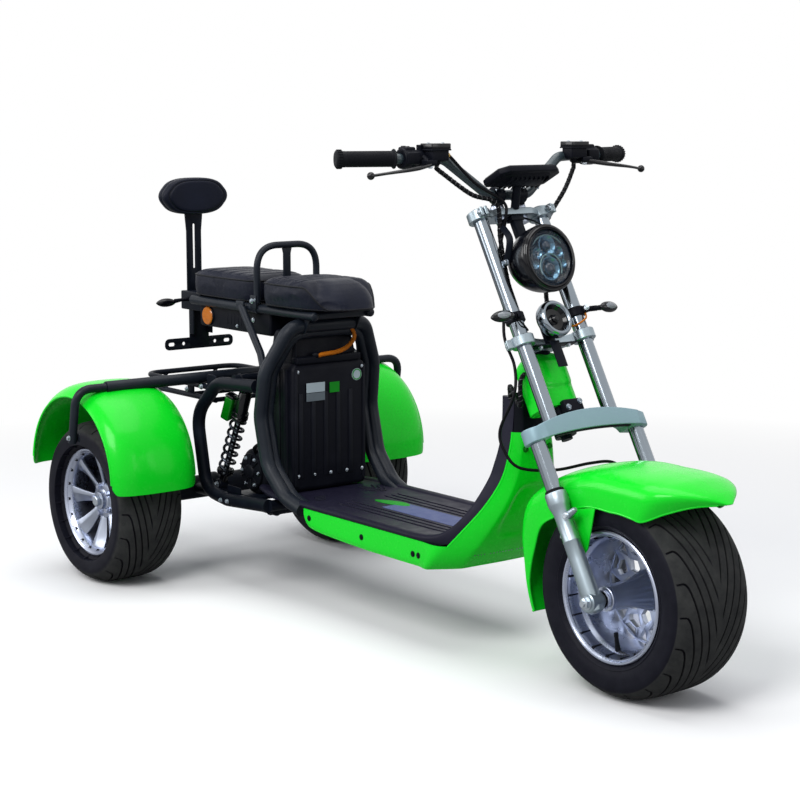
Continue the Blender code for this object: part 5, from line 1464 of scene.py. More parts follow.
def leaf_lamp(side, centre, half, tall, grow=1.0, squash=1.0, facing_x=0):
    """Pointed lamp along Y. Where facing_x is 1 or -1, only its front or its rear half swells."""
    x, y, z = centre
    rows = []
    for i in range(25):
        t = -1 + 2 * i / 24
        width = max(0.00005, 1 - abs(t) ** 2.2) ** (0.62 if t * side < 0 else 0.8)
        row = []
        for a in around(24):
            swell = facing_x * max(0.0, facing_x * math.cos(a)) if facing_x else math.cos(a)
            row.append((
                x + 0.01 * width * squash * swell, y + t * half * grow, z + tall * width * grow * math.sin(a),
            ))
        rows.append(row)
    return skin(rows)


def front_signal(side):
    """Leaf lamp on a flexible stalk, from a ring clamp on the fork tube."""
    y, at = side * TUBE_HALF, 0.622
    ring = collar(y, at, TUBE_R + 0.0052, 0.02)
    ears, head = split_lug(y, at, (0.9, side * 0.5, 0), 0.014)
    ears = moved(ears, Matrix.Translation((-0.0045, -side * 0.002, 0)))
    stalk = swept([(0.018, side * 0.096, at), (0.026, side * 0.116, at - 0.002), (0.034, side * 0.134, at - 0.0045)],
                  [0.0055, 0.0045, 0.0062], 18)
    rings = rowed(turned([(0.004, 0), (0.0062, 0), (0.0062, 0.0016), (0.004, 0.0016)], 20, closed=True),
                  5, (0.024, side * 0.108, at - 0.0012), (0.0012, side * 0.004, -0.0004))
    frame_at = Matrix.Translation((0.038, side * 0.154, at - 0.006)) @ Matrix.Rotation(0.15 * side, 4, "Z")
    shell = moved(leaf_lamp(side, (0.0, 0.0, 0.0), 0.03, 0.0125), frame_at)
    pane = moved(leaf_lamp(side, (0.0, 0.0, 0.0), 0.03, 0.0125, 0.84, 1.14, 1), frame_at)
    wire = swept(flowing([(0.02, side * 0.098, at - 0.008), (0.022, side * 0.09, at - 0.022),
                          (0.006, side * 0.068, at - 0.03),
                          (-0.012, side * 0.06, at - 0.02)], 6), 0.002, 8)
    parts = [(gathered([ring, ears]), "plastic"), (gathered([stalk, rings]), "plastic"), (shell, "gloss"),
             (pane, "pane"), (head, "steel"), (wire, "orange" if side > 0 else "cable")]
    return [(fork(shape), look) for shape, look in parts]


LOOM_R = 0.0055
WRAP_PITCH = 0.0115


def wrapped(path):
    """A wire bundle with a spiral of tape wound round it."""
    core = swept(path, LOOM_R * 0.9, 14)
    points = [Vector(p) for p in path]
    spiral = []
    travelled = 0.0
    side = None
    for a, b in zip(points, points[1:]):
        run = b - a
        steps = max(1, int(run.length / (WRAP_PITCH / 10)))
        tangent = run.normalized()
        if side is None:
            side = tangent.cross(Vector((0.3, 0.9, 0.2))).normalized()
        side = (side - tangent * side.dot(tangent)).normalized()
        other = tangent.cross(side)
        for i in range(steps):
            turn = 2 * math.pi * travelled / WRAP_PITCH
            wound = (side * math.cos(turn) + other * math.sin(turn)) * LOOM_R * 0.86
            spiral.append(a + run * (i / steps) + wound)
            travelled += run.length / steps
    return [(core, "cable"), (swept(spiral, LOOM_R * 0.2, 6), "wrap")]


TANK_LOW = 1.089


def steering_routes():
    loom_right = [
        ahead(0.434, -0.196, TANK_LOW - 0.0009), ahead(0.434, -0.196, 1.072), ahead(0.412, -0.12, 1.018),
        TO_FORK @ Vector((0.04, -0.064, 0.872)), TO_FORK @ Vector((0.012, -0.062, 0.8)),
        TO_FORK @ Vector((-0.012, -0.0605, 0.7)), TO_FORK @ Vector((-0.026, -0.05, 0.602)),
    ]
    loom_left = [
        ahead(0.434, 0.2, TANK_LOW - 0.0009), ahead(0.434, 0.2, 1.068), ahead(0.438, 0.178, 1.02),
        TO_FORK @ Vector((-0.034, 0.128, 0.85)), TO_FORK @ Vector((-0.038, 0.09, 0.76)),
        TO_FORK @ Vector((-0.04, 0.058, 0.67)), TO_FORK @ Vector((-0.038, 0.046, 0.602)),
    ]
    hose = [
        ahead(0.432, -0.1761, 1.1), ahead(0.432, -0.164, 1.1), ahead(0.405, -0.112, 1.04),
        TO_FORK @ Vector((0.05, -0.053, 0.872)), TO_FORK @ Vector((0.037, -0.052, 0.836)),
        TO_FORK @ Vector((-0.02, -0.052, 0.775)), TO_FORK @ Vector((-0.034, -0.062, 0.69)),
        TO_FORK @ Vector((-0.038, -0.097, 0.6)), TO_FORK @ Vector((-0.038, -0.0975, 0.53)),
        TO_FORK @ Vector((-0.05, -0.115, 0.47)),
        ahead(0.3, -0.13, 0.525), ahead(0.284, -0.13, 0.48), ahead(0.258, -0.11, 0.4475),
        ahead(0.236, -0.03, 0.437), ahead(0.212, 0.05, 0.446), ahead(0.196, 0.1, 0.445),
        ahead(0.176, 0.131, 0.42), TO_FORK @ Vector((-0.0265, 0.136, 0.235)), TO_FORK @ Vector((-0.027, 0.134, 0.08)),
    ]
    return loom_right, loom_left, hose


def frame_route(side):
    return [
        on_axis(0.52) + Vector((0, side * 0.0269, 0)), on_axis(0.52) + Vector((0, side * 0.05, 0)),
        on_axis(0.505, -0.008) + Vector((0, side * 0.066, 0)), on_axis(0.46, -0.034) + Vector((0, side * 0.066, 0)),
        ahead(0.352, side * 0.056, 0.606), ahead(0.368, side * 0.04, 0.57),
    ]


def straight_start(points, steps):
    """Like flowing, but the first stretch stays straight."""
    points = [Vector(p) for p in points]
    return [points[0]] + flowing(points[1:], steps)


def front_axle():
    reach = 0.1635
    pieces = [rod((0, -reach, 0), (0, reach, 0), 0.0084, None, 32)]
    for side in (-1, 1):
        washer = turned([(0.0085, 0), (0.0138, 0), (0.0142, 0.0008), (0.0138, 0.002), (0.0085, 0.002)], 32,
                        axis="Z", closed=True)
        nut = swept([(0, 0, 0), (0, 0, 0.007), (0, 0, 0.0082)], [0.0118, 0.0118, 0.01], 6)
        pieces += [
            placed(washer, (0, side * 0.1595, 0), (0, side, 0)), placed(nut, (0, side * 0.1612, 0), (0, side, 0)),
            rod((0, side * 0.169, 0), (0, side * 0.1735, 0), 0.0068, 0.006, 20),
            turned([(0.0086, -0.006), (0.013, -0.006), (0.013, 0.006), (0.0086, 0.006)], 28, (0, side * 0.1195, 0),
                   closed=True),
        ]
    return [(moved(gathered(pieces), Matrix.Translation(AXLE)), "steel")]


def upper_tube(side):
    y = side * TUBE_HALF
    return [(fork(rod((0, y, CROWN_LOW + 0.0223), (0, y, TOP_AT + CLAMP_HALF_H), TUBE_R, None, 56)), "chrome")]


def build_steering():
    body = "steering"
    dressed("front_axle", front_axle(), body)
    dressed("lower_crown", lower_crown(), body, 30)
    dressed("mid_clamp", mid_clamp(), body)
    dressed("top_clamp", top_clamp(), body)
    dressed("handlebar", [(swept(bar_path(), BAR_TUBE_R, 32), "bar_coat")], body)
    for side, word in SIDES:
        for name, make, slot in (
            ("fork_leg", fork_leg, "silver_alloy"), ("upper_tube", upper_tube, "chrome_tube"),
            ("grip", grip, "grip_rubber"), ("control", control, "black_plastic"),
            ("front_signal", front_signal, "clear_lens"),
        ):
            dressed(name, make(side), body, 38, word)
    dressed("headlight", headlight(), body)
    dressed("horn", horn(), body)
    loom_right, loom_left, hose = steering_routes()
    dressed("loom_right", wrapped(straight_start(loom_right, 10)), body)
    dressed("loom_left", wrapped(straight_start(loom_left, 10)), body)
    dressed("brake_hose", [(swept(straight_start(hose, 8), 0.0034, 14), "cable")], body)
    for side, word in SIDES:
        dressed("frame_loom", wrapped(flowing(frame_route(side), 10)), "chassis", 38, word)


# Skirt, apron and floor

APRON_ROWS = [
    # height, front face, half width
    (0.592, 1.197, 0.046), (0.52, 1.206, 0.052), (0.46, 1.21, 0.062), (0.4, 1.205, 0.076),
    (0.34, 1.19, 0.104), (0.28, 1.165, 0.14), (0.23, 1.135, 0.164), (0.192, 1.1, 0.169),
]
APRON_LINE = []
HOOD_LOW = 0.51
CREASE = 0.74
FLANK = 0.34
DECK_TOP = 0.262
DECK_HALF = 0.17
DECK_FRONT = 1.06
SKIRT_TOP = 0.2495
SKIRT_EDGE = [
    # rear lower corner and lower edge of the skirt
    (0.5652, 0.24), (0.566, 0.231), (0.569, 0.222), (0.574, 0.215), (0.582, 0.2095), (0.592, 0.206),
    (0.61, 0.203), (0.64, 0.2), (0.72, 0.196), (0.82, 0.1925), (0.92, 0.192), (1.0, 0.192),
]


def apron_row(z):
    """Front face and half width of the apron at a height."""
    if not APRON_LINE:
        APRON_LINE.extend(flowing([Vector(row) for row in APRON_ROWS], 8))
    for high, low in zip(APRON_LINE, APRON_LINE[1:]):
        if low.x <= z <= high.x:
            row = high.lerp(low, (high.x - z) / max(high.x - low.x, 1e-9))
            return row.y, row.z
    row = APRON_LINE[0] if z > APRON_LINE[0].x else APRON_LINE[-1]
    return row.y, row.z


def emboss(z, across):
    """How far the rounded panel on the apron's face is sunk."""
    high, low, half = 0.392, 0.268, 0.6
    u = (z - (high + low) / 2) / ((high - low) / 2)
    v = across / half
    edge = (abs(u) ** 4 + abs(v) ** 4) ** 0.25
    return 0.005 * min(1.0, max(0.0, (1.0 - edge) / 0.14))


def front_face(z, across):
    """The apron's face: nearly flat to the crease, then a flank that falls back."""
    x, half = apron_row(z)
    a = abs(across)
    flat = 0.06 * min(a / CREASE, 1.0) ** 2
    soft = max(0.0, a - CREASE + 0.03)
    fall = (FLANK - 0.06) * min(soft / (1 - CREASE + 0.03), 1.0) ** 1.18
    return x - half * (flat + fall) - emboss(z, across)


def apron():
    """One green skin: the skirt along both sides, round the lower corners and up the apron."""
    columns = [-1 + 2 * i / 56 for i in range(57)]
    top = APRON_ROWS[0][0]
    heights = [top - (top - SKIRT_TOP) * i / 60 for i in range(61)]
    rows = [[(front_face(z, c), c * apron_row(z)[1], z) for c in columns] for z in heights]
    split = next(i for i, z in enumerate(heights) if z < HOOD_LOW)
    hood = wall(outward(skin(rows[:split + 1], round_ring=False), Vector((0.9, 0, 0.55))), PANEL_T)
    upper = outward(skin(rows[split:], round_ring=False), Vector((0.9, 0, 0.4)))
    rows = []
    for v in (0.0, 0.12, 0.3, 0.5, 0.7, 0.85, 0.94, 0.985, 1.0):
        inset = 0.003 * max(0.0, (v - 0.85) / 0.15) ** 2
        front = []
        for c in columns:
            low = 0.1995 - 0.0075 * abs(c) ** 3
            z = SKIRT_TOP + (low - SKIRT_TOP) * v
            front.append(Vector((front_face(z, c) - inset, c * (apron_row(z)[1] - inset), z)))
        flanks = []
        for side, end, after in ((-1, front[0], front[2]), (1, front[-1], front[-3])):
            line = []
            for x, low in SKIRT_EDGE:
                z = SKIRT_TOP + (low - SKIRT_TOP) * v
                line.append(Vector((x, side * (DECK_HALF - 0.0015 - inset), z)))
            start = line[-1]
            reach = (end - start).length * 0.4
            heading = (end - after).normalized()
            for i in range(1, 10):
                t = i / 10
                a, d = start + Vector((reach, 0, 0)), end + heading * reach
                line.append(start * (1 - t) ** 3 + a * 3 * t * (1 - t) ** 2 + d * 3 * t * t * (1 - t) + end * t ** 3)
            flanks.append(line)
        rows.append(flanks[0] + front + flanks[1][::-1])
    lower = outward(skin(rows, round_ring=False), Vector((0.8, 0, 0.24)))
    fold = swept([p + Vector((0, 0.0016 if p.y < 0 else -0.0016, 0.0008)) for p in rows[-1]], 0.0026, 8)
    shell = gathered([wall(upper, PANEL_T), wall(lower, 0.0028)])
    folds = [fold]
    for side in (-1, 1):
        line = [Vector((front_face(z, side), side * apron_row(z)[1], z)) for z in heights[split:]]
        folds.append(swept([p + Vector((-0.003, -side * 0.0004, 0)) for p in line], 0.003, 8))
    dot = turned([(0, -0.0012), (0.0013, -0.0012), (0.0016, 0.0004), (0, 0.0004)], 10, axis="X")
    z = 0.23
    row = [-0.66 + 1.32 * i / 26 for i in range(27) if i % 9 != 4]
    dots = spotted(dot, [(front_face(z, across) + 0.0004, across * apron_row(z)[1], z) for across in row])
    z = 0.47
    spots = [(front_face(z, y / apron_row(z)[1]), y, z) for y in (-0.035, 0.035)]
    # apron bolt heads in the darkened copy of the body paint: painted shade
    heads = spotted(bolt(0.0052, 0.0045, hexed=False), spots, facing((1, 0, 0.05)))
    screws = []
    tree = BVHTree.FromBMesh(shell)
    for side in (-1, 1):
        for x, z in ((0.588, 0.229), (0.795, 0.22), (0.985, 0.216), (1.005, 0.216)):
            found, normal = tree.ray_cast(Vector((x, side * 0.3, z)), Vector((0, -side, 0)))[:2]
            screws.append(screw(0.0052, 0.0016, found, normal, hexed=False))
    rear = 0.575
    floor = block((DECK_FRONT - rear, DECK_HALF * 2 - 0.012, 0.003),
                  ((DECK_FRONT + rear) / 2, 0, SKIRT_TOP - 0.0018), 0.0008, 1)
    return [(shell, "green"), (hood, "plastic"), (gathered(folds), "green"), (dots, "silver"),
            (heads, "green_painted_shade"), (gathered(screws), "plastic"), (floor, "frame")]


TRAY_LINE = [
    # upper point (x, z), lower point (x, z), half width
    (0.316, 0.262, 0.316, 0.2505, 0.128), (0.372, 0.262, 0.372, 0.2505, 0.15),
    (0.43, 0.262, 0.43, 0.2505, 0.166), (0.52, 0.262, 0.52, 0.2505, 0.17),
    (0.7, 0.262, 0.7, 0.2505, 0.17), (0.9, 0.262, 0.9, 0.2505, 0.17),
    (0.98, 0.2625, 0.98, 0.2505, 0.17), (1.03, 0.266, 1.03, 0.2505, 0.168),
    (1.062, 0.274, 1.07, 0.2505, 0.162), (1.083, 0.287, 1.099, 0.262, 0.152),
    (1.1, 0.306, 1.116, 0.285, 0.1375), (1.114, 0.334, 1.1376, 0.318, 0.117),
    (1.125, 0.366, 1.156, 0.352, 0.098), (1.134, 0.404, 1.1735, 0.395, 0.078),
    (1.14, 0.436, 1.1805, 0.43, 0.069), (1.144, 0.464, 1.185, 0.46, 0.062),
    (1.146, 0.492, 1.1846, 0.49, 0.057), (1.144, 0.536, 1.183, 0.535, 0.051),
    (1.139, 0.58, 1.179, 0.58, 0.046),
]
GROOVES = (0.051, 0.071, 0.091)


def floor_tray():
    """Moulded floor that sweeps up as the inner leg shield, with a rolled edge along both sides."""
    uppers = flowing([Vector((a, b, e)) for a, b, c, d, e in TRAY_LINE], 9)
    lowers = flowing([Vector((c, d, e)) for a, b, c, d, e in TRAY_LINE], 9)
    rows = []
    for high, low in zip(uppers, lowers):
        half = high.z
        u, w = Vector((high.x, 0, high.y)), Vector((low.x, 0, low.y))
        run = w - u
        thick = run.length
        roll = min(0.026, half * 0.34)
        sunk = 0.0045 * min(1.0, max(0.0, (high.x - 0.335) / 0.02))
        grooved = min(1.0, max(0.0, (high.x - 0.6) / 0.012)) * min(1.0, max(0.0, (1.045 - high.x) / 0.012))
        section = [
            (half - 0.002, thick), (half - 0.0006, thick * 0.8), (half, thick * 0.55),
            (half, min(0.007, thick * 0.5)), (half - 0.0012, 0.0034), (half - 0.0038, 0.001),
            (half - 0.0075, -0.0006), (half - roll * 0.55, -0.0012), (half - roll * 0.8, 0.0002),
            (half - roll * 0.92, 0.0018), (half - roll, sunk * 0.8), (half - roll - 0.003, sunk),
        ]
        for y in reversed(GROOVES):
            y = min(y, half * y / DECK_HALF)
            for dy, down in ((0.0046, 0.0), (0.0036, 1.0), (-0.0036, 1.0), (-0.0046, 0.0)):
                section.append((y + dy * half / DECK_HALF, sunk + 0.0058 * down * grooved))
        section.append((0.0, sunk))
        section += [(-y, depth) for y, depth in section[-2::-1]]
        rows.append([u + run.normalized() * depth + Vector((0, -y, 0)) for y, depth in section])
    tray = skin(rows)
    surface = DECK_TOP - 0.0045
    stripe = plate([(0.7, -0.034), (0.717, -0.036), (1.0, -0.036), (1.004, -0.032), (1.004, 0.032), (1.0, 0.036),
                    (0.717, 0.036), (0.7, 0.034)], surface - 0.0006, surface + 0.001, 0.0005, 1)
    leaf = []
    for a in around(28):
        c, n = math.cos(a), math.sin(a)
        leaf.append((0.68 + 0.052 * c * (1 - 0.25 * n), 0.016 + 0.018 * n + 0.01 * c))
    leaf = plate(leaf, surface - 0.0006, surface + 0.0014, 0.0005, 1)
    bars = []
    across = [((1.012, -0.04), (1.012, 0.04))]
    for i in range(3):
        x = 0.56 - i * 0.02
        line = [(x - 0.048, 0.06 + i * 0.004, 0), (x, 0.088, 0), (x - 0.048, 0.116 - i * 0.004, 0)]
        bars.append(swept([(a, b, surface + 0.0006) for a, b, c in bent(line, 0.012, 5)], 0.0022, 8))
        x = 0.545 - i * 0.016
        across.append(((x, -0.118 + i * 0.01), (x, -0.088 + i * 0.01)))
    bars += [swept([(*spot, surface + 0.0004) for spot in line], 0.0018, 8) for line in across]
    return [(tray, "mat"), (stripe, "mat_grey"), (leaf, "leaf_green"), (gathered(bars), "mat_rib")]


def head_cowl():
    """Bonnet over the head tube: a bright rounded brow, a step, and inner flanks; below it a connector block."""
    low, high = 0.4313, 0.5537
    rows = []
    for i in range(33):
        t = i / 32
        top = max(0.0, (t - 0.74) / 0.26)
        swell = 1.0 - 0.34 * top ** 2.6
        ring = []
        for a in around(72):
            c, n = math.cos(a), math.sin(a)
            x = 0.0405 * swell * math.copysign(abs(c) ** 0.67, c)
            y = 0.0555 * swell * math.copysign(abs(n) ** 0.67, n)
            step = 0.0045 / (1 + math.exp(-((0.36 + 0.1 * n * n) - t) / 0.012)) if c > 0 else 0.0
            ring.append((STEM_X - 0.006 + x - step * abs(c) ** 0.5, y, low + (high - low) * t))
        rows.append(ring)
    shell = skin(rows)
    plug = block((0.022, 0.052, 0.03), (STEM_X + 0.033, 0.012, 0.423), 0.004, 3)
    screws = [screw(0.005, 0.003, (STEM_X + 0.0435, y, z), (1, 0, 0), hexed=False)
              for y, z in ((-0.006, 0.42), (0.03, 0.43))]
    return [(fork(shell), "green"), (fork(plug), "plastic"), (fork(gathered(screws)), "chrome")]


def build_panels():
    for side, word in SIDES:
        shell, rims = rear_fender(side)
        dressed("rear_fender", [(shell, "green"), (rims, "green")], "chassis", 38, word)
    dressed("front_fender", front_fender(), "steering")
    finished("skirt_and_apron", apron(), "chassis", ["apron", "deck_pan"], 34)
    finished("floor_tray", floor_tray(), "chassis", ["foot_mat"], 44)
    dressed("head_cowl", head_cowl(), "chassis")


# Seats

SEAT_SIT = 0.7113
SEATS = {
    # rear end, front end, half width, top, how much the nose narrows
    "driver_seat": (0.275, 0.57, 0.11, 0.785, 0.5),
    "passenger_seat": (-0.065, 0.25, 0.097, 0.783, 0.0),
}
SEAM_DROP = 0.015
SEAM_SHARE = 0.982
PIPING_R = 0.0022


def blown(shape, pressure=4.0, cap=0.003, voxel=0.0045, frames=20):
    """Cloth under pressure from inside, with each point kept within a cap of where it began."""
    start = changed(shape, "REMESH", mode="VOXEL", voxel_size=voxel)
    before = [v.co.copy() for v in start.verts]
    piece = as_object(start)
    cloth = piece.modifiers.new("cloth", "CLOTH")
    cloth.settings.use_pressure = True
    cloth.settings.uniform_pressure_force = pressure
    cloth.settings.effector_weights.gravity = 0.0
    cloth.settings.tension_stiffness = 25.0
    cloth.settings.compression_stiffness = 25.0
    cloth.settings.bending_stiffness = 2.0
    cloth.point_cache.frame_start = 1
    cloth.point_cache.frame_end = frames
    for frame_number in range(1, frames + 1):
        bpy.context.scene.frame_set(frame_number)
    result = as_shape(piece)
    bpy.context.scene.frame_set(1)
    for vert, was in zip(result.verts, before):
        move = vert.co - was
        if move.length > cap:
            vert.co = was + move.normalized() * cap
    return result


def seat_point(sizes, share, angle, height):
    """A point of the pad's plan: share is 0 at the middle and 1 at the rim."""
    rear, front, half, _, nose = sizes
    c, n = math.cos(angle), math.sin(angle)
    along = share * math.copysign(abs(c) ** 0.42, c)
    across = share * math.copysign(abs(n) ** 0.42, n) * (1.0 - nose * max(0.0, along) ** 2)
    return Vector(((rear + front) / 2 + along * (front - rear) / 2, across * half, height))


def seam_height(sizes, x):
    """The seam runs along the top edge, and on the driver's pad falls to the base before the nose."""
    rear, front, _, top, nose = sizes
    edge = top - SEAM_DROP
    if not nose:
        return edge
    fall = min(1.0, max(0.0, (x - (front - 0.1)) / 0.07))
    dip = 0.002 * max(0.0, (rear + 0.05 - x) / 0.05)
    return edge + (SEAT_SIT + 0.006 - edge) * (fall * fall * (3 - 2 * fall)) - dip


def seat_pad(sizes):
    """Firm sides, a sewn crowned top, and on the driver's pad a rounded sloping nose."""
    rear, front, half, top, nose = sizes
    angles = around(96)
    rows = []
    for t, share in ((0.0, 0.955), (0.05, 0.975), (0.25, 0.992), (0.55, 0.998), (0.85, 0.992), (1.0, SEAM_SHARE)):
        ring = []
        for a in angles:
            p = seat_point(sizes, share, a, 0.0)
            p.z = SEAT_SIT + 0.0008 + (seam_height(sizes, p.x) - SEAT_SIT) * t
            ring.append(p)
        rows.append(ring)
    for share in (0.97, 0.94, 0.9, 0.84, 0.76, 0.64, 0.48, 0.3, 0.12, 0.02):
        ring = []
        for a in angles:
            p = seat_point(sizes, share, a, 0.0)
            seam = seam_height(sizes, seat_point(sizes, SEAM_SHARE, a, 0.0).x)
            power = 9.0 - 4.2 * min(1.0, (top - SEAM_DROP - seam) / 0.04)
            p.z = seam + (top - 0.0035 - seam) * (1 - (share / SEAM_SHARE) ** power) + 0.002 * (1 - share)
            ring.append(p)
        rows.append(ring)
    pad = blown(skin(rows))
    last = front - (0.13 if nose else 0.045)
    lines = [rear + 0.045 + (last - rear - 0.045) * i / 5 for i in range(6)]
    for vert in pad.verts:
        co = vert.co
        co.z = min(max(co.z, SEAT_SIT + 0.0005), top + 0.001)
        rise = min(1.0, max(0.0, (co.z - (top - 0.014)) / 0.008))
        inner = min(1.0, max(0.0, (half * 0.84 - abs(co.y)) / 0.008))
        slant = co.x - (0.1 * abs(co.y) if nose else 0.0)
        for line in lines:
            co.z -= 0.004 * rise * inner * math.exp(-((slant - line) / 0.004) ** 2)
    pad = changed(pad, "SUBSURF", levels=1, render_levels=1)
    tree = BVHTree.FromBMesh(pad)
    piping = []
    for share, radius, on_seam in ((SEAM_SHARE, PIPING_R, True), (0.962, 0.0017, False)):
        ring = []
        for a in around(160):
            p = seat_point(sizes, share, a, 0.0)
            p.z = seam_height(sizes, p.x) if on_seam else SEAT_SIT + 0.005
            found, normal = tree.find_nearest(p)[:2]
            ring.append(found + normal * 0.0006)
        piping.append(swept(ring, radius, 8, looped=True))
    stitch = swept([(0, 0, -0.002), (0, 0, 0.002)], 0.0005, 6)
    seams = []
    for line in lines:
        for shift in (-0.0044, 0.0044):
            run = []
            for i in range(41):
                y = -half * 0.82 + half * 1.64 * i / 40
                x = line + shift + (0.1 * abs(y) if nose else 0.0)
                found, normal = tree.ray_cast(Vector((x, y, top + 0.05)), Vector((0, 0, -1)))[:2]
                if found:
                    run.append(found + normal * 0.0001)
            if len(run) > 2:
                seams.append(along_path(stitch.copy(), run, 0.0062))
    stitch.free()
    return [(pad, "leather"), (gathered(piping), "leather_dark"), (gathered(seams), "thread")]


PAD_X = -0.178
PAD_MIDDLE = 0.965


def hexed_ring(x, shrink, per_corner=12):
    """Rounded hexagon that is flat above and below."""
    corners = [(0.066, 0.049), (-0.066, 0.049), (-0.11, 0.0), (-0.066, -0.049), (0.066, -0.049), (0.11, 0.0)]
    corners = [Vector((y * shrink, z * shrink, 0)) for y, z in corners]
    outline = []
    for before, corner, after in zip(corners[-1:] + corners[:-1], corners, corners[1:] + corners[:1]):
        radius = 0.42 if abs(corner.x) < 0.09 * shrink else 0.4
        start, end = corner.lerp(before, radius), corner.lerp(after, radius)
        for i in range(per_corner):
            t = i / (per_corner - 1)
            outline.append(start.lerp(corner, t).lerp(corner.lerp(end, t), t))
    return [(x, p.x, PAD_MIDDLE + p.y) for p in outline]


def backrest():
    """Two moulded halves with a groove between them, and a raised panel on the front."""
    rows = []
    for dx, shrink in (
        (-0.0225, 0.84), (-0.0218, 0.9), (-0.019, 0.955), (-0.014, 0.988), (-0.006, 1.0), (-0.001, 0.996),
        (0.0, 0.974), (0.0016, 0.97), (0.003, 0.98), (0.004, 0.998), (0.01, 1.0), (0.015, 0.99),
        (0.0186, 0.965), (0.0206, 0.925), (0.0214, 0.885), (0.021, 0.866), (0.0202, 0.855), (0.0206, 0.842),
        (0.0224, 0.83), (0.0236, 0.81), (0.0243, 0.77), (0.0246, 0.7), (0.0246, 0.4), (0.0246, 0.1),
    ):
        rows.append(hexed_ring(PAD_X + dx, shrink))
    pad = skin(rows)
    seam = swept(hexed_ring(PAD_X + 0.0206, 0.858), 0.0009, 6, looped=True)
    return [(pad, "leather"), (seam, "leather_dark")]


def build_seats():
    for name, sizes in SEATS.items():
        piece = finished(name + "_cover", seat_pad(sizes), "chassis", [name], 50)
    piece = finished("backrest_cover", backrest(), "chassis", ["backrest_pad"], 60)


# Frame, seat carrier and battery

HOOP_R = 0.018
HOOP_TOP = 0.6712
RAIL_Z = 0.2307
RAIL_HALF = 0.1
RAIL_R = 0.014
LOOP_HALF = 0.17
CROSS_X = 0.2692
CROSS_Z = 0.5288


def bead(at, along, radius, wire=0.0022):
    """A lumpy ring of weld about a tube."""
    ring = []
    turn = Vector(along).to_track_quat("Z", "Y").to_matrix()
    for a in around(40):
        r = radius + 0.0006 + 0.0005 * math.sin(a * 13)
        ring.append(Vector(at) + turn @ Vector((r * math.cos(a), r * math.sin(a), 0)))
    return swept(ring, wire, 8, looped=True)


def main_frame():
    head = fork(turned([
        (0.0129, 0.4016), (0.027, 0.4016), (0.0275, 0.404), (0.0275, 0.413), (0.0258, 0.415), (0.0258, 0.544),
        (0.0275, 0.546), (0.0275, 0.556), (0.0262, 0.5577), (0.0129, 0.5577),
    ], 48, (STEM_X, 0, 0), "Z", closed=True))
    down = swept(bent([on_axis(0.5013), ahead(0.366, 0, 0.592), ahead(0.382, 0, 0.4), ahead(0.444, 0, 0.2247),
                       ahead(0.512, 0, 0.2247)], 0.06, 8), 0.02, 28)
    pieces = [head, down]
    marks = []
    bolts = []
    for side in (-1, 1):
        y = side * RAIL_HALF
        pieces.append(rod((1.04, y, RAIL_Z), (0.42, y, RAIL_Z), RAIL_R, None, 24))
        y = side * LOOP_HALF
        loop = bent([(0.372, y, 0.522), (0.196, y, 0.512), (0.096, y, 0.42), (0.136, y, 0.228), (0.236, y, 0.217),
                     (0.42, y, RAIL_Z)], 0.085, 10)
        pieces.append(swept(loop, 0.0165, 28))
        pieces.append(rod((0.146, y, 0.473), (0.146, side * 0.1528, 0.473), 0.005, None, 14))
        ear = plate([(0.128, 0.478), (0.164, 0.478), (0.168, 0.52), (0.16, 0.526), (0.132, 0.526), (0.124, 0.52)],
                    -0.002, 0.002, 0.0008, 1)
        pieces.append(moved(ear, Matrix.Translation((0, y - side * 0.0145, 0)) @ turning(90, "X")))
        bolts.append(screw(0.0055, 0.0045, (0.146, y + side * 0.0168, 0.498), (0, side, 0)))
        marks.append(bead((CROSS_X, side * 0.152, CROSS_Z), (0, 1, 0), 0.011))
        marks.append(bead((0.42, side * 0.114, RAIL_Z), (1, 0, 0), 0.0138))
        pieces.append(block((0.06, 0.004, 0.03), (0.246, side * 0.1565, 0.236), 0.0015, 2))
        for x in (0.232, 0.262):
            bolts.append(screw(0.005, 0.0045, (x, side * 0.189, 0.2175 + (x - 0.232) * 0.06), (0, side, 0)))
    for x, half, z, radius in (
        (1.03, RAIL_HALF, RAIL_Z, RAIL_R), (0.42, LOOP_HALF, RAIL_Z, RAIL_R), (CROSS_X, LOOP_HALF, CROSS_Z, 0.011),
    ):
        pieces.append(rod((x, -half, z), (x, half, z), radius, None, 24))
    marks.append(bead(on_axis(0.47, -0.022), (0.9, 0, 0.4), 0.02, 0.003))
    return [(gathered([*pieces, *marks]), "frame"), (gathered(bolts), "steel")]


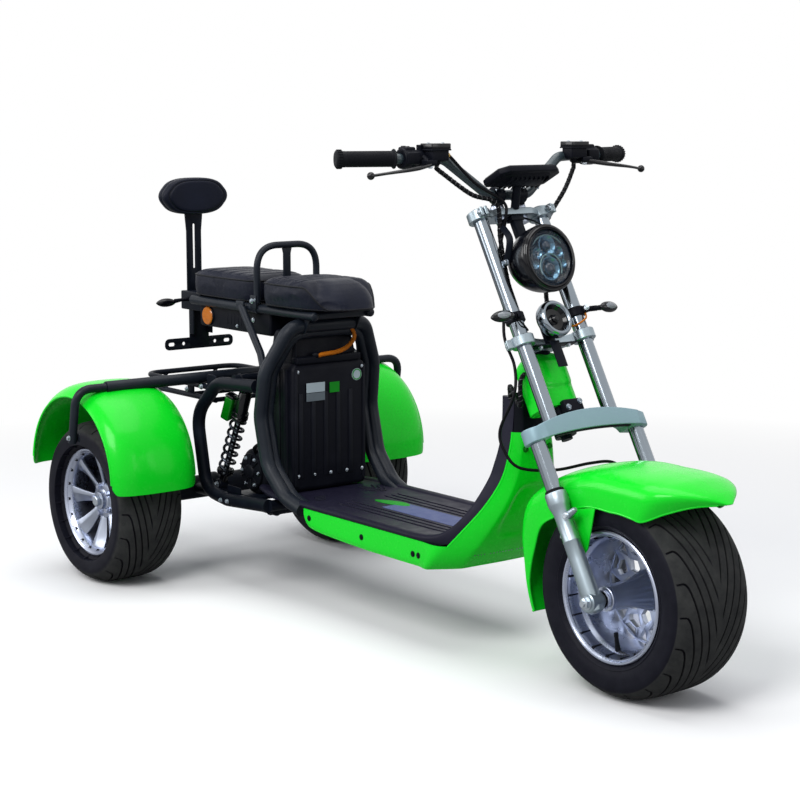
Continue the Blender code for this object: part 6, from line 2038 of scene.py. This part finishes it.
def seat_hoop():
    """Bent tube from the floor's edge to the seat with a second tube inside it, struts and gussets."""
    half = [
        (0.548, 0.16, 0.242), (0.486, 0.166, 0.262), (0.418, 0.17, 0.33), (0.388, 0.17, 0.45), (0.404, 0.166, 0.56),
        (0.436, 0.112, HOOP_TOP), (0.437, 0.05, HOOP_TOP),
    ]
    inner = [(x - 0.002, y - 0.024, z) for x, y, z in half[:-2]] + [(0.428, 0.1, 0.648), (0.426, 0.05, 0.652)]
    pieces = []
    for line, radius, sides in ((half, HOOP_R, 32), (inner, 0.013, 24)):
        points = [(x, -y, z) for x, y, z in line] + line[::-1]
        pieces.append(swept(bent(points, 0.085, 12), radius, sides))
    for side in (-1, 1):
        start = Vector((0.21, side * 0.1053, 0.704))
        strut = bent([start, (0.335, side * 0.132, 0.598), (0.396, side * 0.16, 0.545)], 0.06, 6)
        pieces.append(swept(strut, 0.0095, 22))
        pieces.append(block((0.034, 0.006, 0.022), start + Vector((-0.004, 0, 0.002)), 0.002, 2))
        pieces.append(bead((0.388, side * 0.156, 0.551), (0.7, 0.2, -0.6), 0.01, 0.0024))
        gusset = plate([(0.4, 0.64), (0.452, 0.655), (0.47, 0.69), (0.42, 0.69)], -0.002, 0.002, 0.0008, 1)
        pieces.append(moved(gusset, Matrix.Translation((0, side * 0.078, 0)) @ turning(90, "X")))
    return [(gathered(pieces), "tube_grey")]


def seat_base():
    """Seat rails with the plastic box hung under them and a round reflector on each side."""
    rails = []
    half, z = 0.085, 0.7
    for y in (-half, half):
        rails.append(swept([(-0.05, y, 0.699), (0.262, y, 0.699)], 0.0122, 28))
        rails.append(swept([(0.25, y, z), (0.5, y, z)], 0.011, 28))
        rails += [ball((x, y, z), (0.006, 0.011, 0.011), 20) for x in (-0.05, 0.5)]
    rails += [rod((x, -half, z), (x, half, z), 0.0108, None, 20) for x in (-0.033, 0.2625, 0.48)]
    tray = block((0.33, 0.156, 0.063), (0.135, 0, 0.6635), 0.008, 4)
    rim = block((0.338, 0.16, 0.006), (0.135, 0, 0.691), 0.002, 2)
    vents = rowed(block((0.003, 0.1575, 0.03), (0, 0, 0), 0.0008, 1), 5, (0.105, 0, 0.662), (0.016, 0, 0))
    lamps, frames, bolts = [], [], []
    for side in (-1, 1):
        at = Matrix.Translation((0.015, side * 0.074, 0.6615)) @ turning(-side * 90, "X")
        shell = turned([(0.0, 0.0), (0.023, 0.0), (0.0262, 0.0012), (0.0262, 0.0058), (0.0245, 0.0076), (0.0, 0.0076)],
                       48, axis="Z")
        frames.append(moved(shell, at))
        glow = turned([(0.0, 0.007), (0.0225, 0.007), (0.0238, 0.0086), (0.022, 0.0106), (0.0, 0.0118)], 48, axis="Z")
        lamps.append(moved(glow, at))
        bolts.append(screw(0.0048, 0.003, (0.225, side * 0.0785, 0.668), (0, side, 0)))
        bolts.append(screw(0.0036, 0.0025, (0.15, side * 0.0785, 0.646), (0, side, 0)))
    return [(gathered(rails), "tube_grey"), (gathered([tray, rim, vents, *frames]), "plastic"),
            (gathered(lamps), "amber"), (gathered(bolts), "steel")]


def grab_hoop():
    foot = SEAT_SIT
    y, top, x = 0.0915, 0.858, 0.2625
    path = bent([(x, -y, foot + 0.004), (x, -y, top), (x, y, top), (x, y, foot + 0.004)], 0.062, 14)
    hoop = swept(path, 0.0086, 28)
    outline = [(-0.0105, foot), (0.0105, foot), (0.0105, top - 0.022), (0.014, top - 0.008),
               (-0.014, top - 0.008), (-0.0105, top - 0.022)]
    bar = moved(plate(outline, -0.003, 0.003, 0.001, 2), upright(x))
    feet, bolts = [], []
    for side in (-1, 1):
        feet.append(block((0.026, 0.005, 0.034), (x - 0.006, side * 0.0985, foot + 0.006), 0.0018, 2))
        bolts.append(screw(0.0052, 0.004, (x - 0.01, side * 0.101, foot + 0.0085), (0, side, 0)))
        bolts.append(screw(0.003, 0.0025, (x + 0.003, side * 0.101, foot + 0.012), (0, side, 0)))
    return [(gathered([hoop, bar, *feet]), "tube_grey"), (gathered(bolts), "steel")]


def tail_bracket():
    """Post of two flat bars, the slotted plate bar and the two rear signals on stalks."""
    top = 0.711
    carrier = block((0.142, 0.07, 0.05), (-0.1212, 0, top - 0.026), 0.003, 3)
    neck = [block((0.006, 0.06, 0.13), (-0.158, 0, 0.625), 0.0012, 2)]
    for side in (-1, 1):
        neck.append(block((0.022, 0.004, 0.096), (-0.148, side * 0.029, 0.642), 0.0012, 2))
    low, high = top - 0.01, 0.92
    outline = [(-0.0225, low), (0.0225, low), (0.0225, 0.87), (0.027, 0.915), (0.027, high), (-0.027, high),
               (-0.027, 0.915), (-0.0225, 0.87)]
    post = plate(outline, -0.0034, 0.0034, 0.0, 1)
    hole = plate([(-0.0036, 0.77), (0.0036, 0.77), (0.0042, 0.888), (0.0, 0.892), (-0.0042, 0.888)],
                 -0.02, 0.02, 0.0, 1)
    post = smoothed_rims(carved(post, hole), 0.0012)
    post = moved(post, upright(PAD_X))
    bar = plate(rounded_ring(-0.108, 0.108, -0.0155, 0.0155, 0.013, 8), -0.002, 0.002, 0.0, 1)
    holes = []
    for y in (-0.05, -0.025, 0.025, 0.05):
        holes.append(turned([(0, -0.01), (0.0048, -0.01), (0.0048, 0.01), (0, 0.01)], 20, (y, 0, 0), "Z"))
    for y in (-0.088, 0.088):
        slot = rounded_ring(-0.0095, 0.0095, -0.0048, 0.0048, 0.0046, 6)
        holes.append(plate([(y + a, b) for a, b in slot], -0.01, 0.01, 0.0, 1))
    bar = smoothed_rims(carved(bar, gathered(holes)), 0.0006)
    bar = moved(bar, upright(-0.158, 0.5685))
    bolts = [screw(0.0045, 0.0035, (-0.161, y, z), (-1, 0, 0)) for y in (-0.018, 0.018) for z in (0.575, 0.66)]
    shells, panes, stalks = [], [], []
    for side in (-1, 1):
        stalks.append(swept([(-0.15, side * 0.034, 0.69), (-0.15, side * 0.06, 0.6885), (-0.15, side * 0.08, 0.6865)],
                            [0.006, 0.0046, 0.006], 18))
        centre = (-0.15, side * 0.108, 0.684)
        shells.append(leaf_lamp(side, centre, 0.031, 0.0115))
        panes.append(leaf_lamp(side, centre, 0.031, 0.0115, 0.84, 1.12, -1))
    return [(gathered([carrier, *neck, post, bar]), "frame"), (gathered(stalks), "plastic"),
            (gathered(shells), "gloss"), (gathered(panes), "pane"), (gathered(bolts), "steel")]


def battery_box():
    """Ribbed battery case with its lid, side panels, blank labels and the orange sleeved lead."""
    front, rear, low = 0.445, 0.3165, DECK_TOP + GAP
    rows = []
    for z, shrink in ((low, 0.004), (low + 0.004, 0.001), (low + 0.01, 0.0), (0.56, 0.0), (0.57, 0.003), (0.578, 0.01)):
        half = 0.113 - shrink
        rows.append([(x, y, z) for x, y in rounded_ring(rear + shrink, front - shrink, -half, half, 0.012, 6)])
    case = skin(rows)
    rows = []
    for z, shrink in ((0.574, 0.0), (0.6, 0.002), (0.64, 0.008), (0.652, 0.014), (0.655, 0.022)):
        half = 0.098 - shrink
        edge = rounded_ring(rear + 0.0085 + shrink * 0.3, 0.425 - shrink, -half, half, 0.008, 5)
        rows.append([(x, y, z) for x, y in edge])
    lid = skin(rows)
    ribs = [block((0.0042, 0.012, 0.21), (front + 0.0008, y, 0.4), 0.0016, 2)
            for y in (-0.09, -0.052, -0.014, 0.024, 0.062)]
    for side in (-1, 1):
        ribs.append(block((0.005, 0.008, 0.29), (front + 0.0008, side * 0.1035, 0.42), 0.0018, 2))
        for back in (0.03, 0.062):
            ribs.append(block((0.016, 0.004, 0.3), (front - back, side * 0.1136, 0.415), 0.0015, 2))
    rail = block((0.024, 0.196, 0.018), (front - 0.014, 0, 0.5855), 0.004, 3)
    lines = [
        swept([(front - 0.012, side * 0.094, 0.595), (0.43, side * 0.092, 0.632), (0.424, side * 0.088, 0.65)],
              0.002, 8)
        for side in (-1, 1)
    ]
    handle = bent([(0.4, -0.06, 0.652), (0.4, -0.06, 0.668), (0.4, 0.06, 0.668), (0.4, 0.06, 0.652)], 0.012, 6)
    handle = swept(handle, 0.0042, 14)
    screws = []
    for radius, z, ys in ((0.0034, 0.3, (-0.098, -0.05, 0.0, 0.05, 0.098)), (0.003, 0.56, (-0.098, 0.098))):
        screws += [screw(radius, 0.0014, (front + 0.0012, y, z), (1, 0, 0), hexed=False) for y in ys]
    label = block((0.0008, 0.056, 0.024), (front + 0.0032, -0.046, 0.518), 0.0003, 1)
    label_low = block((0.0008, 0.056, 0.02), (front + 0.0032, -0.046, 0.4945), 0.0003, 1)
    strip = block((0.0008, 0.03, 0.026), (front + 0.0026, 0.012, 0.514), 0.0003, 1)
    spot = (front + 0.0008, 0.082, 0.54)
    disc = turned([(0.0, 0.0), (0.015, 0.0), (0.015, 0.0008), (0.0, 0.0008)], 40, axis="Z")
    disc = placed(disc, spot, (1, 0, 0))
    ring = turned([(0.0112, 0.0006), (0.0138, 0.0006), (0.0138, 0.0012), (0.0112, 0.0012)], 40, axis="Z", closed=True)
    ring = placed(ring, spot, (1, 0, 0))
    lead = flowing([(0.428, 0.052, 0.672), (0.44, 0.072, 0.655), (0.446, 0.074, 0.632), (0.45, 0.05, 0.612),
                    (0.452, 0.02, 0.603), (0.45, -0.01, 0.6), (0.444, -0.034, 0.597)], 10)
    core = swept(lead, 0.0046, 14)
    wave = turned([(0.0034, -0.0012), (0.0056, -0.0006), (0.0056, 0.0006), (0.0034, 0.0012)], 14, axis="Z", closed=True)
    wave = along_path(wave, lead, 0.0032)
    plug = turned([(0.0, -0.004), (0.0075, -0.004), (0.0085, 0.0), (0.0085, 0.008), (0.006, 0.012), (0.0, 0.012)], 24,
                  axis="Z")
    plug = placed(plug, (0.436, -0.04, 0.5965), (0.6, 0.7, 0.2))
    socket = block((0.016, 0.02, 0.016), (0.426, 0.05, 0.668), 0.003, 2)
    return [(gathered([case, lid, rail, handle, *lines]), "plastic"), (gathered(ribs), "gloss_soft"),
            (gathered(screws), "steel"), (label, "label_pale"), (label_low, "label_grey"),
            (gathered([strip, ring]), "leaf_green"), (disc, "label_pale"), (gathered([core, wave]), "orange"),
            (gathered([plug, socket]), "plastic")]


def fender_bar():
    points = [(0.052, -0.508, 0.375), (0.077, -0.508, 0.5103), (0.077, 0.508, 0.5103), (0.052, 0.508, 0.375)]
    bar = swept(bent(points, 0.045, 10), 0.0106, 28)
    sleeve = turned([
        (0.0105, -0.425), (0.0136, -0.425), (0.0146, -0.4235), (0.0146, 0.4235), (0.0136, 0.425), (0.0105, 0.425),
    ], 36, (0.077, 0, 0.5103), "Y", closed=True)
    bolts, clips = [], []
    for side in (-1, 1):
        clips.append(block((0.028, 0.003, 0.02), (0.053, side * 0.4955, 0.387), 0.001, 1))
        bolts.append(screw(0.0052, 0.0045, (0.054, side * 0.518, 0.388), (0, side, 0)))
    return [(gathered([bar, sleeve, *clips]), "tube_grey"), (gathered(bolts), "steel")]


def cargo_rack():
    rear, front, half, high = -0.205, 0.15, 0.1455, 0.48943
    pieces = []
    for z in (high, high - 0.03):
        corners = [(front, -half, z), (rear, -half, z), (rear, half, z), (front, half, z)]
        pieces.append(swept(bent(corners, 0.05, 10), 0.0071, 20))
    for x in (front - 0.007, 0.02):
        for z in (high, high - 0.03):
            pieces.append(rod((x, -half, z), (x, half, z), 0.0063, None, 18))
    for x, y in ((rear, -0.08), (rear, 0.08), (-0.1, -half), (-0.1, half)):
        pieces.append(rod((x, y, high - 0.03), (x, y, high), 0.0057, None, 16))
        for z in (high - 0.0065, high - 0.0235):
            pieces.append(bead((x, y, z), (0, 0, 1), 0.0056, 0.0014))
    bolts = []
    for side in (-1, 1):
        pieces.append(block((0.03, 0.004, 0.044), (0.02, side * (half - 0.006), high - 0.016), 0.0015, 2))
        bolts.append(screw(0.005, 0.004, (0.02, side * (half + 0.0065), high - 0.015), (0, side, 0)))
    return [(gathered(pieces), "frame"), (gathered(bolts), "steel")]


ARM_HALF = 0.13
ARM_Z = 0.211
SHOCK_TOP = Vector((0.2692, 0.0, 0.5035))
SHOCK_LOW = Vector((0.1474, 0.0, 0.2393))


def rear_axle():
    z = REAR_R
    casing = turned([
        (0.0, -0.309), (0.018, -0.309), (0.022, -0.306), (0.022, -0.256), (0.029, -0.25), (0.03, -0.244),
        (0.03, -0.07), (0.034, -0.064), (0.034, -0.056), (0.03, -0.05), (0.03, 0.05), (0.034, 0.056),
        (0.034, 0.064), (0.03, 0.07), (0.03, 0.244), (0.029, 0.25), (0.022, 0.256), (0.022, 0.306),
        (0.018, 0.309), (0.0, 0.309),
    ], 48, (0, 0, z), "Y")
    shaft = rod((0, -0.415, z), (0, 0.415, z), 0.0084, None, 24)
    nuts, pieces = [], []
    for side in (-1, 1):
        nut = swept([(0, 0, 0), (0, 0, 0.009), (0, 0, 0.0105)], [0.0135, 0.0135, 0.0115], 6)
        nuts.append(placed(nut, (0, side * 0.4105, z), (0, side, 0)))
        y = side * ARM_HALF
        pieces.append(swept([(0, y, ARM_Z), (0.398, y, ARM_Z)], 0.014, 28))
        pieces.append(bead((0.03, y, ARM_Z), (1, 0, 0), 0.0138))
        pieces.append(bead((0.372, y, ARM_Z), (1, 0, 0), 0.0138))
        pieces.append(block((0.026, 0.034, 0.012), (SHOCK_LOW.x, y, ARM_Z + 0.014), 0.002, 2))
        nuts.append(screw(0.0062, 0.006, (SHOCK_LOW.x, y + side * 0.0135, SHOCK_LOW.z), (0, side, 0)))
    pieces.append(block((0.11, 0.26, 0.006), (0.254, 0, 0.224), 0.0012, 2))
    pieces.append(rod((0.385, -ARM_HALF, ARM_Z), (0.385, ARM_HALF, ARM_Z), 0.014, None, 28))
    return [(gathered([casing, *pieces]), "frame"), (gathered([shaft, *nuts]), "steel")]


def drive_motor():
    """Finned drum with its end covers, bolts and lead."""
    x, z = 0.254, 0.2855
    profile = [(0.0, -0.105), (0.044, -0.105), (0.052, -0.103), (0.0575, -0.098), (0.058, -0.093)]
    at = -0.088
    while at < 0.062:
        profile += [(0.058, at), (0.058, at + 0.0032), (0.0545, at + 0.004), (0.0545, at + 0.007), (0.058, at + 0.0078)]
        at += 0.01
    profile += [(0.058, 0.074), (0.056, 0.082), (0.05, 0.085), (0.0, 0.085)]
    drum = turned(profile, 64, (x, 0, z), "Y")
    cover = turned([
        (0.0, -0.12), (0.015, -0.12), (0.018, -0.118), (0.02, -0.114), (0.04, -0.113), (0.0455, -0.111),
        (0.0465, -0.106), (0.0465, -0.1), (0.0, -0.1),
    ], 56, (x, 0, z), "Y")
    nut = moved(bolt(0.0042, 0.0036), Matrix.Translation((0.037, -0.113, 0)) @ turning(90, "X"))
    nuts = ringed(nut, 6, (x, 0, z))
    webs = ringed(block((0.03, 0.005, 0.003), (0.03, -0.1145, 0), 0.0008, 1), 9, (x, 0, z))
    lead = swept(flowing([(x + 0.01, -0.1, z + 0.046), (x + 0.02, -0.112, z + 0.064), (x + 0.044, -0.1, z + 0.078),
                          (x + 0.052, -0.06, z + 0.07), (x + 0.05, -0.04, z + 0.045)], 8), 0.005, 12)
    return [(gathered([drum, webs]), "motor_black"), (cover, "motor_black"), (nuts, "steel"), (lead, "cable")]


def shock(side):
    """Coil-over unit: black spring over a bright rod, ribbed cups and a side reservoir."""
    y = side * ARM_HALF
    top, low = Vector((SHOCK_TOP.x, y, SHOCK_TOP.z)), Vector((SHOCK_LOW.x, y, SHOCK_LOW.z))
    run = (top - low).normalized()
    length = (top - low).length
    coil_from, coil_to = 0.044, length - 0.089
    turn = run.to_track_quat("Z", "Y").to_matrix().to_4x4()
    spring = moved(coiled(6.5, 0.0184, coil_to - coil_from, 0.0038), Matrix.Translation(low + run * coil_from) @ turn)
    base = Matrix.Translation(low) @ turn
    cups = moved(gathered([
        turned([(0.0, 0.012), (0.01, 0.012), (0.012, 0.03), (0.0215, 0.036), (0.0222, 0.038), (0.0222, 0.043),
                (0.015, 0.044), (0.0, 0.044)], 36, axis="Z"),
        turned([(0.0, coil_to), (0.015, coil_to), (0.0222, coil_to + 0.001), (0.0222, coil_to + 0.006),
                (0.02, coil_to + 0.008), (0.02, coil_to + 0.011), (0.0216, coil_to + 0.012), (0.0216, coil_to + 0.017),
                (0.0175, coil_to + 0.019), (0.0165, length - 0.014), (0.012, length - 0.008), (0.0, length - 0.008)],
               36, axis="Z"),
    ]), base)
    stem = moved(rod((0, 0, 0.03), (0, 0, coil_to + 0.004), 0.008, None, 24), base)
    eyes, bushes, bolts = [], [], []
    for point in (top, low):
        eyes.append(turned([(0.0062, -0.013), (0.0128, -0.013), (0.014, -0.0115), (0.014, 0.0115), (0.0128, 0.013),
                            (0.0062, 0.013)], 32, point, closed=True))
        bushes.append(turned([(0.0, -0.0148), (0.0085, -0.0148), (0.0095, -0.0135), (0.0095, 0.0135), (0.0085, 0.0148),
                              (0.0, 0.0148)], 28, point))
        bolts.append(screw(0.0068, 0.006, point + Vector((0, side * 0.015, 0)), (0, side, 0)))
    at_tank = Matrix.Translation((0.206, side * 0.143, 0.447)) @ turn @ turning(20, "Z")
    # reservoir in the darkened copy of the body paint: painted shade
    tank = moved(block((0.026, 0.026, 0.066), (0.0, 0.0, 0.0), 0.005, 3), at_tank)
    arm = block((0.03, 0.012, 0.012), top + Vector((-0.036, side * 0.008, -0.028)), 0.003, 2)
    cap = moved(block((0.028, 0.028, 0.006), (0, 0, 0.036), 0.003, 2), at_tank)
    return [(spring, "dark_steel"), (cups, "gloss"), (stem, "chrome"), (gathered(eyes), "frame"),
            (gathered(bushes), "grip"), (gathered(bolts), "steel"), (tank, "green_painted_shade"),
            (gathered([arm, cap]), "gloss")]


def build_frame():
    body = "chassis"
    for name, make in (
        ("main_frame", main_frame), ("seat_hoop", seat_hoop), ("seat_base", seat_base), ("grab_hoop", grab_hoop),
        ("tail_bracket", tail_bracket), ("battery_box", battery_box), ("fender_bar", fender_bar),
        ("cargo_rack", cargo_rack), ("rear_axle", rear_axle), ("drive_motor", drive_motor),
    ):
        dressed(name, make(), body)
    for side, word in SIDES:
        dressed("rear_shock", shock(side), body, 38, word)


# Stage

def make_stage():
    scene = bpy.context.scene
    scene.view_settings.view_transform = "Standard"
    data = bpy.data.cameras.new("camera")
    data.lens = 84.86
    data.sensor_width = 36.0
    data.clip_start = 0.1
    data.clip_end = 60.0
    camera = bpy.data.objects.new("camera", data)
    camera.location = (4.1889 - MIDDLE_X, -2.7331, 1.1964)
    camera.rotation_euler = (math.radians(81.231), 0.0, math.radians(51.723))
    scene.collection.objects.link(camera)
    scene.camera = camera

    floor_look = Finish("pale_floor", (0.92, 0.92, 0.92), 0.85)
    shape = bmesh.new()
    bmesh.ops.create_grid(shape, x_segments=1, y_segments=1, size=30.0)
    mesh = bpy.data.meshes.new("floor")
    shape.to_mesh(mesh)
    shape.free()
    mesh.materials.append(floor_look.made)
    floor = bpy.data.objects.new("floor", mesh)
    scene.collection.objects.link(floor)
    away = floor_look.node("ShaderNodeVectorMath", {"operation": "LENGTH"}, {0: floor_look.place()}, "Value")
    fade = floor_look.ramp(away, 1.3, 3.2)
    path = floor_look.node("ShaderNodeLightPath", output="Is Camera Ray")
    floor_look.set("Base Color", floor_look.mix(path, (0.4, 0.4, 0.4), (0.94, 0.94, 0.94)))
    glow = floor_look.node("ShaderNodeEmission", None, {"Color": (1, 1, 1, 1), "Strength": 1.0})
    out = floor_look.nodes["Material Output"]
    ground = Socket(floor_look, floor_look.shader.outputs[0])
    blended = floor_look.node("ShaderNodeMixShader", None, {0: fade * path, 1: ground, 2: glow})
    floor_look.feed(out.inputs["Surface"], blended)

    world = bpy.data.worlds.new("sky")
    scene.world = world
    world.use_nodes = True
    sky = Tree(world.node_tree)
    back = sky.node("ShaderNodeBackground", None, {"Color": (0.86, 0.9, 1.0, 1.0), "Strength": 0.32})
    white = sky.node("ShaderNodeBackground", None, {"Color": (1.0, 1.0, 1.0, 1.0), "Strength": 1.0})
    seen = sky.node("ShaderNodeLightPath", output="Is Camera Ray")
    for kind in ("Is Glossy Ray", "Is Transmission Ray"):
        seen = seen.math("MAXIMUM", seen, sky.node("ShaderNodeLightPath", output=kind))
    pick = sky.node("ShaderNodeMixShader", None, {0: seen, 1: back, 2: white})
    sky.feed(sky.nodes["World Output"].inputs["Surface"], pick)

    for name, at, size, power, aim in (
        ("key_light", (1.5, -3.7, 4.0), (2.4, 2.4), 168.0, (0.0, 0.0, 0.5)),
        ("side_light", (-2.6, -4.0, 2.4), (2.6, 2.6), 82.0, (-0.3, 0.0, 0.5)),
        ("top_light", (0.0, 0.2, 4.4), (4.0, 3.0), 100.0, (0.0, 0.0, 0.4)),
        ("front_light", (4.8, 1.6, 2.2), (2.0, 2.0), 26.0, (0.5, 0.0, 0.5)),
    ):
        lamp = bpy.data.lights.new(name, "AREA")
        lamp.shape = "RECTANGLE"
        lamp.size, lamp.size_y = size
        lamp.energy = power
        holder = bpy.data.objects.new(name, lamp)
        holder.location = at
        holder.rotation_euler = (Vector(aim) - Vector(at)).to_track_quat("-Z", "Y").to_euler()
        scene.collection.objects.link(holder)


# What the sidebar offers

class TrikeColours(bpy.types.PropertyGroup):
    body: FloatVectorProperty(
        name="Body paint", description="Colour of the fenders, apron and deck skirt",
        subtype="COLOR", default=(0.004, 0.73, 0.02), min=0.0, max=1.0,
    )
    frame: FloatVectorProperty(
        name="Frame coat", description="Colour of the tube frame",
        subtype="COLOR", default=(0.0045, 0.0062, 0.011), min=0.0, max=1.0,
    )


class TRIKE_OT_stage(bpy.types.Operator):
    """Camera, pale floor and soft lamps"""
    bl_idname = "trike.stage"
    bl_label = "Stage"

    def execute(self, context):
        make_stage()
        return {"FINISHED"}


class TRIKE_OT_wheels(bpy.types.Operator):
    """Tyres with their hooked tread, the deep front rim and the spoked rear rims"""
    bl_idname = "trike.wheels"
    bl_label = "Wheels"

    def execute(self, context):
        build_wheels()
        return {"FINISHED"}


class TRIKE_OT_panels(bpy.types.Operator):
    """Fenders, skirt and apron, floor tray and head cowl"""
    bl_idname = "trike.panels"
    bl_label = "Painted panels"

    def execute(self, context):
        build_panels()
        return {"FINISHED"}


class TRIKE_OT_seats(bpy.types.Operator):
    """Two sewn seat pads, blown as cloth, and the moulded backrest"""
    bl_idname = "trike.seats"
    bl_label = "Seats"

    def execute(self, context):
        build_seats()
        return {"FINISHED"}


class TRIKE_OT_steering(bpy.types.Operator):
    """Fork, clamps, handlebar, controls, lamps, horn and the cables on them"""
    bl_idname = "trike.steering"
    bl_label = "Fork and bars"

    def execute(self, context):
        build_steering()
        return {"FINISHED"}


class TRIKE_OT_frame(bpy.types.Operator):
    """Tube frame, seat carrier, battery, rack, axle, motor and shocks"""
    bl_idname = "trike.frame"
    bl_label = "Frame and rear end"

    def execute(self, context):
        build_frame()
        return {"FINISHED"}


OPERATORS = (TRIKE_OT_wheels, TRIKE_OT_panels, TRIKE_OT_seats, TRIKE_OT_steering, TRIKE_OT_frame, TRIKE_OT_stage)


class TRIKE_PT_panel(bpy.types.Panel):
    """Colours, and the steps that build the pieces"""
    bl_label = "Tricycle"
    bl_idname = "TRIKE_PT_panel"
    bl_space_type = "VIEW_3D"
    bl_region_type = "UI"
    bl_category = "Tricycle"

    def draw(self, context):
        for name in ("body", "frame"):
            self.layout.prop(context.scene.trike_colours, name)
        for step in OPERATORS:
            self.layout.operator(step.bl_idname)


CLASSES = (TrikeColours, *OPERATORS, TRIKE_PT_panel)


def register():
    for item in CLASSES:
        bpy.utils.register_class(item)
    bpy.types.Scene.trike_colours = PointerProperty(type=TrikeColours)


def unregister():
    del bpy.types.Scene.trike_colours
    for item in reversed(CLASSES):
        bpy.utils.unregister_class(item)


def main():
    register()
    make_looks()
    make_growths()
    for step in OPERATORS:
        group, name = step.bl_idname.split(".")
        getattr(getattr(bpy.ops, group), name)()


if __name__ == "__main__":
    main()
